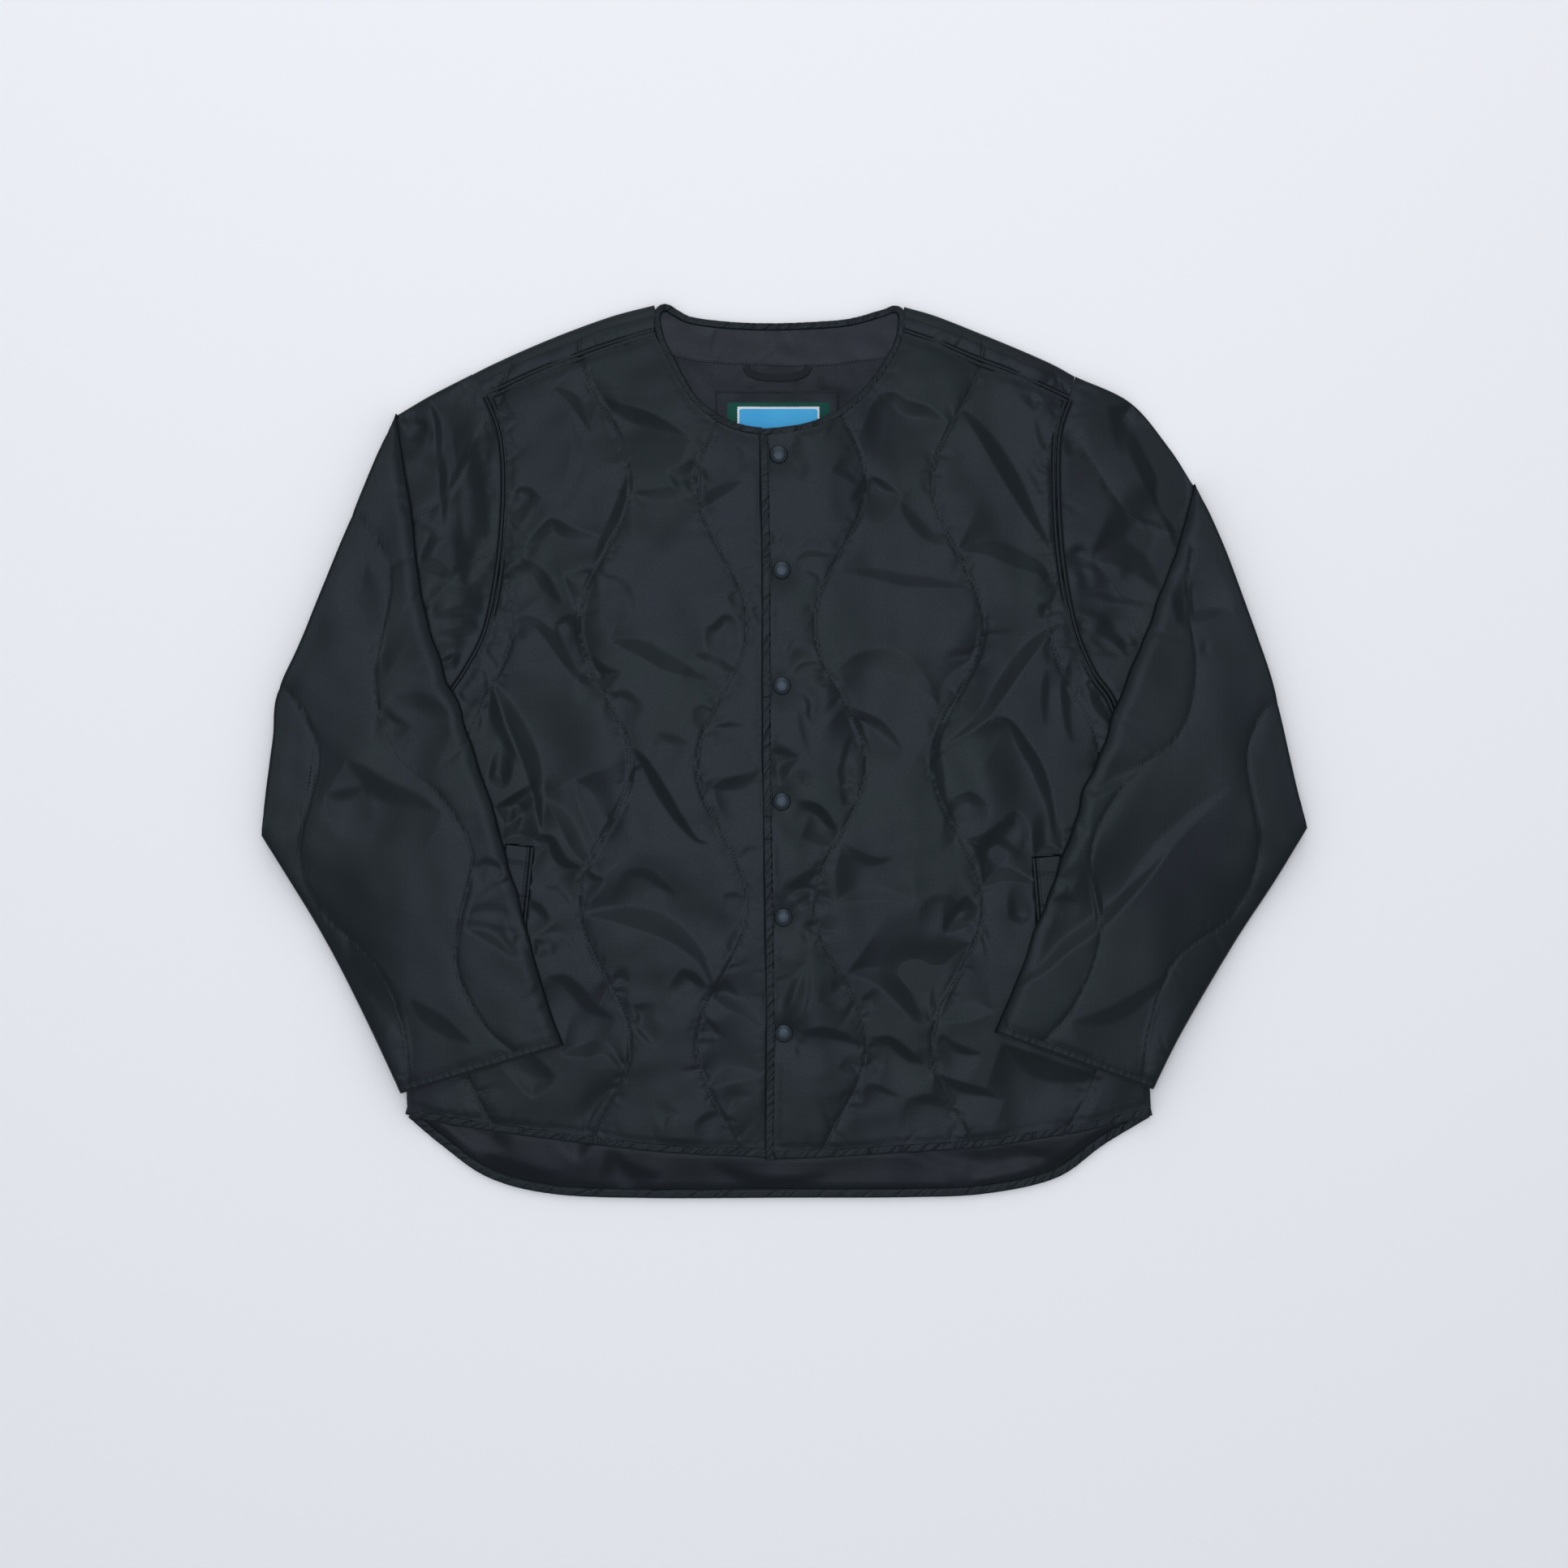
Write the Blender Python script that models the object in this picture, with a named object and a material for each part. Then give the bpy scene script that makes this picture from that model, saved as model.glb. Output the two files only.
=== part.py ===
"""Quilted liner jacket, laid flat on its back with both sleeves folded over the front.

Every table is in millimetres: x runs to the wearer's left, y from hem to neck, and z is
the height over the surface that the jacket lies on. The objects are made in metres.
A padded piece is a wall: its outer points are raised between the quilting lines, and its
inside is plain. What lies on a panel takes the panel's own height, moved up by a gap.
"""

import math
from dataclasses import dataclass

import bmesh
import bpy
import numpy as np
from mathutils.geometry import delaunay_2d_cdt

MM = 0.001
GAP = 0.3                  # clear space between sewn pieces, and between layers

# ---- layers, from the floor up ----
BACK_WALL = 2.4            # the back, pressed flat by its own weight
LINING_WALL = 0.8
LINING_Z = BACK_WALL + GAP
LINING_INSET = 1.5         # from the seams
FRONT_Z = LINING_Z + LINING_WALL + GAP
SEAM_WALL = 1.7            # padded cloth squeezed at a row of stitches
PUFF_WALL = 5.8            # the same cloth at the crown between two rows
PUFF_REACH = 24.0          # how far from the stitches the crown is reached
FOLD_WALL = 2.2            # padded cloth bent round a fold
UNDERLAP_WALL = 2.2        # the right front where the left front lies on it
TRIM_WALL = 1.5

# ---- onion quilting: wavy rows that swing apart and together ----
QUILT_PITCH = 96.2         # between the middles of two rows
QUILT_FIRST = -243.5       # the middle of the row nearest the right side seam
QUILT_SWING = 21.0
QUILT_PERIOD = 230.0
QUILT_TOP = 218.0          # height where the even rows swing furthest right
QUILT_ROWS = 6

# ---- bindings ----
NECK_BIND = 5.3
FRONT_BIND = 7.0
HEM_BIND = 6.6
CUFF_BIND = 6.4
BIND_WALL = 3.6
FRONT_BIND_WALL = 2.9

# ---- closure: six snaps down the middle ----
SNAP_RADIUS = 7.3
SNAP_HEIGHT = 2.5
SNAP_FLAT = 8.4            # radius pressed flat round each snap
SNAP_EASE = 14.0           # and the distance over which the padding fills up again
SNAPS = [(-5.0, 241.3), (-2.6, 147.0), (-2.4, 52.4), (-2.6, -42.4), (-1.2, -137.3), (-0.8, -232.0)]
UNDERLAP_EDGE = 16.7       # where the right front ends, under the left one
UNDERLAP_FREE = -26.0      # beyond this the right front puffs up again
UNDERLAP_CLIMB = 30.0      # before this the left front has climbed onto it
UNDERLAP_RISE = 20.0       # width of the climb

# ---- mesh fineness ----
LINE_STEP = 19.0
NECK_STEP = 13.0
HEM_STEP = 25.0
RAIL_OFFSET = 8.0
FILL_STEP = 30.0
BACK_STEP = 62.0           # panels that lie flat
LINING_STEP = 75.0
ROLL_STEP = 17.1           # along the rolled shoulder
CURVE_COUNT = 61           # points on each edge of a sleeve


@dataclass(frozen=True)
class Side:
    """The edges of one side of the jacket, each as a short run of (x, y) points."""

    shoulder_top: tuple    # from neck to arm, the silhouette of the rolled shoulder
    shoulder_seam: tuple   # from neck to arm, on the front
    armhole: tuple         # from shoulder to armpit
    side_seam: tuple       # from armpit to hem
    front_hem: tuple       # from side to middle, the top of its binding
    neck: tuple            # from shoulder to middle front, where the binding starts
    overarm_low: tuple     # sleeve: from shoulder to the fold
    underarm_low: tuple    # sleeve: from armpit to the fold
    fold: tuple            # sleeve: silhouette of the fold, overarm to underarm
    overarm_up: tuple      # sleeve: from the fold to the cuff, over the front
    underarm_up: tuple
    rows_up: tuple         # quilting rows on the folded-over stretch, fold to cuff
    rows_low: tuple        # quilting rows on the stretch under it, armhole to fold
    creases: tuple         # the largest creases of the front
    welt: tuple            # pocket opening: its upper and its lower end


RIGHT = Side(
    shoulder_top=((-107.3, 364.7), (-140.7, 356.0), (-178.0, 342.7), (-210.7, 329.3), (-240.0, 316.0),
                  (-256.0, 308.0)),
    shoulder_seam=((-107.5, 341.5), (-124.7, 336.6), (-151.3, 328.0), (-178.0, 318.0), (-204.7, 307.6),
                   (-231.3, 295.3), (-243.5, 290.0)),
    armhole=((-243.5, 290.0), (-232.0, 259.3), (-228.7, 216.0), (-232.7, 156.0), (-243.3, 99.3),
             (-259.3, 66.0), (-276.7, 39.3), (-286.7, 12.7)),
    side_seam=((-286.7, 12.7), (-298.0, -50.7), (-306.0, -184.0), (-309.3, -280.7), (-309.0, -292.0)),
    front_hem=((-309.0, -292.0), (-280.0, -299.3), (-202.7, -310.7), (-102.7, -322.7), (-16.0, -327.3),
               (16.7, -328.0)),
    neck=((-107.5, 341.5), (-97.3, 322.7), (-83.3, 296.0), (-73.3, 282.7), (-58.0, 270.7),
          (-41.3, 262.7), (-21.3, 258.7), (16.7, 257.0)),
    overarm_low=((-256.0, 308.0), (-291.3, 290.3), (-318.0, 274.7)),
    underarm_low=((-286.7, 12.7), (-358.0, -30.7), (-427.3, -70.7)),
    fold=((-318.0, 274.7), (-340.7, 222.7), (-368.0, 156.0), (-396.7, 86.0), (-414.7, 45.3),
          (-418.0, 9.3), (-423.3, -30.7), (-427.3, -70.7)),
    overarm_up=((-318.0, 274.7), (-306.0, 196.0), (-294.7, 116.0), (-276.0, 59.3), (-251.3, -10.7),
                (-228.0, -84.0), (-208.0, -157.3), (-192.7, -210.7), (-180.7, -241.3)),
    underarm_up=((-427.3, -70.7), (-403.3, -110.7), (-372.0, -164.0), (-340.0, -226.0), (-314.0, -280.7)),
    rows_up=(((-350.7, 197.3), (-322.0, 142.7), (-334.0, 56.0), (-318.0, -0.7), (-278.0, -42.7),
              (-255.3, -87.3), (-264.7, -140.7), (-266.7, -180.7), (-244.7, -225.3), (-221.3, -246.0)),
             ((-406.7, 52.7), (-380.0, -4.0), (-396.0, -80.7), (-381.3, -127.3), (-334.7, -174.0),
              (-311.3, -224.0), (-306.0, -274.0))),
    rows_low=(((-244.7, 269.3), (-264.7, 229.3), (-281.3, 204.0), (-304.7, 189.3), (-342.0, 172.0)),
              ((-236.7, 160.7), (-268.0, 146.0), (-290.0, 122.7), (-330.0, 92.0), (-385.0, 70.0))),
    creases=(((-238.0, 56.0), (-220.0, 30.0), (-204.0, -10.0), (-192.0, -77.0)),
             ((-162.7, -137.3), (-136.0, -132.7), (-106.7, -142.0), (-58.0, -172.7)),
             ((-218.7, 112.0), (-192.0, 86.0), (-172.7, 68.7), (-154.7, 52.7)),
             ((-123.3, -0.7), (-94.0, -31.3), (-80.7, -54.7), (-60.7, -77.3))),
    welt=((-206.0, -79.0), (-222.0, -232.0)),
)

LEFT = Side(
    shoulder_top=((98.0, 363.3), (123.3, 356.0), (157.3, 342.7), (190.0, 329.3), (220.0, 316.0),
                  (238.0, 306.0)),
    shoulder_seam=((97.0, 341.5), (112.0, 336.5), (128.7, 330.7), (155.3, 319.3), (182.0, 309.3),
                   (208.7, 297.3), (232.0, 286.7)),
    armhole=((232.0, 286.7), (223.3, 259.3), (222.0, 216.0), (225.3, 159.3), (235.3, 102.7),
             (250.7, 64.0), (266.7, 41.3), (276.7, 12.7)),
    side_seam=((276.7, 12.7), (287.3, -50.7), (295.3, -184.0), (298.7, -278.7), (299.4, -293.0)),
    front_hem=((299.4, -293.0), (246.0, -305.3), (211.3, -311.3), (165.3, -318.7), (107.3, -322.7),
               (38.0, -326.7), (-12.7, -328.2)),
    neck=((97.0, 341.5), (94.0, 331.0), (86.5, 317.0), (76.5, 302.0), (66.0, 290.0), (53.0, 278.0),
          (37.0, 269.0), (16.0, 261.5), (-12.7, 257.5)),
    overarm_low=((238.0, 306.0), (283.3, 284.7), (315.3, 248.0), (335.3, 217.3)),
    underarm_low=((276.7, 12.7), (355.3, -27.3), (426.7, -64.0)),
    fold=((335.3, 217.3), (357.3, 169.3), (377.3, 116.0), (396.0, 62.7), (406.0, 22.7),
          (418.0, -30.7), (426.7, -64.0)),
    overarm_up=((335.3, 217.3), (320.0, 162.7), (298.7, 106.0), (274.0, 42.7), (248.7, -24.0),
                (225.3, -90.7), (198.7, -164.0), (178.7, -214.0), (171.3, -230.7)),
    underarm_up=((426.7, -64.0), (399.3, -110.7), (364.7, -164.0), (324.7, -230.7), (301.0, -277.3)),
    rows_up=(((332.0, 166.0), (328.0, 126.0), (335.3, 62.7), (322.0, 12.7), (282.0, -22.0),
              (250.0, -80.7), (257.3, -150.7), (236.7, -207.3), (208.7, -240.0)),
             ((395.3, 41.3), (376.7, -4.0), (386.7, -80.7), (365.3, -134.0), (318.7, -170.7),
              (298.0, -224.0), (292.0, -268.0))),
    rows_low=(((234.0, 259.3), (248.7, 239.3), (275.3, 200.7), (302.0, 182.7), (348.0, 176.0)),
              ((232.0, 160.7), (258.7, 147.3), (282.0, 116.0), (295.3, 92.7), (370.0, 80.0))),
    creases=(((171.3, 27.3), (190.7, 20.0), (208.0, -8.0), (220.7, -70.0)),
             ((146.0, 270.0), (173.3, 230.7), (188.7, 204.7), (222.7, 160.0)),
             ((218.0, 96.7), (199.3, 77.3), (164.7, 41.3), (146.0, 17.3)),
             ((12.7, -225.3), (35.3, -230.0), (78.0, -238.0), (112.0, -249.3))),
    welt=((203.0, -88.0), (216.0, -240.0)),
)

# ---- the edge of the left front, from neck to hem ----
FRONT_EDGE = ((-20.7, 257.2), (-18.7, 149.0), (-18.3, 0.0), (-15.5, -204.0), (-16.0, -328.6))

# ---- the back: its hem, and its neck from the wearer's right to left ----
BACK_HEM = ((-308.7, -301.0), (-281.3, -324.0), (-242.7, -350.7), (-190.0, -364.0), (-111.3, -367.3),
            (0.0, -367.0), (102.0, -366.6), (165.3, -363.6), (222.7, -350.7), (260.7, -324.0),
            (299.3, -300.7))
BACK_NECK = ((-100.5, 367.2), (-91.3, 361.3), (-78.0, 355.3), (-58.0, 352.0), (-31.3, 350.0),
             (-4.7, 349.7), (22.0, 350.7), (48.7, 352.7), (68.7, 357.3), (82.0, 362.0), (92.0, 365.3))
FACING_EDGE = ((-118.0, 331.0), (-91.3, 322.7), (-71.3, 318.7), (-44.7, 316.3), (-18.0, 315.3),
               (8.7, 314.7), (35.3, 315.3), (62.0, 318.7), (80.7, 321.0), (118.0, 331.0))

# ---- small pieces inside the neck ----
LOOP_PATH = ((-31.0, 311.5), (-27.0, 304.5), (-16.0, 300.6), (-4.0, 300.0), (8.0, 301.5), (17.0, 306.0),
             (20.5, 311.8))
LOOP_WIDTH = 4.6
PATCH = (-57.3, 245.0, 44.7, 294.7)        # x low, y low, x high, y high
LABEL = (-47.3, 252.0, 36.7, 284.7)
PATCH_RISE = 2.0                           # how far the fronts lift over the patch
PATCH_WALL = 0.6

# ---- pocket welts ----
WELT_WIDTH = 22.0
WELT_PANEL = 2.6                           # the front, pressed flat under a welt
WELT_MARGIN = 4.0                          # how far it is pressed beyond the welt
WELT_EASE = 12.0
CREASE_DEPTH = 1.5                         # the largest creases of a front
CREASE_WIDTH = 7.0

# ---- sleeve: one tube, folded forward over itself ----
TUBE_WALL = 2.2                            # the wall that rests on the floor
FOLD_Z = 10.6                              # height of the middle of the fold
FOLD_INSET = 10.2                          # from the silhouette to that middle
OVER_Z = FRONT_Z + PUFF_WALL + GAP         # underside of the folded-over stretch
FLOOR_Z = 0.2                              # the same where it hangs to the floor
SAG_START = 22.0                           # how far past what carries it it starts to sink
SAG_REACH = 50.0                           # and the distance it sinks over
UNDER_WALL = 3.4                           # padded wall that faces down
EDGE_ROUND = 2.6                           # rounding of the tube's two long edges
EDGE_EASE = 22.0                           # how far from them the padding is thinner
END_PUFF = 18.0                            # fullness at the ends of a stretch
BEND_REACH = 45.0                          # how far past the fold the upper stretch comes down
LOW_LENGTH = 110.0                         # length of the lower stretch
RAIL_ROOM = 7.0                            # from a quilting row to the corners beside it
ROW_CLEAR = 0.07                           # share of the upper stretch where rows run straight
LOW_RINGS = 5
TURN_ANGLES = (-90.0, -45.0, 0.0, 45.0, 90.0)
UP_RINGS = 16


# ============================ curves and distances ============================

def spline(points, step=None, count=None):
    """Evenly spaced points along a soft curve through the given ones."""
    knots = np.asarray(points, float)
    ends = 2 * knots[0] - knots[1], 2 * knots[-1] - knots[-2]
    run = np.vstack([ends[0], knots, ends[1]])
    part = np.linspace(0, 1, 16, endpoint=False)[:, None]
    dense = []
    for a, b, c, d in zip(run, run[1:], run[2:], run[3:]):
        dense.append(0.5 * (2 * b + (c - a) * part + (2 * a - 5 * b + 4 * c - d) * part ** 2
                            + (3 * b - a - 3 * c + d) * part ** 3))
    dense = np.vstack(dense + [knots[-1:]])
    return even(dense, step, count)


def even(curve, step=None, count=None):
    """The same curve with evenly spaced points."""
    curve = np.asarray(curve, float)
    along = np.concatenate([[0], np.cumsum(np.linalg.norm(np.diff(curve, axis=0), axis=1))])
    count = count or max(2, round(along[-1] / step) + 1)
    places = np.linspace(0, along[-1], count)
    return np.column_stack([np.interp(places, along, curve[:, k]) for k in range(curve.shape[1])])


def normals(curve):
    """Unit normals of a plane curve, to the left of its direction."""
    run = np.gradient(curve, axis=0)
    run /= np.linalg.norm(run, axis=1)[:, None]
    return np.column_stack([-run[:, 1], run[:, 0]])


def shifted(curve, distance):
    """A plane curve moved to its left."""
    return curve + normals(curve) * distance


def distance(points, curve):
    """Distance of each point from a run of straight pieces."""
    points = np.asarray(points, float)[:, None, :]
    a, b = np.asarray(curve)[None, :-1], np.asarray(curve)[None, 1:]
    run = b - a
    place = np.clip(((points - a) * run).sum(2) / (run ** 2).sum(2), 0, 1)
    return np.linalg.norm(points - a - place[..., None] * run, axis=2).min(1)


def read(curve, share):
    """Points at a share of the way along an evenly spaced curve."""
    places = np.linspace(0, 1, len(curve))
    return np.stack([np.interp(share, places, curve[:, k]) for k in (0, 1)], -1)


def ease(value):
    """A soft step from 0 to 1."""
    value = np.clip(value, 0, 1)
    return value * value * (3 - 2 * value)


def inside(points, loop):
    """Which points lie inside a closed loop."""
    points, loop = np.asarray(points), np.asarray(loop)
    x, y = points[:, 0, None], points[:, 1, None]
    ax, ay = loop[None, :, 0], loop[None, :, 1]
    bx, by = np.roll(ax, -1, 1), np.roll(ay, -1, 1)
    rise = np.where(by == ay, 1e-9, by - ay)
    crossings = ((ay > y) != (by > y)) & (x < (bx - ax) * (y - ay) / rise + ax)
    return crossings.sum(1) % 2 == 1


def quilt_row(index):
    """One wavy row of quilting, from below the hem to above the shoulders."""
    y = np.arange(-400.0, 420.0, LINE_STEP)
    sign = 1 if index % 2 else -1
    swing = sign * QUILT_SWING * np.cos(2 * math.pi * (y - QUILT_TOP) / QUILT_PERIOD)
    return np.column_stack([QUILT_FIRST + QUILT_PITCH * index + swing, y])


def puff(gap_to_stitches):
    """How full the padding is, from 0 at a row of stitches to 1 at the crown."""
    return 1 - (1 - np.clip(gap_to_stitches / PUFF_REACH, 0, 1)) ** 2


# ============================ making solids ============================

def new_object(name, mesh, look):
    """Put a mesh in the scene as a named object with its material."""
    mesh.materials.append(look)
    item = bpy.data.objects.new(name, mesh)
    bpy.context.collection.objects.link(item)
    return item


def wall(name, faces, outer, inner, look):
    """A closed wall between two layers of points that share the same faces."""
    bm = bmesh.new()
    layers = []
    for points in (outer, inner):
        layers.append([bm.verts.new(tuple(float(c) * MM for c in p)) for p in points])
    for face in faces:
        bm.faces.new([layers[0][i] for i in face])
        bm.faces.new([layers[1][i] for i in reversed(face)])
    used = {}
    for face in faces:
        for a, b in zip(face, face[1:] + face[:1]):
            used[(a, b)] = True
    for a, b in used:
        if (b, a) not in used:
            bm.faces.new([layers[0][b], layers[0][a], layers[1][a], layers[1][b]])
    bmesh.ops.delete(bm, geom=[v for v in bm.verts if not v.link_faces], context="VERTS")
    bmesh.ops.recalc_face_normals(bm, faces=bm.faces)
    mesh = bpy.data.meshes.new(name)
    bm.to_mesh(mesh)
    bm.free()
    mesh.shade_smooth()
    mesh.set_sharp_from_angle(angle=math.radians(50))
    return new_object(name, mesh, look)


def fill(outline, rows=(), spots=(), steps=(), step=FILL_STEP):
    """Triangles inside an outline, with corners along each row and step and at each spot.

    Rows are crossed by further corners on both sides, and steps are not.
    """
    outline = np.asarray(outline)
    points, edges = [tuple(p) for p in outline], []
    near = [np.vstack([outline, outline[:1]])]
    clear = 0.3 * LINE_STEP
    for row in list(rows) + list(steps):
        keep = inside(row, outline) & (distance(row, near[0]) > clear)
        for a, b in zip(range(len(row)), range(1, len(row))):
            if keep[a] and keep[b]:
                edges.append((tuple(row[a]), tuple(row[b])))
        near.append(row)
        points += [tuple(p) for p in row[keep]]
    extra = [np.asarray(spots).reshape(-1, 2)]
    for row in rows:
        extra += [shifted(row, RAIL_OFFSET), shifted(row, -RAIL_OFFSET)]
    low, high = outline.min(0), outline.max(0)
    for k, y in enumerate(np.arange(low[1], high[1], step * 0.87)):
        x = np.arange(low[0] + (k % 2) * step / 2, high[0], step)
        extra.append(np.column_stack([x, np.full(len(x), y)]))
    taken = np.array(points)
    for k, group in enumerate(extra):
        if not len(group):
            continue
        group = group[inside(group, outline)]
        rim = 1.0 if k == 0 else clear
        group = group[distance(group, near[0]) > rim] if len(group) else group
        room = 3.0 if k == 0 else (RAIL_OFFSET * 0.9 if k <= 2 * len(rows) else 0.62 * step)
        for p in group:
            if np.hypot(*(taken - p).T).min() > room:
                taken = np.vstack([taken, p])
    place = {tuple(p): i for i, p in enumerate(taken)}
    links = [(place[a], place[b]) for a, b in edges]
    result = delaunay_2d_cdt([tuple(p) for p in taken], links, [list(range(len(outline)))], 1, 1e-4)
    corners = np.array([tuple(v) for v in result[0]])
    return corners, [tuple(f) for f in result[2]]


def raised(points, height):
    """Plane points with a height for each."""
    return np.column_stack([points, np.broadcast_to(height, len(points))])


def tube_faces(rings, columns):
    """Triangles of a tube sheet, ring by ring, split alike on its two walls."""
    faces = []
    for r in range(rings - 1):
        for c in range(columns):
            d = (c + 1) % columns
            a, b = r * columns + c, r * columns + d
            e, f = b + columns, a + columns
            faces += [(a, b, e), (a, e, f)] if c < columns // 2 else [(a, b, f), (b, e, f)]
    return faces


def strip(name, path, width, floor, height, look, round_off=0.9):
    """A flat band with softened corners, swept along a plane path.

    floor and height are numbers, or one value for each point of the path.
    """
    path = np.asarray(path)
    side = normals(path)
    half = width / 2
    floor, height = np.broadcast_to(floor, len(path)), np.broadcast_to(height, len(path))
    section = ((-half + round_off, 0), (half - round_off, 0), (half, 0.5), (half - round_off, 1),
               (-half + round_off, 1), (-half, 0.5))
    bm = bmesh.new()
    rings = []
    for p, n, z, h in zip(path, side, floor, height):
        corners = [(p[0] + n[0] * u, p[1] + n[1] * u, z + h * v) for u, v in section]
        rings.append([bm.verts.new(tuple(c * MM for c in corner)) for corner in corners])
    for a, b in zip(rings, rings[1:]):
        for k in range(len(section)):
            m = (k + 1) % len(section)
            bm.faces.new((a[k], a[m], b[m], b[k]))
    bm.faces.new(rings[0])
    bm.faces.new(rings[-1])
    bmesh.ops.recalc_face_normals(bm, faces=bm.faces)
    mesh = bpy.data.meshes.new(name)
    bm.to_mesh(mesh)
    bm.free()
    mesh.shade_smooth()
    mesh.set_sharp_from_angle(angle=math.radians(60))
    return new_object(name, mesh, look)


def finish(name, colour, roughness, metallic=0.0):
    """One plain material."""
    look = bpy.data.materials.new(name)
    look.use_nodes = True
    shader = look.node_tree.nodes["Principled BSDF"]
    shader.inputs["Base Color"].default_value = (*colour, 1)
    shader.inputs["Roughness"].default_value = roughness
    shader.inputs["Metallic"].default_value = metallic
    return look


# ============================ the fronts ============================

def front_edge():
    """The bound edge of the left front, from neck to hem."""
    return spline(FRONT_EDGE, HEM_STEP)


def welt_path(side):
    """The middle line of a pocket welt."""
    out = -1 if side is RIGHT else 1
    return even(np.array(side.welt) + np.array([out * WELT_WIDTH / 2, 0]), count=6)


class Front:
    """One front panel, and the heights that other pieces read from it."""

    def __init__(self, name, side, arm, on_top):
        self.name, self.side, self.on_top = name, side, on_top
        self.welt = welt_path(side)
        self.rows = [quilt_row(k) for k in range(QUILT_ROWS)]
        seam = spline(side.shoulder_seam, LINE_STEP)
        flank = spline(side.side_seam, HEM_STEP)
        self.hem, self.neck = spline(side.front_hem, HEM_STEP), spline(side.neck, NECK_STEP)
        if on_top:
            self.middle = shifted(front_edge(), FRONT_BIND + GAP)
            self.hem[-1], self.neck[-1] = self.middle[-1], self.middle[0]
        else:
            self.middle = even([self.neck[-1], self.hem[-1]], HEM_STEP)
        self.outline = np.vstack([seam[:-1], arm[:-1], flank[:-1], self.hem[:-1], self.middle[:0:-1],
                                  self.neck[:0:-1]])
        self.creases = [spline(c, LINE_STEP) for c in side.creases]
        self.steps = [self.upright(UNDERLAP_CLIMB), self.upright(UNDERLAP_CLIMB + UNDERLAP_RISE)]
        if not on_top:
            self.steps = [self.upright(UNDERLAP_FREE), self.upright(UNDERLAP_FREE - UNDERLAP_RISE)]
        rim = normals(self.welt) * (WELT_WIDTH / 2 + 2.0)
        self.steps += [even(self.welt + rim, LINE_STEP), even(self.welt - rim, LINE_STEP)]

    @staticmethod
    def upright(x):
        """A straight line from hem to neck."""
        y = np.arange(-326.0, 300.0, HEM_STEP)
        return np.column_stack([np.full(len(y), x), y])

    @staticmethod
    def down(curve):
        """1 where the left of a curve's direction is up, and -1 where it is down."""
        return 1 if curve[-1][0] > curve[0][0] else -1

    def padding(self, points):
        """Thickness of the padded wall at each point."""
        loop = np.vstack([self.outline, self.outline[:1]])
        gap = distance(points, loop)
        for row in self.rows:
            gap = np.minimum(gap, distance(points, row))
        thick = SEAM_WALL + (PUFF_WALL - SEAM_WALL) * puff(gap)
        for crease in self.creases:
            trough = np.exp(-(distance(points, crease) / CREASE_WIDTH) ** 2)
            thick -= CREASE_DEPTH * trough * puff(gap)
        pressed = ease((distance(points, self.welt) - WELT_WIDTH / 2 - WELT_MARGIN) / WELT_EASE)
        thick = np.minimum(thick, WELT_PANEL + (PUFF_WALL - WELT_PANEL) * pressed)
        if self.on_top:
            for snap in SNAPS:
                away = np.hypot(*(points - np.array(snap)).T)
                free = ease((away - SNAP_FLAT) / SNAP_EASE)
                thick = SEAM_WALL + (thick - SEAM_WALL) * free
        else:
            free = ease((UNDERLAP_FREE - points[:, 0]) / UNDERLAP_RISE)
            thick = UNDERLAP_WALL + (np.maximum(thick, UNDERLAP_WALL) - UNDERLAP_WALL) * free
        return thick

    def underside(self, points):
        """Height of the plain inner face."""
        centre = np.array([(PATCH[0] + PATCH[2]) / 2, PATCH[3] - 20])
        spread = np.array([(PATCH[2] - PATCH[0]) / 2 + 32, 58.0])
        near = np.linalg.norm((points - centre) / spread, axis=1)
        lift = PATCH_RISE * (1 - ease((near - 0.8) / 0.9))
        height = FRONT_Z + lift
        if self.on_top:
            climb = 1 - ease((points[:, 0] - UNDERLAP_CLIMB) / UNDERLAP_RISE)
            height = height + (UNDERLAP_WALL + GAP) * climb
        return height

    def top(self, points):
        """Height of the outer face."""
        points = np.asarray(points, float).reshape(-1, 2)
        return self.underside(points) + self.padding(points)

    def build(self, look):
        """The panel's solid."""
        spots = []
        if self.on_top:
            for x, y in SNAPS:
                ring = [(SNAP_FLAT * math.cos(a), SNAP_FLAT * math.sin(a))
                        for a in np.linspace(0, 2 * math.pi, 8, endpoint=False)]
                spots += [(x, y)] + [(x + u, y + v) for u, v in ring]
        points, faces = fill(self.outline, self.rows + self.creases, spots, self.steps)
        low = self.underside(points)
        wall(self.name, faces, raised(points, low + self.padding(points)), raised(points, low), look)


# ============================ the back ============================

def back_edge(side):
    """Where the flat part of the back turns up into the rolled shoulder."""
    top = spline(side.shoulder_top, ROLL_STEP)
    return shifted(top, -Front.down(side.shoulder_top) * (FRONT_Z + FOLD_WALL) / 2)


def on_line(point, line):
    """The point moved sideways onto a line that runs from top to bottom."""
    return np.array([np.interp(point[1], line[::-1, 1], line[::-1, 0]), point[1]])


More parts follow.
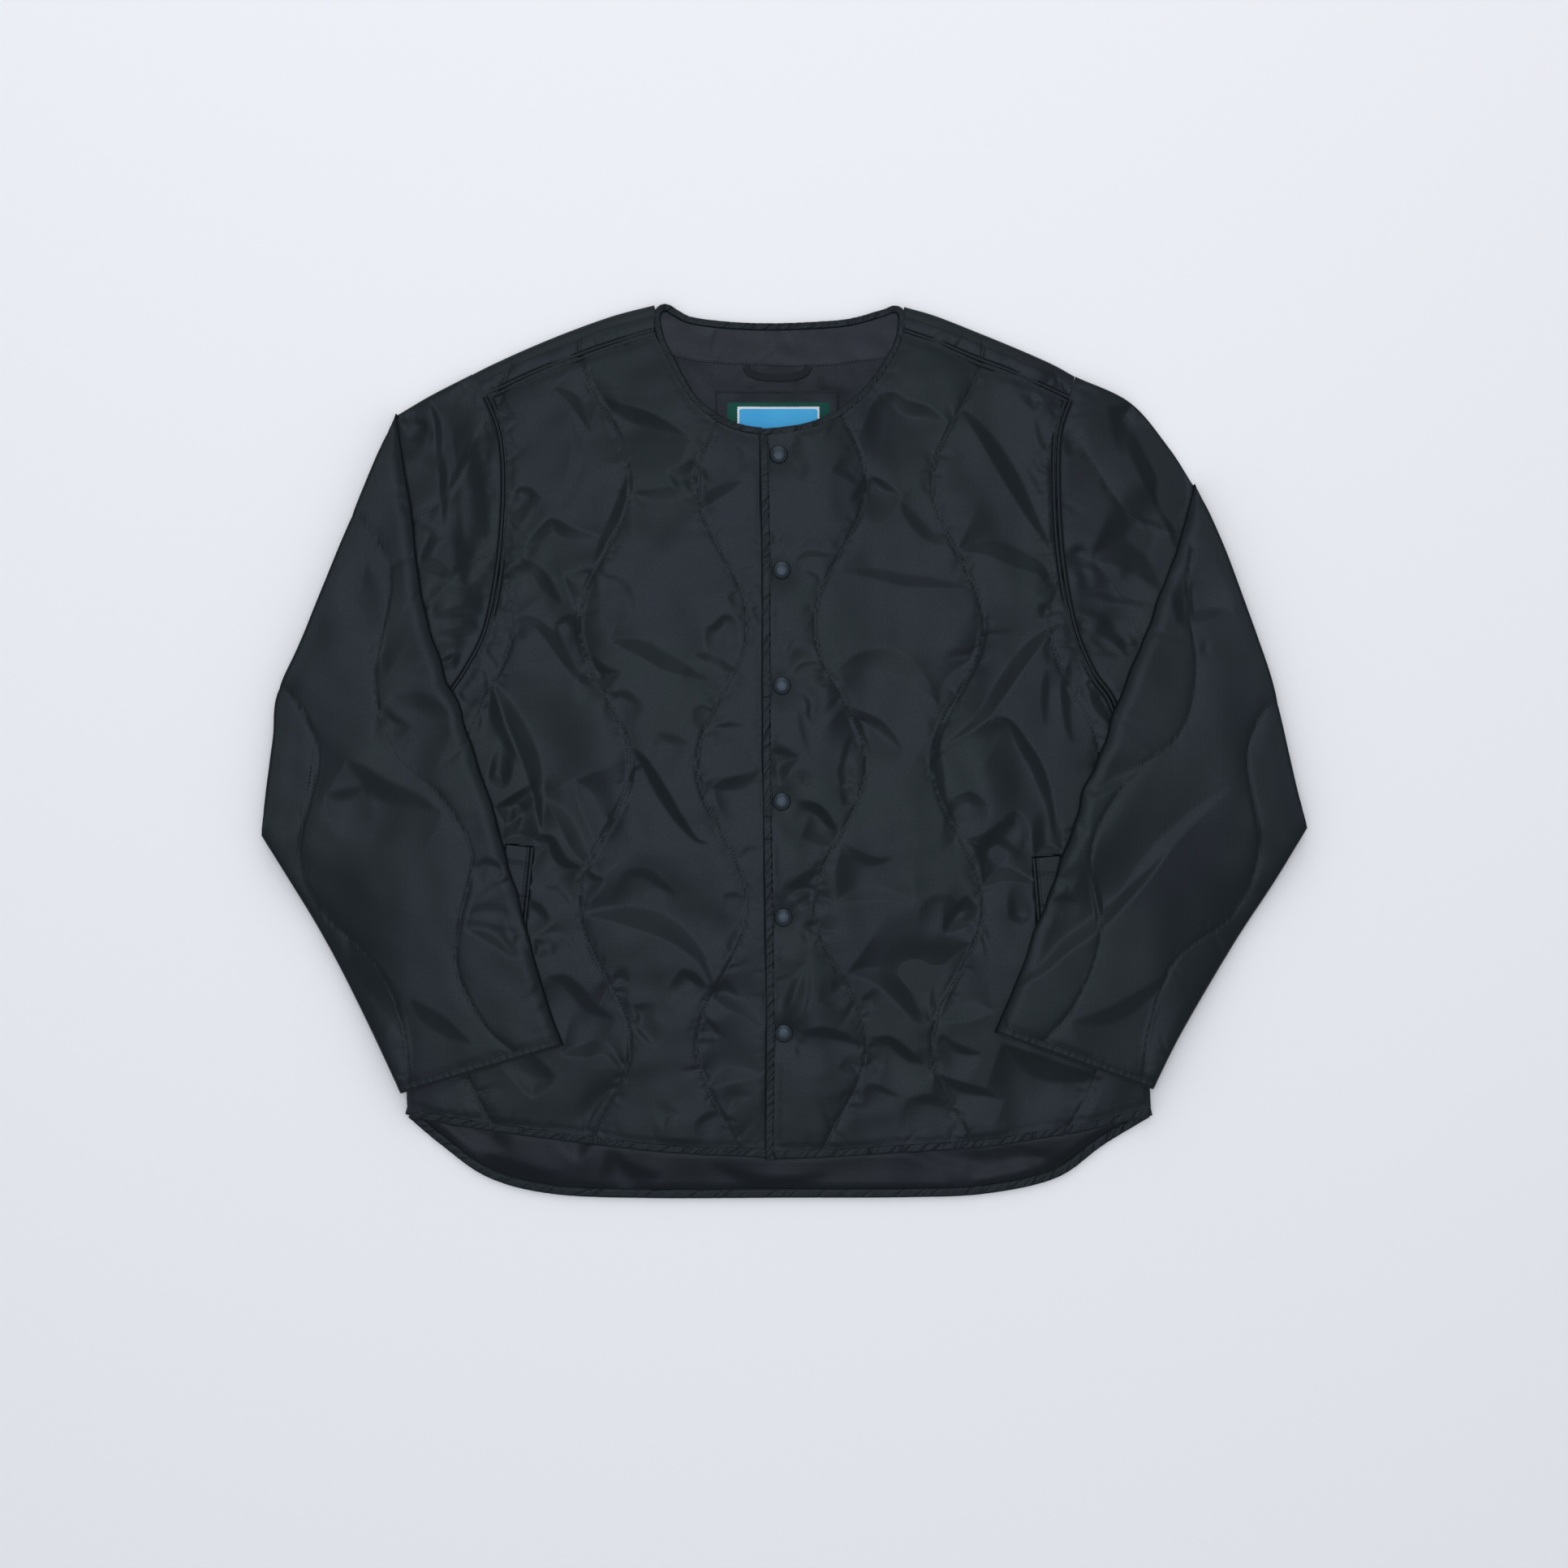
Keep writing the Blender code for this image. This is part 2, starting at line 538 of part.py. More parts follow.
def back_outline(sleeves, inset):
    """The flat part of the back, kept inside its edges by an inset, and its two shoulders."""
    right, left = back_edge(RIGHT), back_edge(LEFT)
    neck = shifted(spline(BACK_NECK, NECK_STEP), -(NECK_BIND + GAP))
    arms = []
    for key, side, roll in (("right", RIGHT, right), ("left", LEFT, left)):
        arm = sleeves[key].arm_corners
        roll[-1] = on_line(roll[-1], arm)
        arm = arm[arm[:, 1] < roll[-1][1] - 0.4 * LINE_STEP]
        arms.append(np.vstack([arm, spline(side.side_seam, HEM_STEP)[1:]]))
    hem = shifted(spline(BACK_HEM, HEM_STEP), HEM_BIND + GAP)
    loop = np.vstack([neck[1:-1], left, arms[1], hem[::-1][1:-1], arms[0][::-1], right[::-1]])
    if inset:
        closed = np.vstack([loop[-1:], loop, loop[:1]])
        loop = shifted(closed, -inset)[1:-1]
    return loop, left, right


def build_back(fronts, sleeves, look):
    """The back: flat on the floor, rolled over each shoulder to the forward seam."""
    outline, left, right = back_outline(sleeves, 0)
    points, faces = fill(outline, step=BACK_STEP)
    outer, inner = raised(points, 0.0), raised(points, BACK_WALL)
    corners = {tuple(np.round(p, 2)): i for i, p in enumerate(points)}
    roll_out, roll_in = (FRONT_Z + FOLD_WALL) / 2, (FRONT_Z - BACK_WALL) / 2
    middle_in = (BACK_WALL + FRONT_Z) / 2
    for key, side, roll in (("left", LEFT, left), ("right", RIGHT, right)):
        seam = spline(side.shoulder_seam, count=len(roll))
        outward = normals(roll) * Front.down(side.shoulder_top)
        arm = sleeves[key].arm_corners
        last = [corners[tuple(np.round(p, 2))] for p in roll]
        rows_out, rows_in = [], []
        for angle in (-45, 0, 45, 90):
            c, s = math.cos(math.radians(angle)), math.sin(math.radians(angle))
            for rows, radius, middle in ((rows_out, roll_out, roll_out), (rows_in, roll_in, middle_in)):
                flat = roll + outward * radius * c
                flat[-1] = on_line(flat[-1], arm)
                rows.append(raised(flat, middle + radius * s))
        for part in (0.4, 0.75, 1.0):
            flat = roll + (seam - roll) * part + outward * GAP * (part == 1.0)
            flat[-1] = on_line(flat[-1], arm)
            full = puff(np.minimum(distance(flat, seam) * 1.6, 12.0))
            rise = FRONT_Z + FOLD_WALL + (PUFF_WALL - FOLD_WALL) * full * 0.8
            for row in fronts[key].rows:
                rise = np.minimum(rise, FRONT_Z + SEAM_WALL + distance(flat, row) * 0.25)
            rise = np.where(part == 1.0, FRONT_Z + SEAM_WALL, rise)
            rows_out.append(raised(flat, rise))
            rows_in.append(raised(flat, FRONT_Z))
        for row_out, row_in in zip(rows_out, rows_in):
            start = len(outer)
            outer, inner = np.vstack([outer, row_out]), np.vstack([inner, row_in])
            new = list(range(start, start + len(roll)))
            for a, b, c, d in zip(last, last[1:], new[1:], new):
                faces.append((d, c, b, a) if side is RIGHT else (a, b, c, d))
            last = new
    fix_winding(faces)
    wall("back_panel", faces, outer, inner, look)


def fix_winding(faces):
    """Turn each face so that it agrees with its neighbours."""
    owner = {}
    for k, face in enumerate(faces):
        for a, b in zip(face, face[1:] + face[:1]):
            owner.setdefault(frozenset((a, b)), []).append((k, (a, b)))
    seen, queue = {0}, [0]
    while queue:
        k = queue.pop()
        face = faces[k]
        for edge in zip(face, face[1:] + face[:1]):
            for other, way in owner[frozenset(edge)]:
                if other in seen:
                    continue
                if way == edge:
                    faces[other] = tuple(reversed(faces[other]))
                seen.add(other)
                queue.append(other)


def build_linings(sleeves, lining_look, facing_look):
    """The lining inside the back, and the facing that carries it at the neck."""
    outline, _, right = back_outline(sleeves, LINING_INSET)
    edge = spline(FACING_EDGE, LINE_STEP)
    loop = np.roll(outline, len(right), axis=0)
    start = int(np.argmax(loop[:, 0] > edge[0, 0]))
    loop = np.roll(loop, -start, axis=0)
    count = int(np.argmax(loop[:, 0] > edge[-1, 0]))
    for name, loop, look in (
        ("neck_facing", np.vstack([loop[:count], shifted(edge, GAP / 2)[::-1]]), facing_look),
        ("back_lining", np.vstack([loop[count:], shifted(edge, -GAP / 2)]), lining_look),
    ):
        points, faces = fill(loop, step=LINING_STEP)
        wall(name, faces, raised(points, LINING_Z + LINING_WALL), raised(points, LINING_Z), look)


# ============================ the sleeves ============================

class Sleeve:
    """A flat tube from the armhole to the cuff, folded forward over itself on the way."""

    def __init__(self, name, side):
        self.name, self.side = name, side
        self.turn = 1 if side is RIGHT else -1
        arm = np.vstack([[side.overarm_low[0]], np.asarray(side.armhole)])
        self.armhole = spline(arm, count=CURVE_COUNT)
        fold = spline(side.fold, count=CURVE_COUNT)
        self.outward = -normals(fold) * self.turn
        self.fold = fold - self.outward * FOLD_INSET
        self.over = spline(side.overarm_up, count=CURVE_COUNT)
        self.under = spline(side.underarm_up, count=CURVE_COUNT)
        self.over_low = spline(side.overarm_low, count=CURVE_COUNT)
        self.under_low = spline(side.underarm_low, count=CURVE_COUNT)
        self.cuff = even([self.over[-1], self.under[-1]], count=CURVE_COUNT)
        self.rows_up = [self.places(row, 1) for row in side.rows_up]
        self.rows_low = [self.places(row, 0) for row in side.rows_low]
        length = np.linalg.norm(np.diff(self.armhole, axis=0), axis=1).sum()
        places = np.concatenate([[0.0], self.columns(0.0, length, self.rows_low)[0], [1.0]])
        self.arm_corners = self.patch(0, np.zeros(len(places)), places)
        dense = np.column_stack([np.interp(np.linspace(0, 1, 201), places, c) for c in self.arm_corners.T])
        self.armhole = shifted(dense, -self.turn * GAP)

    def front_armhole(self):
        """The armhole edge of the front: the sleeve's own corners below the shoulder seam."""
        line, top = self.arm_corners, self.side.armhole[0]
        return np.vstack([[on_line(top, line)], line[line[:, 1] < top[1] - 4.0]])

    def patch(self, leg, s, t):
        """Plane point at s along and t across the lower (0) or the upper (1) stretch."""
        s, t = np.broadcast_arrays(np.asarray(s, float), np.asarray(t, float))
        first = self.fold if leg else self.armhole
        last = self.cuff if leg else self.fold
        over = self.over if leg else self.over_low
        under = self.under if leg else self.under_low
        ruled = read(first, t) * (1 - s)[..., None] + read(last, t) * s[..., None]
        for rim, near in ((over, 1 - t), (under, t)):
            straight = rim[0] + (rim[-1] - rim[0]) * s[..., None]
            ruled = ruled + (read(rim, s) - straight) * near[..., None]
        return ruled

    def places(self, row, leg):
        """A quilting row's (s, t) places on one stretch, as two columns."""
        shares = np.linspace(0, 1, CURVE_COUNT)
        s, t = np.meshgrid(shares, shares, indexing="ij")
        grid = self.patch(leg, s, t)
        found = []
        for p in spline(row, 12.0):
            k = np.argmin(((grid - p) ** 2).sum(-1))
            found.append((s.flat[k], t.flat[k]))
        found = np.array(sorted(found))
        return found[found[:, 0] > ROW_CLEAR] if leg else found

    def stations(self):
        """(leg, s, angle) of each ring, from the armhole to the cuff."""
        rings = [(0, s, None) for s in np.linspace(0, 1, LOW_RINGS + 1)[:-1]]
        rings += [(0.5, 1.0, math.radians(a)) for a in TURN_ANGLES]
        return rings + [(1, s ** 1.25, None) for s in np.linspace(0, 1, UP_RINGS + 1)[1:]]

    def sag(self, points):
        """0 where the folded-over stretch is carried, 1 where it hangs to the floor."""
        flank = spline(self.side.side_seam, 10.0)
        beyond = -self.turn * (points[:, 0] - np.interp(points[:, 1], flank[::-1, 1], flank[::-1, 0]))
        rim = self.under_low[np.argsort(self.under_low[:, 0])]
        below = np.interp(points[:, 0], rim[:, 0], rim[:, 1]) - points[:, 1]
        return ease((np.minimum(beyond, below) - SAG_START) / SAG_REACH)

    @staticmethod
    def columns(s, length, rows):
        """Places across one wall of a ring, with one on each quilting row."""
        inset = EDGE_ROUND / length
        marks = [inset]
        for row in rows:
            marks.append(np.interp(s, row[:, 0], row[:, 1]))
        marks[1] = np.clip(marks[1], 9 * inset, 1 - 18 * inset)
        marks[2] = np.clip(marks[2], marks[1] + 9 * inset, 1 - 9 * inset)
        a, b, c, d = marks[0], marks[1], marks[2], 1 - inset
        rail = min(RAIL_ROOM / length, (b - a) * 0.45, (c - b) * 0.3, (d - c) * 0.45)
        spots = [a, (a + b - rail) / 2, b - rail, b, b + rail, (b + c) / 2, c - rail, c, c + rail,
                 (c + rail + d) / 2, d]
        return np.array(spots), (b, c)

    def thickness(self, t, rows, length, from_end, full):
        """Thickness of a padded wall across a ring."""
        gap = np.minimum(np.abs(t - rows[0]), np.abs(t - rows[1])) * length
        gap = np.minimum(gap, from_end)
        round_off = 0.45 + 0.55 * ease(np.minimum(t, 1 - t) * length / EDGE_EASE)
        return SEAM_WALL + (full - SEAM_WALL) * puff(gap) * round_off

    def ring(self, leg, s, angle):
        """Outer and inner points of one ring: back wall, edge, front wall, edge."""
        upper = leg == 1
        whole = 1 if upper else 0
        across = self.patch(whole, s, np.linspace(0, 1, CURVE_COUNT))
        length = np.linalg.norm(np.diff(across, axis=0), axis=1).sum()
        along = np.linalg.norm(self.over[0] - self.over[-1]) if upper else LOW_LENGTH
        from_end = min(s * along, END_PUFF)
        if upper:
            from_end = min(s * along + END_PUFF, (1 - s) * along + 1)
        if upper or angle is None:
            back_t, marks = self.columns(s, length, self.rows_up if upper else self.rows_low)
        else:
            back_t, marks = self.columns(0.0, length, self.rows_up)
        front_t = back_t[::-1]
        back_pad = self.thickness(back_t, marks, length, from_end, PUFF_WALL)
        front_pad = self.thickness(front_t, marks, length, from_end, UNDER_WALL)
        edges = np.array([1.0, 0.0])
        t_all = np.concatenate([back_t, edges[:1], front_t, edges[1:]])
        n = len(back_t)
        slim = 2 * EDGE_ROUND / length
        t_in = t_all.copy()
        for first, second, way in ((0, -1, 1), (n + 1, n, -1), (n - 1, n, -1), (-2, -1, 1)):
            rim = 0.0 if way == 1 else 1.0
            t_in[first], t_in[second] = rim + way * 1.3 * slim, rim + way * slim
        plan, plan_in = (self.patch(whole, s, t) for t in (t_all, t_in))
        if angle is None:
            if upper:
                base = OVER_Z + (FLOOR_Z - OVER_Z) * self.sag(plan)
                bend = 1 - ease(s * along / BEND_REACH)
                out_front = base[n + 1:-1] + UNDER_WALL - front_pad
                in_level = base + UNDER_WALL
                in_level = in_level + (FOLD_Z + FOLD_Z - TUBE_WALL - GAP - in_level) * bend
                out_front = out_front + (in_level[n + 1:-1] - FOLD_WALL - out_front) * bend
                in_front, in_back = in_level, in_level + GAP
                out_back = in_back[:n] + back_pad
                middle = (in_level[n] + GAP / 2, in_level[-1] + GAP / 2)
            else:
                in_back = np.full(len(t_all), TUBE_WALL)
                in_front = in_back + GAP + 1.2 * (1 - s) ** 2
                out_back = np.zeros(n)
                out_front = in_front[n + 1:-1] + front_pad
                middle = ((in_front[n] + front_pad[0]) * 0.5, (in_front[-1] + front_pad[-1]) * 0.5)
            z_out = np.concatenate([out_back, middle[:1], out_front, middle[1:]])
            z_in = np.concatenate([in_back[:n], [(in_front[n] + in_back[n]) / 2], in_front[n + 1:-1],
                                   [(in_front[-1] + in_back[-1]) / 2]])
            return raised(plan, z_out), raised(plan_in, z_in)
        share = ease((math.degrees(angle) + 90) / 90)
        r_in = FOLD_Z - TUBE_WALL
        r_back = FOLD_Z + (r_in + back_pad - FOLD_Z) * share
        r_front = (r_in - GAP - front_pad) * (1 - share) + (r_in - GAP - FOLD_WALL) * share
        r_edge = r_in - 1.0
        r_out = np.concatenate([r_back, [r_edge], r_front, [r_edge]])
        r_lumen = np.concatenate([np.full(n, r_in), [r_in - GAP / 2], np.full(n, r_in - GAP),
                                  [r_in - GAP / 2]])
        out = []
        for t, flat, radius in ((t_all, plan, r_out), (t_in, plan_in, r_lumen)):
            moved = flat + read(self.outward, t) * (radius * math.cos(angle))[:, None]
            out.append(raised(moved, FOLD_Z + radius * math.sin(angle)))
        return tuple(out)

    def build(self, sleeve_look, binding_look):
        """The sleeve, and the binding round its cuff."""
        rings = [self.ring(*place) for place in self.stations()]
        cuff_out, cuff_in = rings[-1]
        before_out, before_in = rings[-2]
        reach = np.linalg.norm(cuff_out[:, :2] - before_out[:, :2], axis=1).mean()
        cut = 1 - (CUFF_BIND + GAP) / reach
        start = 1 - CUFF_BIND / reach
        ends = [tuple(b + (c - b) * f for b, c in ((before_out, cuff_out), (before_in, cuff_in)))
                for f in (cut, start)]
        rings[-1] = ends[0]
        columns = len(cuff_out)
        outer, inner = (np.vstack([r[k] for r in rings]) for k in (0, 1))
        wall("sleeve_" + self.name, tube_faces(len(rings), columns), outer, inner, sleeve_look)
        bands = []
        for part, swell in ((0.0, 0.35), (0.5, 0.75), (1.0, 0.1)):
            ring_out = ends[1][0] + (cuff_out - ends[1][0]) * part
            ring_in = ends[1][1] + (cuff_in - ends[1][1]) * part
            lift = np.sign(ring_out[:, 2] - ring_in[:, 2]) * swell
            bands.append((ring_out + np.column_stack([0 * lift, 0 * lift, lift]), ring_in))
        outer, inner = (np.vstack([b[k] for b in bands]) for k in (0, 1))
        wall("cuff_binding_" + self.name, tube_faces(3, columns), outer, inner, binding_look)


# ============================ trims ============================

def build_bindings(fronts, look):
    """Bindings on the neck, the front edge and the hems."""
    for key, front in fronts.items():
        way = 1 if key == "right" else -1
        toe = back_edge(front.side)[0]
        toe = (way * max(way * toe[0], way * front.neck[0, 0]) + way * 0.2, toe[1] + 2.0)
        neck = shifted(np.vstack([[toe], front.neck]), way * (GAP + NECK_BIND / 2))
        hem = shifted(front.hem, -way * (GAP + HEM_BIND / 2))
        height = np.where(hem[:, 0] > UNDERLAP_FREE, UNDERLAP_WALL, FRONT_BIND_WALL)
        if key == "right":
            end = FRONT_EDGE[0][0] - GAP
            last = (end, np.interp(end, neck[:, 0], neck[:, 1]))
            neck = np.vstack([neck[neck[:, 0] < end - 3.0], last])
        else:
            height = FRONT_BIND_WALL
            neck = np.vstack([neck, neck[-1] - [FRONT_BIND, 0.2]])
        strip("neck_binding_" + key, neck, NECK_BIND, front.underside(neck), FRONT_BIND_WALL, look)
        strip("hem_binding_" + key, hem, HEM_BIND, front.underside(hem), height, look)
    edge = shifted(front_edge(), FRONT_BIND / 2)
    edge[-1, 1] -= HEM_BIND + GAP
    strip("front_edge_binding", edge, FRONT_BIND, fronts["left"].underside(edge), FRONT_BIND_WALL, look)
    hem = shifted(spline(BACK_HEM, HEM_STEP), HEM_BIND / 2)
    strip("hem_binding_back", hem, HEM_BIND, 0.0, BIND_WALL, look)
    neck = shifted(spline(BACK_NECK, NECK_STEP), -NECK_BIND / 2)
    strip("neck_binding_back", neck, NECK_BIND, 0.0, BIND_WALL, look)


def build_snaps(front, look):
    """Six domed caps on the left front."""
    profile = ((0, 0), (SNAP_RADIUS - 0.4, 0), (SNAP_RADIUS, 0.5), (SNAP_RADIUS - 0.3, 1.3),
               (SNAP_RADIUS - 1.6, 1.6), (SNAP_RADIUS * 0.5, 2.3), (0, SNAP_HEIGHT))
    for number, (x, y) in enumerate(SNAPS, 1):
        base = float(front.top(np.array([(x, y)]))[0]) + GAP
        bm = bmesh.new()
        run = [bm.verts.new(((x + r) * MM, y * MM, (base + z) * MM)) for r, z in profile]
        edges = [bm.edges.new(pair) for pair in zip(run, run[1:])]
        bmesh.ops.spin(bm, geom=run + edges, cent=(x * MM, y * MM, 0), axis=(0, 0, 1),
                       angle=2 * math.pi, steps=14, use_merge=True)
        bmesh.ops.remove_doubles(bm, verts=bm.verts, dist=0.00005)
        bmesh.ops.recalc_face_normals(bm, faces=bm.faces)
        mesh = bpy.data.meshes.new(f"snap_cap_{number}")
        bm.to_mesh(mesh)
        bm.free()
        mesh.shade_smooth()
        mesh.set_sharp_from_angle(angle=math.radians(60))
        new_object(f"snap_cap_{number}", mesh, look)


def build_welts(fronts, look):
    """Pocket welts, lying on each front along its opening."""
    for key, front in fronts.items():
        side = normals(front.welt) * WELT_WIDTH / 2
        highest = np.max([front.top(front.welt + side * k) for k in (-1, -0.5, 0, 0.5, 1)], axis=0)
        strip("pocket_welt_" + key, front.welt, WELT_WIDTH, highest + GAP, TRIM_WALL, look)


def build_neck_trims(loop_look, patch_look, label_look):
    """Hang loop, label patch and a bare label inside the back of the neck."""
    base = FRONT_Z
    strip("hang_loop", spline(LOOP_PATH, 5.0), LOOP_WIDTH, base, 1.0, loop_look, round_off=0.5)
    for name, box, level, look in (("label_patch", PATCH, base, patch_look),
                                   ("neck_label", LABEL, base + PATCH_WALL + GAP, label_look)):
        path = even([((box[0] + box[2]) / 2, box[1]), ((box[0] + box[2]) / 2, box[3])], count=3)
        strip(name, path, box[2] - box[0], level, PATCH_WALL, look, round_off=0.3)


def main():
    """Build the jacket."""
    for item in list(bpy.data.objects):
        bpy.data.objects.remove(item, do_unlink=True)
    satin = finish("charcoal_satin", (0.024, 0.028, 0.034), 0.42)
    lining = finish("navy_lining", (0.016, 0.02, 0.036), 0.3)
    tape = finish("binding_tape", (0.02, 0.023, 0.028), 0.45)
    metal = finish("snap_metal", (0.05, 0.06, 0.08), 0.25, 0.9)
    patch = finish("patch_cloth", (0.01, 0.012, 0.016), 0.6)
    label = finish("label_weave", (0.05, 0.22, 0.09), 0.7)
    sleeves = {"right": Sleeve("right", RIGHT), "left": Sleeve("left", LEFT)}
    fronts = {key: Front("front_" + key, sleeve.side, sleeve.front_armhole(), key == "left")
              for key, sleeve in sleeves.items()}
    for front in fronts.values():
        front.build(satin)
    for sleeve in sleeves.values():
        sleeve.build(satin, tape)
    build_back(fronts, sleeves, satin)
    build_linings(sleeves, lining, satin)
    build_bindings(fronts, tape)
    build_snaps(fronts["left"], metal)
    build_welts(fronts, satin)
    build_neck_trims(tape, patch, label)


if __name__ == "__main__":
    main()
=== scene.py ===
"""Looks of a quilted liner jacket, laid flat on its back with both sleeves folded forward.

Every table is in millimetres: x runs to the wearer's left, y from hem to neck, and z is the
height over the floor. The meshes are made in metres, in the frame of the solids, with each
piece's place in its points. Left and right are the wearer's.
"""

import logging
import math
from collections.abc import Callable, Sequence
from dataclasses import dataclass, field
from enum import Enum, IntEnum
from functools import partial

import bmesh
import bpy
import numpy as np
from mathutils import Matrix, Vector


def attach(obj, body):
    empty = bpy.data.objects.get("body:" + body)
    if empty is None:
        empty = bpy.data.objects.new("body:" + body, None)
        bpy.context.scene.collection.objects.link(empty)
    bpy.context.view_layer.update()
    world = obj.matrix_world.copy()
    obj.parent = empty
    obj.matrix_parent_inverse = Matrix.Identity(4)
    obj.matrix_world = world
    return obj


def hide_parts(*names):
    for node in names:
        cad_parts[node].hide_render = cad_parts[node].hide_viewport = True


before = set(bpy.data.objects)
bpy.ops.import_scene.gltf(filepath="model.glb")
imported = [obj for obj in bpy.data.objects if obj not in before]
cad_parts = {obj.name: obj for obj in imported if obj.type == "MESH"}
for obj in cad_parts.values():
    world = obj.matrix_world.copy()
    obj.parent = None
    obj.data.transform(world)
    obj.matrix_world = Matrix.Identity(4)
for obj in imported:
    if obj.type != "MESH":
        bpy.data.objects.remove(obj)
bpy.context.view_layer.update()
LOG = logging.getLogger("jacket")
Points = np.ndarray
Height = Callable[[Points], Points]

MM = 0.001
GAP = 0.3
WELD = 0.01               # points nearer than this are joined

# ---- layers, from the floor up ----
BACK_WALL = 2.4
LINING_WALL = 0.8
LINING_Z = BACK_WALL + GAP
FRONT_Z = LINING_Z + LINING_WALL + GAP
PUFF_WALL = 5.8
PUFF_REACH = 26.0
CROWN_RISE = 0.45         # how much lower the padding is at its rows than at its crown
ROW_NOTCH = 0.75          # how deep the stitches sink
NOTCH_WIDTH = 1.0
ROW_PULL = 0.35           # how much more they pull down where they are tight
PULL_WIDTH = 6.5
PULL_LENGTH = 60.0        # of the waves that make them tight and slack
EDGE_DROP = 0.5           # how much lower padded cloth is beside a seam or binding
EDGE_REACH = 7.0
HELD_SHARE = 0.55         # share of a crease that is left right at a row or an edge
HELD_REACH = 4.0
THIN_WALL = 0.9           # the least that padded cloth is pressed to
FOLD_WALL = 2.2
UNDERLAP_WALL = 2.2
THREAD_SHARE = 0.86       # height of a binding's stitches, as a share of its own

# ---- onion quilting ----
QUILT_PITCH = 96.2
QUILT_FIRST = -243.5
QUILT_SWING = 21.0
QUILT_PERIOD = 230.0
QUILT_TOP = 218.0
QUILT_ROWS = 6
QUILT_SPAN = (-400.0, 420.0, 8.0)       # from, to and step

# ---- bindings ----
NECK_BIND = 5.3
FRONT_BIND = 7.0
HEM_BIND = 6.6
CUFF_BIND = 6.4
BIND_LAP = 0.9            # how far a binding reaches over the cloth that it binds
TWIN_STITCH = 3.3         # from a pressed-open seam to its rows of stitches
STITCH_CLEAR = 2.0        # from the end of a quilting row to the edge of the cloth

# ---- closure ----
SNAP_RADIUS = 7.3
SNAP_WALL = 3.4
SNAP_EASE = 24.0
SNAPS = [(-5.0, 241.3), (-2.6, 147.0), (-2.4, 52.4), (-2.6, -42.4), (-1.2, -137.3), (-0.8, -232.0)]
UNDERLAP_CLIMB = 17.0
UNDERLAP_RISE = 60.0
UNDERLAP_START = 2.4      # how far past the left front's edge the right front's padding ends
UNDERLAP_STEP = 2.0
STEP_SHARE = 0.6          # share of the padding that rises in that step

# ---- sleeves ----
TUBE_WALL = 2.2
FOLD_Z = 8.0
FOLD_INSET = 10.2
OVER_Z = FRONT_Z + PUFF_WALL + GAP
FLOOR_Z = 0.2
SAG_REACH = 120.0
UNDER_WALL = 3.4
BEND_REACH = 45.0
RIM_DROP = 2.5            # how much lower the sleeve's long edges lie than its middle
RIM_THIN = 2.9            # how much thinner its padding is there
RIM_REACH = 12.0
CURVE_COUNT = 61
# a cuff binding's section: how far past the cuff's end, and how high over the sleeve
CUFF_SECTION = ((-7.1, 0.0), (-7.0, 0.5), (-6.4, 0.85), (-5.6, 0.6), (-4.6, 1.0), (-2.8, 1.1), (-1.2, 0.9),
                (-0.3, 0.4), (0.0, -0.3))
CUFF_STITCH = 3           # the row of that section that is stitched

# ---- fineness of the meshes ----
CLOTH_PITCH = 1.6
HIDDEN_PITCH = 5.0
TAPE_STEP = 1.3
TAPE_UNDER = 4            # faces under a tape
TAPE_EDGE = 0.2           # height of its upright edges, as a share of its own
SPLINE_PARTS = 16         # between two points that a curve goes through
CHUNK = 2_000_000         # distances worked out at one time


# ============================ curves and distances ============================

def spline(points: Sequence, step: float = 0.0, count: int = 0) -> Points:
    """Draw a soft curve through a few points.

    Args:
        points: The points that the curve goes through.
        step: Spacing of the points returned, where no count is given.
        count: Number of points returned.

    Returns:
        Evenly spaced points along the curve.
    """
    knots = np.asarray(points, float)
    ends = 2 * knots[0] - knots[1], 2 * knots[-1] - knots[-2]
    run = np.vstack([ends[0], knots, ends[1]])
    part = np.linspace(0, 1, SPLINE_PARTS, endpoint=False)[:, None]
    dense = []
    for a, b, c, d in zip(run, run[1:], run[2:], run[3:]):
        dense.append(0.5 * (2 * b + (c - a) * part + (2 * a - 5 * b + 4 * c - d) * part ** 2
                            + (3 * b - a - 3 * c + d) * part ** 3))
    return even(np.vstack(dense + [knots[-1:]]), step, count)


def lengths(curve: Points) -> Points:
    """Length along a curve at each of its points."""
    return np.concatenate([[0], np.cumsum(np.linalg.norm(np.diff(curve, axis=0), axis=1))])


def at_length(curve: Points, along: Points) -> Points:
    """Points at the given lengths along a curve."""
    places = lengths(curve)
    return np.stack([np.interp(along, places, curve[:, k]) for k in range(curve.shape[1])], -1)


def even(curve: Points, step: float = 0.0, count: int = 0) -> Points:
    """The same curve with evenly spaced points, by their step or their count.

    Args:
        curve: A run of straight pieces.
        step: Spacing of the points, where no count is given.
        count: Number of points.

    Returns:
        The points.
    """
    curve = np.asarray(curve, float)
    total = lengths(curve)[-1]
    return at_length(curve, np.linspace(0, total, count or max(2, round(total / step) + 1)))


def read(curve: Points, share: Points) -> Points:
    """Points at a share, from 0 to 1, of the way along an evenly spaced curve."""
    places = np.linspace(0, 1, len(curve))
    return np.stack([np.interp(share, places, curve[:, k]) for k in range(curve.shape[1])], -1)


def normals(curve: Points) -> Points:
    """Unit normals of a plane curve, to the left of its direction.

    Args:
        curve: A run of straight pieces.

    Returns:
        A normal for each point.
    """
    run = np.gradient(curve[:, :2], axis=0)
    run /= np.linalg.norm(run, axis=1)[:, None]
    return np.column_stack([-run[:, 1], run[:, 0]])


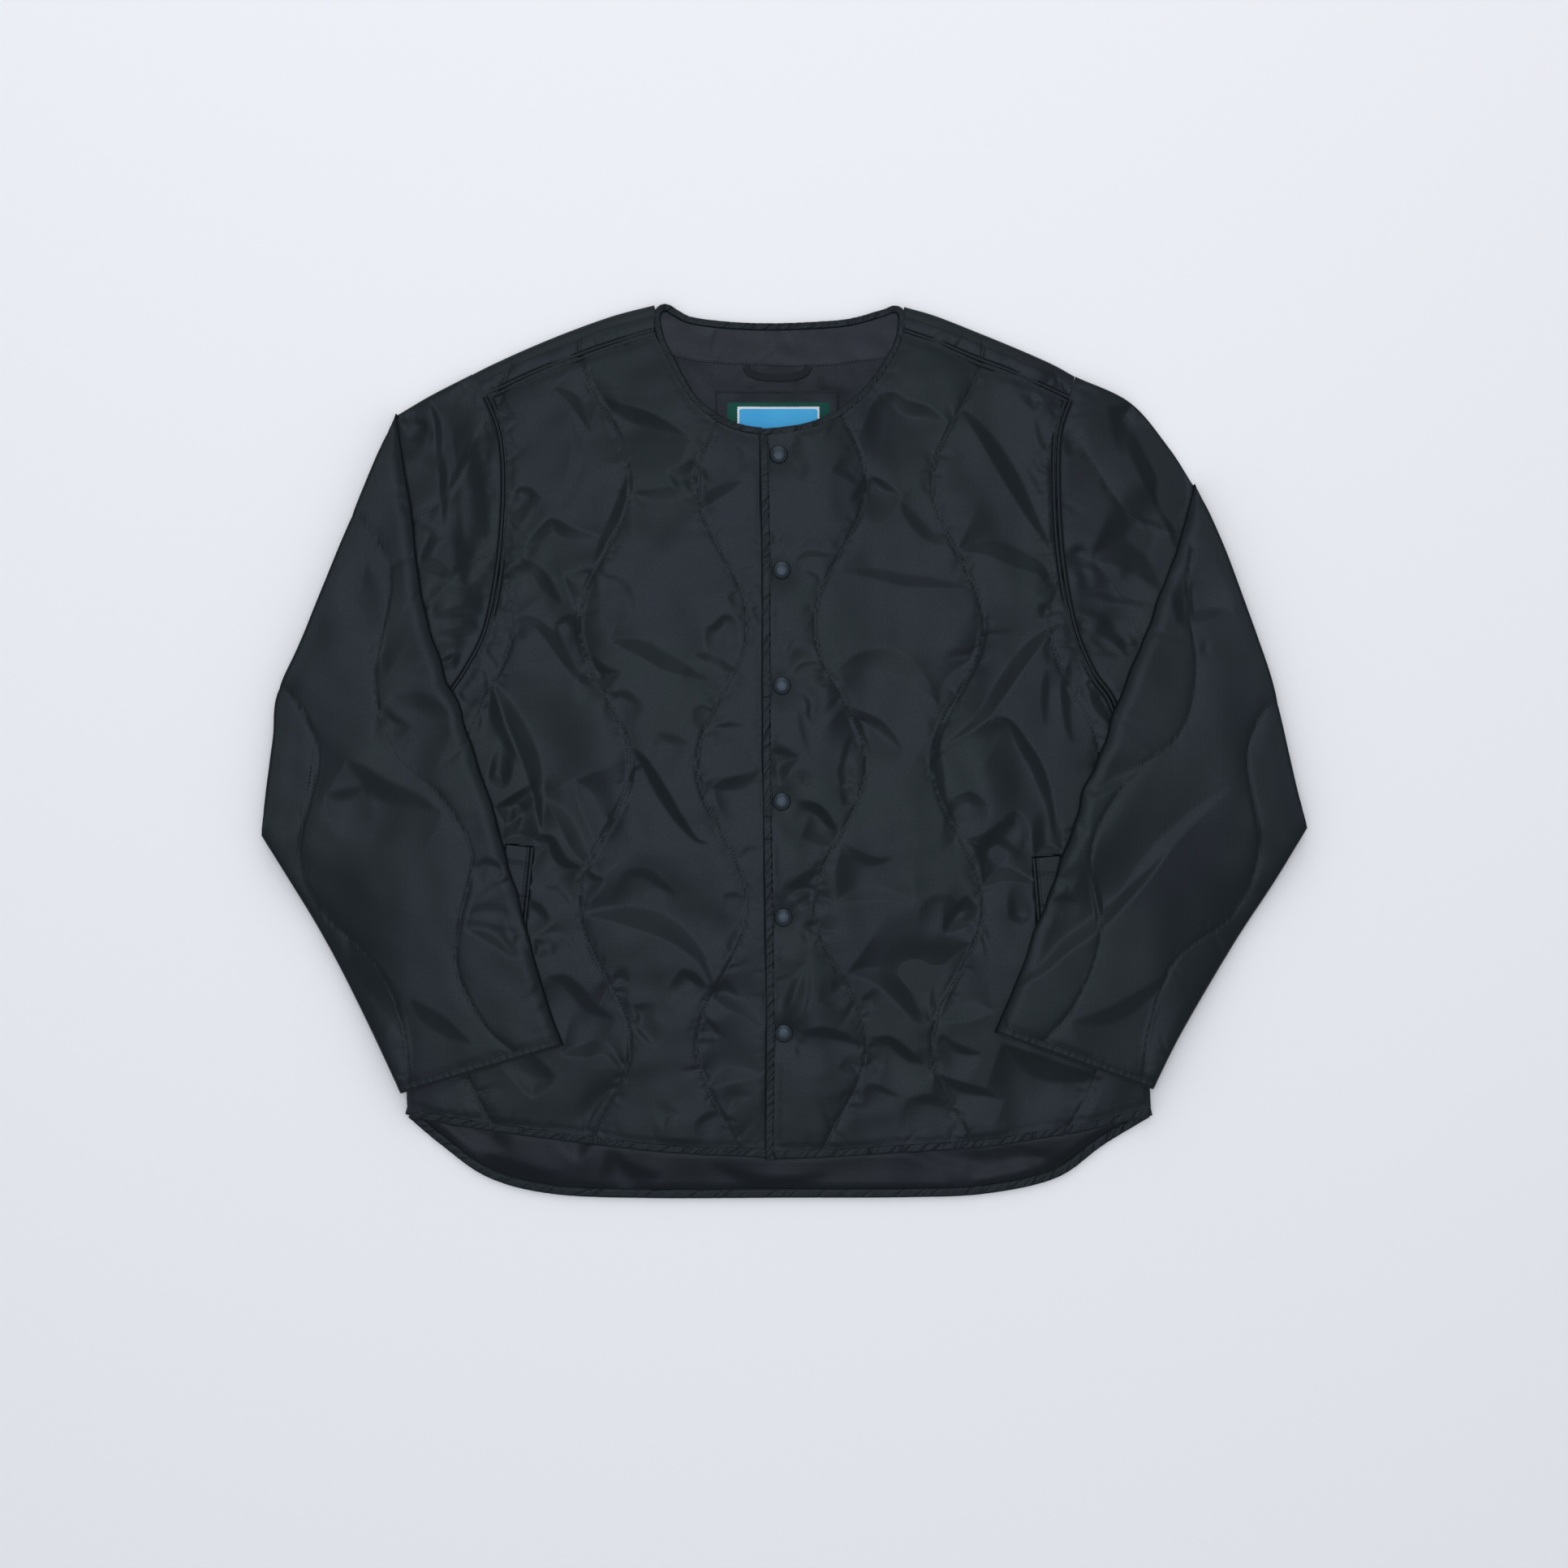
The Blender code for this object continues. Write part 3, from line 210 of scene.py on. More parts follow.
def shifted(curve: Points, distance: float) -> Points:
    """A plane curve moved to its left."""
    return curve + normals(curve) * distance


def ease(value: Points) -> Points:
    """A soft step from 0 to 1."""
    value = np.clip(value, 0, 1)
    return value * value * (3 - 2 * value)


def nearest(points: Points, curve: Points, reach: float) -> tuple[Points, Points, Points]:
    """Measure points against a curve.

    Args:
        points: Plane points.
        curve: A run of straight pieces.
        reach: Distance past which nothing is measured.

    Returns:
        The distance of each point, at most reach, the side that it lies on, 1 for left and
        -1 for right, and the length along the curve where it is nearest.
    """
    away = np.full(len(points), float(reach))
    side, along = np.ones(len(points)), np.zeros(len(points))
    low, high = curve.min(0) - reach, curve.max(0) + reach
    close = np.flatnonzero(((points > low) & (points < high)).all(1))
    start, run = curve[:-1], np.diff(curve, axis=0)
    size = np.linalg.norm(run, axis=1)
    begun = lengths(curve)[:-1]
    for part in np.array_split(close, len(close) * len(start) // CHUNK + 1):
        offset = points[part][:, None] - start
        place = np.clip((offset * run).sum(2) / size ** 2, 0, 1)
        offset = offset - place[..., None] * run
        gap = np.hypot(offset[..., 0], offset[..., 1])
        best, row = gap.argmin(1), np.arange(len(part))
        away[part] = np.minimum(gap[row, best], reach)
        turn = run[best, 0] * offset[row, best, 1] - run[best, 1] * offset[row, best, 0]
        side[part] = np.where(turn >= 0, 1, -1)
        along[part] = begun[best] + place[row, best] * size[best]
    return away, side, along


def least(points: Points, lines: Sequence, reach: float) -> Points:
    """Distance of each point to the nearest of several curves, at most reach.

    Args:
        points: Plane points.
        lines: The curves.
        reach: Distance past which nothing is measured.

    Returns:
        The distances.
    """
    gap = np.full(len(points), float(reach))
    for line in lines:
        gap = np.minimum(gap, nearest(points, line, reach)[0])
    return gap


def closed(loop: Points) -> Points:
    """A loop with its first point again at its end."""
    return np.vstack([loop, loop[:1]])


def constant(level: float) -> Height:
    """A height that is the same everywhere."""
    return lambda points: np.full(len(points), level)


def raised(plan: Points, level: Points | float) -> Points:
    """Plane points with a height added to each."""
    return np.column_stack([plan, np.broadcast_to(level, len(plan))])


def box_corners(box: tuple) -> Points:
    """Corners of a box of low x, low y, high x and high y, in a loop."""
    return np.array([(box[0], box[1]), (box[2], box[1]), (box[2], box[3]), (box[0], box[3])], float)


def inside(points: Points, loop: Points) -> Points:
    """Tell which points lie inside a closed loop.

    Args:
        points: Plane points.
        loop: The corners, without the first one again at the end.

    Returns:
        True for each point that is inside.
    """
    ahead = np.roll(loop, -1, 0)
    rise = np.where(ahead[:, 1] == loop[:, 1], 1e-9, ahead[:, 1] - loop[:, 1])
    found = np.zeros(len(points), bool)
    for part in np.array_split(np.arange(len(points)), len(points) * len(loop) // CHUNK + 1):
        x, y = points[part, 0, None], points[part, 1, None]
        spans = (loop[:, 1] > y) != (ahead[:, 1] > y)
        left = x < (ahead[:, 0] - loop[:, 0]) * (y - loop[:, 1]) / rise + loop[:, 0]
        found[part] = (spans & left).sum(1) % 2 == 1
    return found


def area_of(loop: Points) -> float:
    """Area of a closed loop, in square metres."""
    ahead = np.roll(loop, -1, 0)
    return abs((loop[:, 0] * ahead[:, 1] - ahead[:, 0] * loop[:, 1]).sum()) / 2 * MM ** 2


def quilted(points: Points, gap: Points, edge: Points, full: float, seed: int) -> Points:
    """Thickness of padded cloth.

    Args:
        points: Plane points.
        gap: Their distances to the nearest row of quilting.
        edge: Their distances to the nearest sewn edge.
        full: Thickness of the crown.
        seed: For how hard each stretch of a row is pulled down.

    Returns:
        The thickness at each point.
    """
    pull = ease(0.5 + 0.45 * Ripple(PULL_LENGTH, 1.0, seed).wave(points))
    thick = full - CROWN_RISE * (1 - np.clip(gap / PUFF_REACH, 0, 1)) ** 2
    thick = thick - ROW_NOTCH * np.exp(-gap / NOTCH_WIDTH)
    thick = thick - ROW_PULL * pull * np.exp(-(gap / PULL_WIDTH) ** 2)
    return thick - EDGE_DROP * (1 - ease(edge / EDGE_REACH)) ** 1.5


def quilt_row(index: int) -> Points:
    """One wavy row of quilting, from below the hem to above the shoulders.

    Args:
        index: The row's number, from the wearer's right.

    Returns:
        The row's points.
    """
    y = np.arange(*QUILT_SPAN)
    sign = 1 if index % 2 else -1
    swing = sign * QUILT_SWING * np.cos(2 * math.pi * (y - QUILT_TOP) / QUILT_PERIOD)
    return np.column_stack([QUILT_FIRST + QUILT_PITCH * index + swing, y])


# ============================ relief of the cloth ============================

CREASE_STEP = 2.0         # from point to point along a crease
CREASE_RUN = 64.0         # longest run-out past its step
CREASE_FADE = 4.0         # run-out for each millimetre of its width
CREASE_TIP = 0.6          # width of the step at its pointed ends
CREASE_ROUND = 1.2        # above 1, the falling plane levels out softly
CREASE_SWELL = 0.85       # below 1, it is widest before the middle of its path
PUCKER_LIMIT = 1.6        # a little past the longest pucker, in reaches
WAVES = 16                # in each ripple


@dataclass(frozen=True)
class Crease:
    """A step in the cloth, crisp at its line and pointed at both ends, with a slow run-out."""

    path: tuple
    width: float
    depth: float
    lean: int = 1              # 1 where the step drops to the left of the path, and -1 to the right

    def at(self, points: Points) -> Points:
        """Height that the crease adds at each point.

        Args:
            points: Plane points.

        Returns:
            The heights, 0 or less.
        """
        curve = spline(self.path, CREASE_STEP)
        away, side, along = nearest(points, curve, self.width + CREASE_RUN + 1.0)
        chord = curve[-1] - curve[0]
        far = ease(away / self.width)
        by_length = along / lengths(curve)[-1]
        by_chord = (points - curve[0]) @ chord / (chord @ chord)
        share = by_length * (1 - far) + by_chord * far
        swell = np.sin(math.pi * np.clip(share, 0, 1) ** CREASE_SWELL)
        offset = np.where(side * self.lean > 0, away, 0.0)
        plane = self.width * swell + CREASE_TIP
        drop = 1 - (1 - np.clip(offset / plane, 0, 1)) ** CREASE_ROUND
        out = 1 - ease((offset - plane) / min(CREASE_FADE * self.width, CREASE_RUN))
        return -self.depth * swell * drop * out


def creases(*rows: tuple) -> tuple:
    """Creases from rows of width, depth, lean and the points of the path."""
    return tuple(Crease(tuple(path), width, depth, lean) for width, depth, lean, *path in rows)


@dataclass(frozen=True)
class Puckers:
    """Short creases that start at a row of stitches and fan out from it."""

    curve: Points
    pitch: float
    reach: float
    depth: float
    seed: int
    sides: tuple = (-1, 1)
    width: float = 1.9

    def at(self, points: Points) -> Points:
        """Height that the puckers add at each point.

        Args:
            points: Plane points.

        Returns:
            The heights.
        """
        rng = np.random.default_rng(self.seed)
        limit = PUCKER_LIMIT * self.reach
        away, side, along = nearest(points, self.curve, limit)
        end = lengths(self.curve)[-1]
        count = max(1, int(end / self.pitch))
        result = np.zeros(len(points))
        for way in self.sides:
            near = np.flatnonzero((side == way) & (away < limit))
            place, off = along[near], away[near]
            starts = (np.arange(count) + rng.uniform(0.05, 0.95, count)) * end / count
            long = self.reach * rng.uniform(0.4, 1.5, count)
            deep = self.depth * rng.uniform(0.1, 1.0, count) ** 1.5
            lean = rng.normal(0, 0.5, count)
            wide = 1.5 * self.width * rng.uniform(0.7, 1.6, count)
            skew = rng.uniform(-0.6, 0.6, count)
            dips = np.zeros(len(near))
            for start, reach, depth, slope, width, tilt in zip(starts, long, deep, lean, wide, skew):
                spread = width * (0.7 + off / reach)
                offset = (place - start - slope * off) / spread
                shape = np.maximum(1 - np.abs(offset) * (1 + tilt * np.sign(offset)), 0)
                fade = np.clip(1 - off / reach, 0, 1) * (0.3 + 0.7 * ease(off / 4))
                dips = np.minimum(dips, -depth * shape * fade)
            result[near] += dips
        return result


@dataclass(frozen=True)
class Ripple:
    """Low waves in no order: slow cosines in many directions."""

    length: float
    height: float
    seed: int

    def wave(self, points: Points) -> Points:
        """The waves at each point, mostly between -1 and 1.

        Args:
            points: Plane points.

        Returns:
            The waves.
        """
        rng = np.random.default_rng(self.seed)
        heading, phase = rng.uniform(0, 2 * math.pi, (2, WAVES))
        pace = 2 * math.pi / (self.length * rng.uniform(0.7, 1.6, WAVES))
        run = points @ (np.array([np.cos(heading), np.sin(heading)]) * pace)
        return np.cos(run + phase).sum(1) / math.sqrt(WAVES / 2)

    def at(self, points: Points) -> Points:
        """Height that the waves add at each point."""
        return self.height * self.wave(points)


def total(relief: Sequence, points: Points) -> Points:
    """Sum of several kinds of relief at each point."""
    return sum((part.at(points) for part in relief), np.zeros(len(points)))


def held(points: Points, relief: Sequence, gap: Points) -> Points:
    """Relief of padded cloth, held down where its gap to a row or edge is small."""
    return total(relief, points) * (HELD_SHARE + (1 - HELD_SHARE) * ease(gap / HELD_REACH))


# ============================ the cut of the cloth ============================

@dataclass(frozen=True)
class SideCut:
    """The edges and creases of one side of the jacket."""

    shoulder_top: tuple
    shoulder_seam: tuple
    armhole: tuple
    side_seam: tuple
    front_hem: tuple
    neck: tuple
    overarm_low: tuple
    underarm_low: tuple
    fold: tuple
    overarm_up: tuple
    underarm_up: tuple
    rows_up: tuple
    rows_low: tuple
    welt: tuple
    front_creases: tuple
    sleeve_creases: tuple
    cap_creases: tuple


RIGHT = SideCut(
    shoulder_top=((-107.3, 364.7), (-140.7, 356.0), (-178.0, 342.7), (-210.7, 329.3), (-240.0, 316.0),
                  (-256.0, 308.0)),
    shoulder_seam=((-107.5, 341.5), (-124.7, 336.6), (-151.3, 328.0), (-178.0, 318.0), (-204.7, 307.6),
                   (-231.3, 295.3), (-243.5, 290.0)),
    armhole=((-243.5, 290.0), (-232.0, 259.3), (-228.7, 216.0), (-232.7, 156.0), (-243.3, 99.3),
             (-259.3, 66.0), (-276.7, 39.3), (-286.7, 12.7)),
    side_seam=((-286.7, 12.7), (-298.0, -50.7), (-306.0, -184.0), (-309.3, -280.7), (-309.0, -292.0)),
    front_hem=((-309.0, -292.0), (-280.0, -299.3), (-202.7, -310.7), (-102.7, -322.7), (-16.0, -327.3),
               (16.7, -328.0)),
    neck=((-107.5, 341.5), (-97.3, 322.7), (-83.3, 296.0), (-73.3, 282.7), (-58.0, 270.7),
          (-41.3, 262.7), (-21.3, 258.7), (16.7, 257.0)),
    overarm_low=((-256.0, 308.0), (-291.3, 290.3), (-318.0, 274.7)),
    underarm_low=((-286.7, 12.7), (-358.0, -30.7), (-427.3, -70.7)),
    fold=((-318.0, 274.7), (-340.7, 222.7), (-368.0, 156.0), (-396.7, 86.0), (-414.7, 45.3),
          (-418.0, 9.3), (-423.3, -30.7), (-427.3, -70.7)),
    overarm_up=((-318.0, 274.7), (-306.0, 196.0), (-294.7, 116.0), (-276.0, 59.3), (-251.3, -10.7),
                (-228.0, -84.0), (-208.0, -157.3), (-192.7, -210.7), (-180.7, -241.3)),
    underarm_up=((-427.3, -70.7), (-403.3, -110.7), (-372.0, -164.0), (-340.0, -226.0), (-314.0, -280.7)),
    rows_up=(((-350.7, 197.3), (-322.0, 142.7), (-334.0, 56.0), (-318.0, -0.7), (-278.0, -42.7),
              (-255.3, -87.3), (-264.7, -140.7), (-266.7, -180.7), (-244.7, -225.3), (-221.3, -246.0)),
             ((-406.7, 52.7), (-380.0, -4.0), (-396.0, -80.7), (-381.3, -127.3), (-334.7, -174.0),
              (-311.3, -224.0), (-306.0, -274.0))),
    rows_low=(((-244.7, 269.3), (-264.7, 229.3), (-281.3, 204.0), (-304.7, 189.3), (-342.0, 172.0)),
              ((-236.7, 160.7), (-268.0, 146.0), (-290.0, 122.7), (-330.0, 92.0), (-385.0, 70.0))),
    welt=((-206.0, -79.0), (-222.0, -232.0)),
    front_creases=creases(
        (8, 2.6, 1, (-190, 297), (-177, 285), (-168, 272), (-159, 259)),
        (13.6, 4, -1, (-150, 288), (-120, 280), (-98, 270), (-76, 255)),
        (4, 1, 1, (-161, 292), (-152, 276), (-145, 265)),
        (9, 1.2, 1, (-177, 276), (-174, 250), (-178, 225), (-186, 198)),
        (11.9, 3.5, -1, (-213, 167), (-200, 184), (-190, 190), (-172, 182), (-150, 174)),
        (8, 2.2, -1, (-218, 216), (-207, 214), (-200, 206)),
        (3, 0.7, 1, (-203, 210), (-212, 190), (-218, 178)),
        (12, 3.3, -1, (-217, 157), (-203, 153), (-193, 142), (-182, 119)),
        (6, 1.5, -1, (-190, 103), (-180, 110), (-171, 109)),
        (8, 3.1, -1, (-127, 228), (-129, 212), (-134, 192), (-146, 170), (-157, 150)),
        (11.9, 2.3, -1, (-124, 212), (-110, 214), (-92, 216), (-78, 212), (-71, 210)),
        (10, 1.8, -1, (-97, 228), (-82, 235), (-71, 241)),
        (9, 2.8, 1, (-70, 198), (-55, 205), (-44, 212), (-33, 221)),
        (4, 0.7, 1, (-40, 250), (-37, 240), (-47, 228)),
        (7, 1.1, -1, (-151, 143), (-137, 143), (-125, 132), (-121, 110)),
        (3, 1, -1, (-44, 144), (-35, 150), (-20, 152)), (3, 0.9, -1, (-47, 126), (-42, 130), (-36, 131)),
        (3, 0.9, -1, (-33, 127), (-24, 132)),
        (7, 2.3, -1, (-66, 99), (-58, 104), (-50, 111), (-42, 109), (-35, 101)),
        (4, 1.1, -1, (-28, 116), (-19, 120)), (4, 0.7, 1, (-31, 84), (-19, 92)),
        (10, 1.7, -1, (-181, 144), (-168, 148), (-157, 151)),
        (10, 3.3, 1, (-216, 110), (-203, 99), (-187, 78), (-173, 60), (-156, 51)),
        (14.4, 3.8, 1, (-144, 89), (-120, 77), (-100, 66), (-82, 61), (-63, 57)),
        (8, 1.9, -1, (-76, 79), (-60, 79), (-45, 71), (-29, 57)),
        (8, 1.8, -1, (-158, 78), (-148, 69), (-134, 64)), (7, 1.4, -1, (-144, 47), (-130, 49), (-115, 37)),
        (4, 1.1, -1, (-75, 35), (-65, 37), (-55, 30), (-47, 33)),
        (5, 1.3, -1, (-59, 20), (-45, 23), (-29, 20)), (8, 1.1, -1, (-106, 15), (-90, 12), (-75, 5)),
        (11.9, 3.3, -1, (-60, -32), (-50, -24), (-35, -20), (-17, -15)),
        (5, 1, 1, (-69, -28), (-67, -42), (-59, -46)),
        (9, 3.8, -1, (-125, 2), (-112, -9), (-98, -30), (-84, -54), (-72, -72), (-60, -77)),
        (15.3, 5, 1, (-241, 58), (-228, 22), (-215, -10), (-205, -42), (-199, -68)),
        (5, 1.6, 1, (-208, -20), (-204, -50), (-200, -70)),
        (12.8, 3.3, 1, (-196, -40), (-184, -64), (-172, -86), (-152, -104)),
        (13, 2.6, 1, (-173, -25), (-168, -45), (-159, -67), (-152, -79)),
        (5, 1.3, -1, (-163, -97), (-146, -107)),
        (8, 3.5, -1, (-201, -68), (-189, -72), (-179, -89), (-165, -98)),
        (6, 2.7, 1, (-232, -77), (-200, -78)), (8, 2.8, 1, (-243, -25), (-233, -31), (-225, -28)),
        (10, 3.3, 1, (-238, -48), (-228, -62)), (6, 1.8, 1, (-221, -44), (-219, -66)),
        (4, 1, 1, (-249, 78), (-246, 45), (-249, 6)),
        (9, 1.8, -1, (-240, 57), (-233, 30), (-222, 2), (-215, -12)),
        (19.6, 5.2, 1, (-164, -136), (-140, -141), (-115, -149), (-90, -160), (-72, -174), (-59, -193)),
        (7, 2.3, -1, (-84, -179), (-72, -184), (-62, -196)),
        (6, 1.5, 1, (-52, -176), (-42, -160), (-33, -140), (-31, -122)),
        (5, 1.1, -1, (-41, -89), (-33, -80), (-25, -78), (-18, -83)),
        (4, 0.9, -1, (-51, -118), (-40, -116), (-31, -120)),
        (8, 1.1, -1, (-131, -98), (-112, -98), (-97, -110), (-87, -119)),
        (5, 1.1, 1, (-198, -112), (-185, -118), (-174, -131)),
        (7, 1.8, -1, (-208, -122), (-198, -128), (-191, -141)),
        (5, 0.8, 1, (-205, -152), (-197, -160), (-192, -171)), (4, 1.5, 1, (-206, -155), (-205, -171)),
        (6, 1, 1, (-196, -150), (-181, -160), (-169, -173)),
        (11, 2.1, -1, (-196, -186), (-180, -184), (-165, -195), (-155, -208), (-138, -221)),
        (11.9, 3.3, 1, (-183, -250), (-165, -252), (-148, -250), (-133, -261)),
        (4, 1.4, 1, (-126, -224), (-118, -235), (-106, -244)), (4, 1.1, 1, (-125, -210), (-120, -226)),
        (3, 1, 1, (-141, -191), (-127, -192)), (13, 3.5, 1, (-63, -201), (-45, -213), (-17, -229)),
        (8, 1.5, -1, (-53, -185), (-43, -192), (-35, -206)),
        (13, 3.1, 1, (-64, -278), (-45, -273), (-17, -267)),
        (5, 1.2, -1, (-75, -307), (-66, -298), (-55, -296), (-45, -300)),
        (4, 1.1, 1, (-46, -299), (-35, -288), (-26, -285)),
        (3, 0.9, 1, (-73, -235), (-62, -235), (-54, -239)),
        (4, 0.7, 1, (-99, -311), (-93, -302), (-84, -300)),
        (4, 1.3, 1, (-163, -312), (-150, -292), (-137, -274)),
        (10, 2.1, 1, (-206, -286), (-192, -276), (-187, -266)),
    ),
    sleeve_creases=creases(
        (23.8, 1.2, -1, (-373, 140), (-355, 150), (-340, 154)), (10, 0.9, 1, (-345, 72), (-325, 60)),
        (15.3, 2.2, -1, (-322, 45), (-300, 48), (-282, 40), (-268, 24)),
        (6, 1.6, -1, (-327, 36), (-316, 27), (-305, 19)),
        (18.7, 3.1, -1, (-358, -9), (-342, -13), (-325, -24), (-300, -35), (-278, -52)),
        (9, 1.5, -1, (-376, -37), (-360, -32), (-340, -29)),
        (5, 1.6, -1, (-256, -94), (-243, -88), (-229, -95)), (4, 1.1, 1, (-234, -107), (-225, -101)),
        (9, 2.1, 1, (-258, -136), (-243, -140), (-228, -143), (-212, -147)),
        (7, 2.6, 1, (-262, -146), (-240, -158), (-225, -168), (-211, -169)),
        (4, 1.3, 1, (-222, -158), (-210, -150)),
        (20, 2.4, -1, (-356, -145), (-334, -171), (-316, -199), (-310, -236)),
        (13.6, 2.1, -1, (-305, -203), (-280, -216), (-254, -240)),
    ),
    cap_creases=creases(
        (9, 4, 1, (-292, 286), (-288, 272), (-286, 250), (-284, 230), (-282, 205), (-279, 178)),
        (8, 3.1, -1, (-318, 274), (-306, 272), (-292, 270)),
        (4, 1.1, 1, (-314, 271), (-300, 260), (-290, 253)),
        (13.6, 2.1, 1, (-314, 255), (-300, 237), (-288, 230)),
        (5, 1.1, 1, (-290, 252), (-290, 238), (-286, 228)),
        (5, 1.5, 1, (-303, 186), (-292, 178), (-281, 175)),
        (13.6, 4.5, 1, (-301, 152), (-290, 146), (-277, 139), (-262, 137)),
        (9, 3.5, 1, (-289, 108), (-275, 107), (-262, 110), (-246, 111)),
        (4.5, 2, 1, (-286, 95), (-270, 93), (-262, 95), (-250, 97)),
        (2.5, 0.7, 1, (-284, 87), (-264, 85)), (2.5, 0.7, 1, (-280, 82), (-262, 82)),
        (4, 1.6, 1, (-278, 68), (-268, 66)), (5, 1.6, 1, (-286, 72), (-283, 65)),
        (5, 1.2, 1, (-255, 258), (-246, 250), (-237, 246)),
        (4, 1.1, 1, (-244, 236), (-240, 242), (-233, 243)), (5, 1.1, 1, (-252, 150), (-240, 143)),
        (4, 0.9, 1, (-258, 135), (-241, 133)), (17, 1.8, 1, (-262, 168), (-250, 165), (-240, 170)),
    ),
)

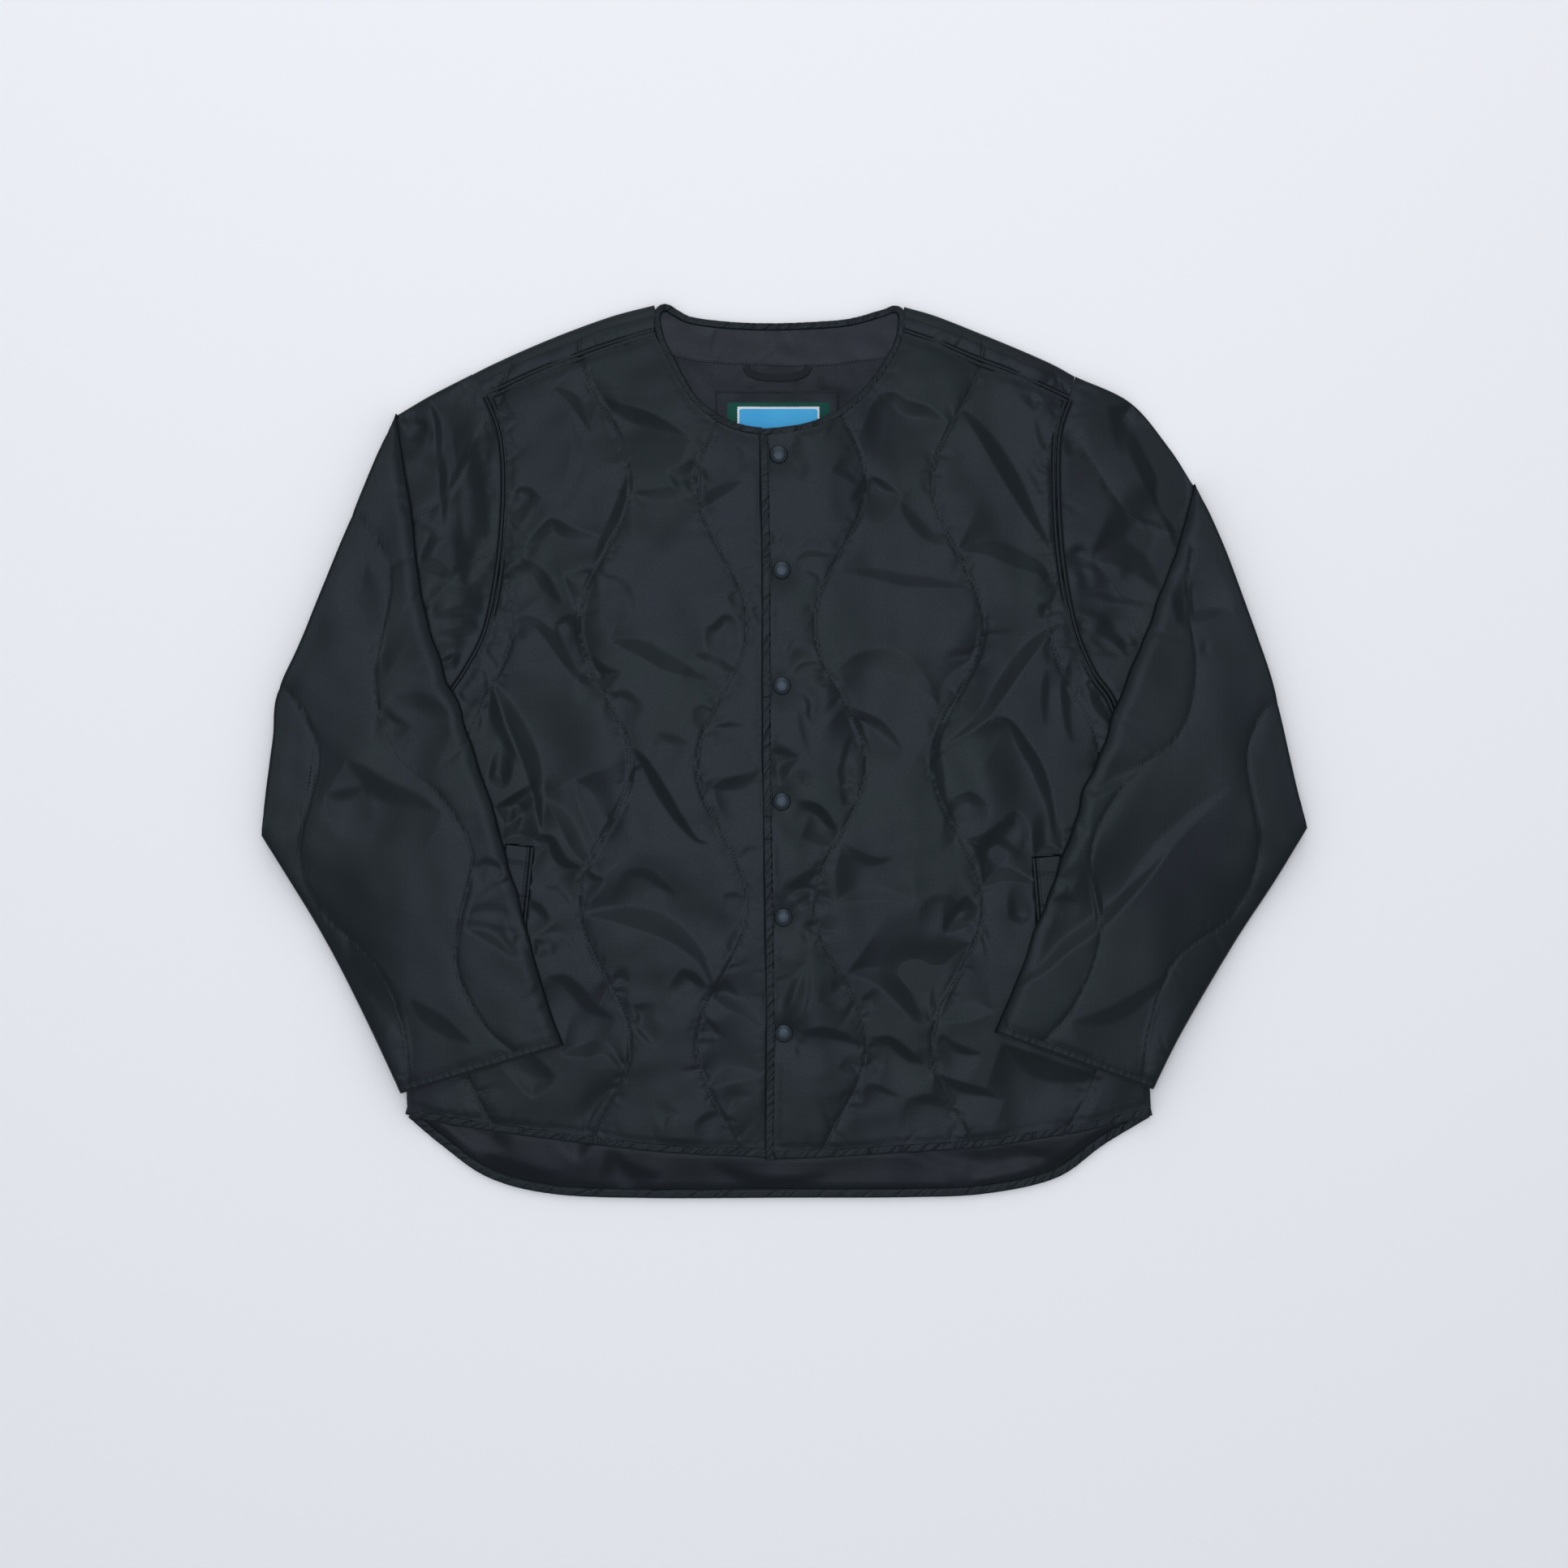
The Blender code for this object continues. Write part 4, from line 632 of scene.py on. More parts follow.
LEFT = SideCut(
    shoulder_top=((98.0, 363.3), (123.3, 356.0), (157.3, 342.7), (190.0, 329.3), (220.0, 316.0),
                  (238.0, 306.0)),
    shoulder_seam=((97.0, 341.5), (112.0, 336.5), (128.7, 330.7), (155.3, 319.3), (182.0, 309.3),
                   (208.7, 297.3), (232.0, 286.7)),
    armhole=((232.0, 286.7), (223.3, 259.3), (222.0, 216.0), (225.3, 159.3), (235.3, 102.7),
             (250.7, 64.0), (266.7, 41.3), (276.7, 12.7)),
    side_seam=((276.7, 12.7), (287.3, -50.7), (295.3, -184.0), (298.7, -278.7), (299.4, -293.0)),
    front_hem=((299.4, -293.0), (246.0, -305.3), (211.3, -311.3), (165.3, -318.7), (107.3, -322.7),
               (38.0, -326.7), (-12.7, -328.2)),
    neck=((97.0, 341.5), (94.0, 331.0), (86.5, 317.0), (76.5, 302.0), (66.0, 290.0), (53.0, 278.0),
          (37.0, 269.0), (16.0, 261.5), (-12.7, 257.5)),
    overarm_low=((238.0, 306.0), (283.3, 284.7), (315.3, 248.0), (335.3, 217.3)),
    underarm_low=((276.7, 12.7), (355.3, -27.3), (426.7, -64.0)),
    fold=((335.3, 217.3), (357.3, 169.3), (377.3, 116.0), (396.0, 62.7), (406.0, 22.7),
          (418.0, -30.7), (426.7, -64.0)),
    overarm_up=((335.3, 217.3), (320.0, 162.7), (298.7, 106.0), (274.0, 42.7), (248.7, -24.0),
                (225.3, -90.7), (198.7, -164.0), (178.7, -214.0), (171.3, -230.7)),
    underarm_up=((426.7, -64.0), (399.3, -110.7), (364.7, -164.0), (324.7, -230.7), (301.0, -277.3)),
    rows_up=(((332.0, 166.0), (328.0, 126.0), (335.3, 62.7), (322.0, 12.7), (282.0, -22.0),
              (250.0, -80.7), (257.3, -150.7), (236.7, -207.3), (208.7, -240.0)),
             ((395.3, 41.3), (376.7, -4.0), (386.7, -80.7), (365.3, -134.0), (318.7, -170.7),
              (298.0, -224.0), (292.0, -268.0))),
    rows_low=(((234.0, 259.3), (248.7, 239.3), (275.3, 200.7), (302.0, 182.7), (348.0, 176.0)),
              ((232.0, 160.7), (258.7, 147.3), (282.0, 116.0), (295.3, 92.7), (370.0, 80.0))),
    welt=((203.0, -88.0), (216.0, -240.0)),
    front_creases=creases(
        (12.8, 3.5, -1, (76, 292), (90, 293), (101, 287), (118, 281), (135, 267)),
        (12, 4.2, 1, (143, 279), (155, 262), (170, 237), (185, 212), (200, 188), (213, 170), (222, 159)),
        (7, 2.3, -1, (65, 224), (78, 222), (90, 214), (96, 206)),
        (9, 1.5, 1, (94, 206), (96, 195), (106, 180), (120, 169), (136, 166)),
        (5, 1.1, 1, (39, 227), (50, 222), (61, 216)),
        (13, 3.3, 1, (142, 162), (165, 160), (190, 150), (207, 145), (213, 137), (222, 130)),
        (10, 1.9, 1, (46, 146), (70, 141), (95, 134), (125, 133), (152, 132)),
        (18, 2.5, -1, (43, 65), (60, 79), (84, 83), (104, 73), (119, 52), (124, 27)),
        (10, 2.6, 1, (127, 37), (140, 51), (156, 74)),
        (12.8, 4.9, -1, (230, 103), (214, 91), (196, 67), (178, 41), (160, 20), (130, 4)),
        (11, 4.5, -1, (172, 28), (186, 24), (200, 6), (212, -14), (220, -44), (221, -72)),
        (9, 3.1, 1, (127, 24), (120, 2), (121, -18), (127, -42), (139, -62)),
        (9, 2.6, -1, (50, 37), (66, 31), (82, 22), (93, 8), (99, -5)),
        (4, 1.3, 1, (5, 151), (18, 158), (35, 158), (44, 160)), (4, 0.7, 1, (4, 158), (14, 169), (23, 179)),
        (3, 0.7, 1, (14, 146), (29, 139)), (3, 0.7, 1, (-3, 160), (1, 182)),
        (4, 1.5, 1, (4, 59), (15, 67), (30, 72)), (4, 1.3, 1, (9, 50), (17, 38), (18, 27), (26, 19)),
        (4, 0.7, 1, (2, 66), (7, 86), (15, 98)), (5, 0.7, 1, (9, 38), (12, 15), (20, -6)),
        (3, 0.7, 1, (24, 50), (46, 52)), (3, 0.7, 1, (3, 236), (8, 228), (11, 217)),
        (3, 0.7, 1, (4, 245), (15, 251)), (5, 1.2, 1, (203, 272), (206, 255), (212, 244), (221, 236)),
        (5, 1, -1, (213, 286), (205, 276)), (4, 0.7, 1, (199, 242), (206, 230), (213, 221)),
        (4, 0.7, 1, (197, 232), (205, 215), (213, 204)), (3, 1.3, 1, (210, 106), (229, 113)),
        (6, 1.2, 1, (213, 66), (210, 42), (213, 19)),
        (7, 2.1, 1, (233, 76), (226, 50), (229, 22), (236, 4)),
        (18, 5.2, 1, (247, 56), (250, 40), (258, 28), (270, 17)),
        (4, 1, 1, (59, 15), (50, 7), (45, -12), (44, -24)),
        (8, 3.3, -1, (4, -41), (20, -42), (31, -47), (39, -58), (46, -71)),
        (9, 2.8, 1, (-2, -30), (4, -18), (14, -6)), (3, 0.7, 1, (15, -32), (26, -26)),
        (4, 1.1, 1, (47, -31), (61, -26)), (4, 1.1, 1, (49, -46), (61, -41)),
        (7, 1.4, 1, (14, -72), (28, -77), (41, -80)),
        (9, 1.5, -1, (48, -75), (60, -82), (75, -88), (89, -88)),
        (10, 1.8, -1, (1, -113), (15, -101), (31, -93)), (4, 1.5, 1, (0, -130), (10, -121), (26, -114)),
        (3, 1.2, 1, (7, -134), (22, -126), (35, -125), (41, -131)),
        (4, 1.2, 1, (9, -142), (25, -151), (46, -151)), (3, 0.7, 1, (9, -146), (18, -161)),
        (12, 1.9, 1, (42, -126), (60, -124), (85, -124), (106, -126)),
        (16, 3.5, 1, (52, -184), (70, -190), (88, -203), (106, -222), (119, -227)),
        (12, 3.5, 1, (121, -224), (130, -201), (143, -176), (153, -159)),
        (8, 2.1, 1, (131, -151), (145, -147), (160, -149)), (8, 1.5, -1, (149, -119), (161, -131)),
        (8, 1.1, -1, (113, -123), (130, -118), (152, -133)),
        (15.3, 2.6, 1, (127, -223), (150, -222), (172, -214)),
        (10, 3.8, 1, (162, -113), (180, -107), (206, -110)),
        (7, 1.1, -1, (160, -71), (170, -65), (181, -73), (196, -87)),
        (9, 2.1, -1, (179, -56), (190, -50), (200, -62), (201, -77)),
        (8, 3.3, 1, (204, -87), (216, -86), (229, -86)), (5, 1.8, 1, (149, -74), (157, -85), (162, -102)),
        (6, 1.9, 1, (184, -139), (195, -143), (204, -137)),
        (10, 2.1, -1, (134, -40), (152, -34), (169, -47)),
        (8, 2.8, -1, (10, -231), (30, -227), (48, -231), (67, -243)),
        (8, 2.7, -1, (71, -236), (86, -235), (100, -244), (121, -263)),
        (4, 0.9, 1, (103, -256), (127, -267)), (7, 1.9, -1, (127, -232), (145, -242), (162, -249)),
        (5, 1.1, -1, (67, -273), (80, -275), (96, -284)),
        (8, 1.7, -1, (99, -286), (120, -282), (140, -292), (151, -301)),
        (8, 2.7, -1, (126, -265), (145, -272), (165, -278), (180, -287)),
        (18.7, 4.2, -1, (178, -240), (215, -252), (262, -269)), (4, 0.7, 1, (44, -262), (59, -268)),
        (3, 0.7, 1, (51, -287), (63, -290)), (3, 1.1, 1, (4, -238), (12, -252)),
        (7, 2.1, 1, (-1, -222), (7, -203), (17, -175)),
        (3, 0.9, 1, (4, -224), (17, -214), (22, -192), (20, -160)), (3, 0.9, 1, (39, -200), (56, -197)),
        (4, 0.9, 1, (62, -205), (71, -214)), (5, 0.7, 1, (27, -207), (40, -212), (51, -210)),
    ),
    sleeve_creases=creases(
        (10, 2.6, 1, (320, 103), (338, 104), (352, 108), (366, 114)), (4, 1.6, 1, (327, 199), (335, 213)),
        (4, 1.6, 1, (326, 184), (331, 191)),
        (12, 4.2, 1, (187, -194), (212, -182), (232, -165), (256, -148), (275, -130), (297, -105),
         (315, -80)),
        (12, 2, 1, (265, -137), (290, -110), (312, -84), (336, -57), (364, -31)),
        (6, 1.8, 1, (248, -41), (262, -35), (276, -28), (300, -12)),
        (5, 1.1, -1, (215, -122), (228, -118), (241, -124)),
        (4, 1.1, 1, (220, -107), (228, -112), (233, -116)), (3, 0.7, 1, (240, -72), (249, -70)),
        (13.6, 1.9, -1, (232, -222), (262, -211), (295, -193), (314, -180)),
        (3, 0.5, 1, (338, 78), (346, 76)),
    ),
    cap_creases=creases(
        (11.9, 4.9, 1, (268, 282), (275, 265), (285, 240), (297, 215), (310, 190), (321, 165)),
        (8, 2.8, 1, (284, 262), (290, 250), (300, 230), (313, 205), (325, 185)),
        (8, 2.6, -1, (267, 283), (275, 280), (284, 285)), (8, 2.8, -1, (322, 223), (327, 205), (326, 184)),
        (23.8, 4, 1, (250, 151), (272, 151), (290, 141), (308, 131)),
        (4, 1.3, -1, (230, 162), (240, 167), (248, 166)), (4, 1, 1, (233, 160), (245, 155), (256, 149)),
        (5, 1.8, 1, (238, 125), (255, 125), (270, 120), (303, 118)),
        (5, 1.5, 1, (237, 112), (250, 110), (265, 102), (277, 97)), (3, 1.3, 1, (240, 95), (251, 98)),
        (7, 2.8, 1, (255, 96), (270, 88), (282, 82), (291, 84)), (6, 3.3, 1, (281, 78), (290, 86)),
        (3, 0.7, 1, (250, 90), (262, 80), (275, 75)), (3, 0.9, 1, (235, 152), (251, 148)),
        (3, 0.9, 1, (238, 142), (251, 140)), (3, 0.9, 1, (240, 133), (253, 131)),
        (4, 1.1, 1, (232, 240), (243, 244)), (5, 0.7, 1, (275, 137), (291, 135)),
    ),
)

FRONT_EDGE = ((-20.7, 257.2), (-18.7, 149.0), (-18.3, 0.0), (-15.5, -204.0), (-16.0, -328.6))
BACK_HEM = ((-308.7, -301.0), (-281.3, -324.0), (-242.7, -350.7), (-190.0, -364.0), (-111.3, -367.3),
            (0.0, -367.0), (102.0, -366.6), (165.3, -363.6), (222.7, -350.7), (260.7, -324.0),
            (299.3, -300.7))
FACING_CREASES = creases(
    (4, 0.5, -1, (-54, 347), (-62, 320)), (3, 0.4, 1, (-40, 345), (-48, 322)),
    (3, 0.4, -1, (2, 345), (10, 325)),
)
LINING_CREASES = creases(
    (6, 0.7, 1, (-63, 316), (-64, 305), (-63, 294)), (5, 0.7, -1, (-84, 316), (-76, 308), (-68, 302)),
    (3, 0.6, 1, (-34, 306), (-35, 295)), (5, 0.7, -1, (37, 315), (40, 304), (43, 293)),
    (3, 0.6, 1, (28, 305), (31, 295)), (5, 0.7, -1, (46, 313), (52, 303), (57, 293)),
    (9, 2.2, 1, (-187, -322), (-178, -331), (-170, -339)),
    (11, 2.2, -1, (-142, -326), (-125, -340), (-99, -349)),
    (10, 2.0, 1, (-281, -306), (-258, -322), (-227, -331)),
    (9, 1.8, -1, (-250, -330), (-215, -340), (-178, -350)),
    (10, 2.0, 1, (96, -330), (130, -342), (172, -346)),
    (9, 2.0, -1, (196, -328), (228, -330), (262, -314)),
    (8, 1.8, 1, (150, -352), (200, -342), (236, -330)), (9, 1.6, -1, (-60, -338), (-15, -350), (40, -347)),
)
BACK_NECK = ((-100.5, 367.2), (-91.3, 361.3), (-78.0, 355.3), (-58.0, 352.0), (-31.3, 350.0),
             (-4.7, 349.7), (22.0, 350.7), (48.7, 352.7), (68.7, 357.3), (82.0, 362.0), (92.0, 365.3))
SHOULDER_WRAP = {
    "right": ((-90.0, 358.6), (-97.0, 362.6), (-102.6, 360.4), (-105.0, 352.0)),
    "left": ((83.0, 358.8), (90.0, 361.4), (94.8, 358.6), (96.0, 350.0)),
}
FACING_EDGE = ((-118.0, 331.0), (-91.3, 322.7), (-71.3, 318.7), (-44.7, 316.3), (-18.0, 315.3),
               (8.7, 314.7), (35.3, 315.3), (62.0, 318.7), (80.7, 321.0), (118.0, 331.0))
LOOP_PATH = ((-32.0, 314.5), (-28.5, 309.0), (-19.0, 305.8), (-5.0, 304.9), (8.0, 305.9), (16.0, 309.0),
             (20.0, 314.5))
LOOP_WIDTH = 6.2
PATCH = (-57.3, 245.0, 44.7, 294.7)
LABEL = (-47.3, 252.0, 36.7, 284.7)
LABEL_BORDER = (-39.3, 250.5, 28.7, 281.5)
LABEL_FIELD = (-37.3, 252.6, 26.7, 279.4)
PATCH_RISE = 2.0          # how much the fronts rise over the patch
WELT_WIDTH = 22.0
WELT_PANEL = 2.6          # thickness of the front under a welt
WELT_EASE = 1.0
# a snap cap's section, from the middle of its underside to its crown: radius and height
CAP_SECTION = ((0.0, 0.0), (7.6, 0.0), (7.6, 0.1), (7.5, 0.6), (7.2, 1.2), (6.9, 1.6), (6.5, 1.88),
               (6.0, 2.13), (5.4, 2.36), (4.8, 2.5), (4.62, 2.66), (4.3, 2.75), (3.6, 2.86), (2.7, 2.96),
               (1.8, 3.03), (0.9, 3.06), (0.0, 3.07))


# ============================ finishes ============================

class Slot(Enum):
    """Names of the material slots, one carried by each finish."""

    SHELL = "shell"
    FACING = "facing"
    LINING = "lining"
    BINDING = "binding"
    LOOP = "loop"
    PATCH = "patch"
    LABEL = "label"
    SNAP = "snap"


class Look:
    """A material on its way, with short calls for the nodes that the finishes share."""

    def __init__(self, name: str) -> None:
        """Start from a plain shader.

        Args:
            name: The material's name.
        """
        self.made = bpy.data.materials.new(name)
        self.made.use_nodes = True
        self.tree = self.made.node_tree
        self.place = self.tree.nodes.new("ShaderNodeTexCoord").outputs["Object"]

    def feed(self, node: bpy.types.Node, inputs: dict) -> None:
        """Give a node's inputs their values, or another node's output.

        Args:
            node: The node.
            inputs: A value or an output for each input's name or number.
        """
        for name, value in inputs.items():
            if isinstance(value, bpy.types.NodeSocket):
                self.tree.links.new(value, node.inputs[name])
            else:
                node.inputs[name].default_value = value

    def shade(self, inputs: dict) -> None:
        """Give the shader's inputs."""
        self.feed(self.tree.nodes["Principled BSDF"], inputs)

    def node(self, kind: str, inputs: dict) -> bpy.types.Node:
        """Add a node and give its inputs.

        Args:
            kind: The node's type, without its first word.
            inputs: As for feed.

        Returns:
            The node.
        """
        made = self.tree.nodes.new("ShaderNode" + kind)
        self.feed(made, inputs)
        return made

    def noise(self, scale: float, detail: float = 2.0) -> bpy.types.NodeSocket:
        """Patches from 0 to 1, the finer the larger the scale."""
        return self.node("TexNoise", {"Vector": self.place, "Scale": scale, "Detail": detail}).outputs["Fac"]

    def spread(self, share: bpy.types.NodeSocket, low: float, high: float) -> bpy.types.NodeSocket:
        """A value between low and high."""
        return self.node("MapRange", {"Value": share, "To Min": low, "To Max": high}).outputs["Result"]

    def ramp(self, share: bpy.types.NodeSocket, stops: tuple, colours: tuple) -> bpy.types.NodeSocket:
        """A blend of two colours between two stops.

        Args:
            share: What the blend follows.
            stops: The two stops, from 0 to 1.
            colours: The two colours.

        Returns:
            The colour.
        """
        made = self.node("ValToRGB", {"Fac": share})
        for k in (0, 1):
            made.color_ramp.elements[k].position = stops[k]
            made.color_ramp.elements[k].color = (*colours[k], 1)
        return made.outputs["Color"]

    def bump(self, height: bpy.types.NodeSocket, strength: float, depth: float) -> None:
        """Give the surface a fine grain, with its depth in millimetres."""
        made = self.node("Bump", {"Height": height, "Strength": strength, "Distance": depth * MM})
        self.shade({"Normal": made.outputs["Normal"]})


@dataclass(frozen=True)
class Finish:
    """What a piece is made of."""

    name: str
    slot: Slot

    def material(self) -> bpy.types.Material:
        """The finish as a material, made once.

        Returns:
            The material.
        """
        found = bpy.data.materials.get(self.name)
        if found:
            return found
        look = Look(self.name)
        self.dress(look)
        return look.made

    def dress(self, look: Look) -> None:
        """Add the nodes of the finish."""
        raise NotImplementedError


@dataclass(frozen=True)
class ClothFinish(Finish):
    """A woven cloth: two dye shades in soft patches, a fine weave and a sheen."""

    colour: tuple
    shade: tuple
    roughness: float
    specular: float = 0.175
    weave_pitch: float = 0.32
    weave_depth: float = 0.02
    cool: tuple = (0.76, 0.83, 0.97)
    warm: tuple = (0.73, 0.85, 0.90)
    patch_scale: float = 11.0
    slub_scale: float = 420.0
    unevenness: float = 0.06       # of the roughness, up and down

    def dress(self, look: Look) -> None:
        """Dye the cloth, break up its gloss and weave it.

        Args:
            look: The material on its way.
        """
        patches = look.noise(self.patch_scale)
        gloss = look.spread(look.noise(self.slub_scale, 3.0), self.roughness - self.unevenness,
                            self.roughness + self.unevenness)
        weave = look.node("Math", {})
        weave.operation = "ADD"
        for socket, direction in enumerate(("X", "Y")):
            threads = look.node("TexWave", {"Vector": look.place, "Scale": 0.05 / (self.weave_pitch * MM),
                                            "Distortion": 0.6, "Detail": 1.0})
            threads.bands_direction = direction
            look.feed(weave, {socket: threads.outputs["Fac"]})
        look.bump(weave.outputs["Value"], 0.5, self.weave_depth)
        look.shade({
            "Base Color": look.ramp(patches, (0.36, 0.64), (self.colour, self.shade)),
            "Roughness": gloss,
            "Specular IOR Level": self.specular,
            "Specular Tint": look.ramp(patches, (0.40, 0.60), (self.cool, self.warm)),
        })


@dataclass(frozen=True)
class MetalFinish(Finish):
    """Lacquered metal with slight unevenness in its gloss."""

    colour: tuple
    roughness: float
    metallic: float = 0.9
    wear_scale: float = 900.0

    def dress(self, look: Look) -> None:
        """Colour the metal and break up its gloss."""
        gloss = look.spread(look.noise(self.wear_scale), self.roughness - 0.05, self.roughness + 0.1)
        look.shade({"Base Color": (*self.colour, 1), "Roughness": gloss, "Metallic": self.metallic})


SATIN = ClothFinish("charcoal_satin", Slot.SHELL, (0.0056, 0.0082, 0.0102), (0.0052, 0.0086, 0.0092), 0.37)
FACING = ClothFinish("facing_satin", Slot.FACING, (0.0058, 0.0080, 0.0102), (0.0054, 0.0082, 0.0094), 0.37,
                     specular=0.22, cool=(0.82, 0.83, 0.98), warm=(0.80, 0.86, 0.95))
TAFFETA = ClothFinish("navy_taffeta", Slot.LINING, (0.0050, 0.0070, 0.0096), (0.0048, 0.0070, 0.0084), 0.32,
                      specular=0.14, cool=(0.80, 0.86, 0.97), warm=(0.80, 0.88, 0.92))
TAPE = ClothFinish("binding_satin", Slot.BINDING, (0.0054, 0.0080, 0.0098), (0.0052, 0.0082, 0.0090), 0.4)
THREAD = ClothFinish("black_thread", Slot.SHELL, (0.0050, 0.0060, 0.0070), (0.0040, 0.0050, 0.0060), 0.6)
LOOP = ClothFinish("loop_tape", Slot.LOOP, (0.0045, 0.0055, 0.0070), (0.0040, 0.0050, 0.0060), 0.55)
PATCH_CLOTH = ClothFinish("patch_cloth", Slot.PATCH, (0.0056, 0.0074, 0.0096), (0.0052, 0.0070, 0.0088), 0.4)
GREEN = ClothFinish("label_green", Slot.LABEL, (0.004, 0.055, 0.040), (0.003, 0.045, 0.035), 0.7,
                    weave_pitch=0.5)
WHITE = ClothFinish("label_white", Slot.LABEL, (0.58, 0.62, 0.64), (0.50, 0.55, 0.58), 0.7, weave_pitch=0.5)
SKY = ClothFinish("label_sky", Slot.LABEL, (0.045, 0.30, 0.56), (0.06, 0.36, 0.62), 0.65, weave_pitch=0.5)
LACQUER = MetalFinish("snap_lacquer", Slot.SNAP, (0.027, 0.036, 0.045), 0.36)


# ============================ meshes ============================

class Lattice:
    """A square mesh whose points keep their order while it is bent into shape."""

    def __init__(self, across: int, along: int) -> None:
        """Make a flat mesh.

        Args:
            across: Number of faces in a row.
            along: Number of rows.
        """
        self.across, self.along = across, along
        self.bm = bmesh.new()
        bmesh.ops.create_grid(self.bm, x_segments=across, y_segments=along, size=0.5)
        self.verts, self.faces = list(self.bm.verts), list(self.bm.faces)

    def crease(self, columns: Points) -> None:
        """Split faces so that edges run through one column of each row.

        Args:
            columns: The column's number in each row of points, or -1 for none.
        """
        for row, (a, b) in enumerate(zip(columns, columns[1:])):
            if min(a, b) < 0 or abs(a - b) != 1:
                continue
            face = self.faces[row * self.across + min(a, b)]
            if len(face.verts) == 4:
                start = self.verts[row * (self.across + 1) + a]
                end = self.verts[(row + 1) * (self.across + 1) + b]
                bmesh.utils.face_split(face, start, end)

    def place(self, points: Points) -> None:
        """Move every point, in millimetres, row by row."""
        for vert, spot in zip(self.verts, (np.asarray(points).reshape(-1, 3) * MM).tolist()):
            vert.co = spot

    def close(self, capped: bool = False) -> bmesh.types.BMesh:
        """Join points that were placed on each other, and fill the open ends where asked.

        Args:
            capped: Whether the open ends are filled.

        Returns:
            The mesh.
        """
        bmesh.ops.remove_doubles(self.bm, verts=self.bm.verts, dist=WELD * MM)
        if capped:
            bmesh.ops.holes_fill(self.bm, edges=[e for e in self.bm.edges if e.is_boundary], sides=0)
        return self.bm


def swept(rows: Points, capped: bool = False) -> bmesh.types.BMesh:
    """Make a mesh through rows of points, joined where they meet.

    Args:
        rows: The points in millimetres, row by row.
        capped: Whether the open ends are filled.

    Returns:
        The mesh.
    """
    lattice = Lattice(rows.shape[1] - 1, len(rows) - 1)
    lattice.place(rows)
    return lattice.close(capped)


def publish(bm: bmesh.types.BMesh, name: str, finish: Finish,
            replaces: Sequence[str] = (), sharp: float = 60.0) -> bpy.types.Object:
    """Turn a mesh into a piece of the jacket.

    Args:
        bm: The mesh, which is freed.
        name: The piece's name.
        finish: What it is made of.
        replaces: Solids that it stands for.
        sharp: Angle in degrees past which an edge is shaded sharp.

    Returns:
        The piece.
    """
    bmesh.ops.recalc_face_normals(bm, faces=bm.faces)
    mesh = bpy.data.meshes.new(name)
    bm.to_mesh(mesh)
    bm.free()
    mesh.shade_smooth()
    mesh.set_sharp_from_angle(angle=math.radians(sharp))
    mesh.materials.append(finish.material())
    piece = bpy.data.objects.new(name, mesh)
    bpy.context.collection.objects.link(piece)
    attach(piece, "root")
    if replaces:
        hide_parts(*replaces)
    LOG.info("%s: %d faces", name, len(mesh.polygons))
    return piece


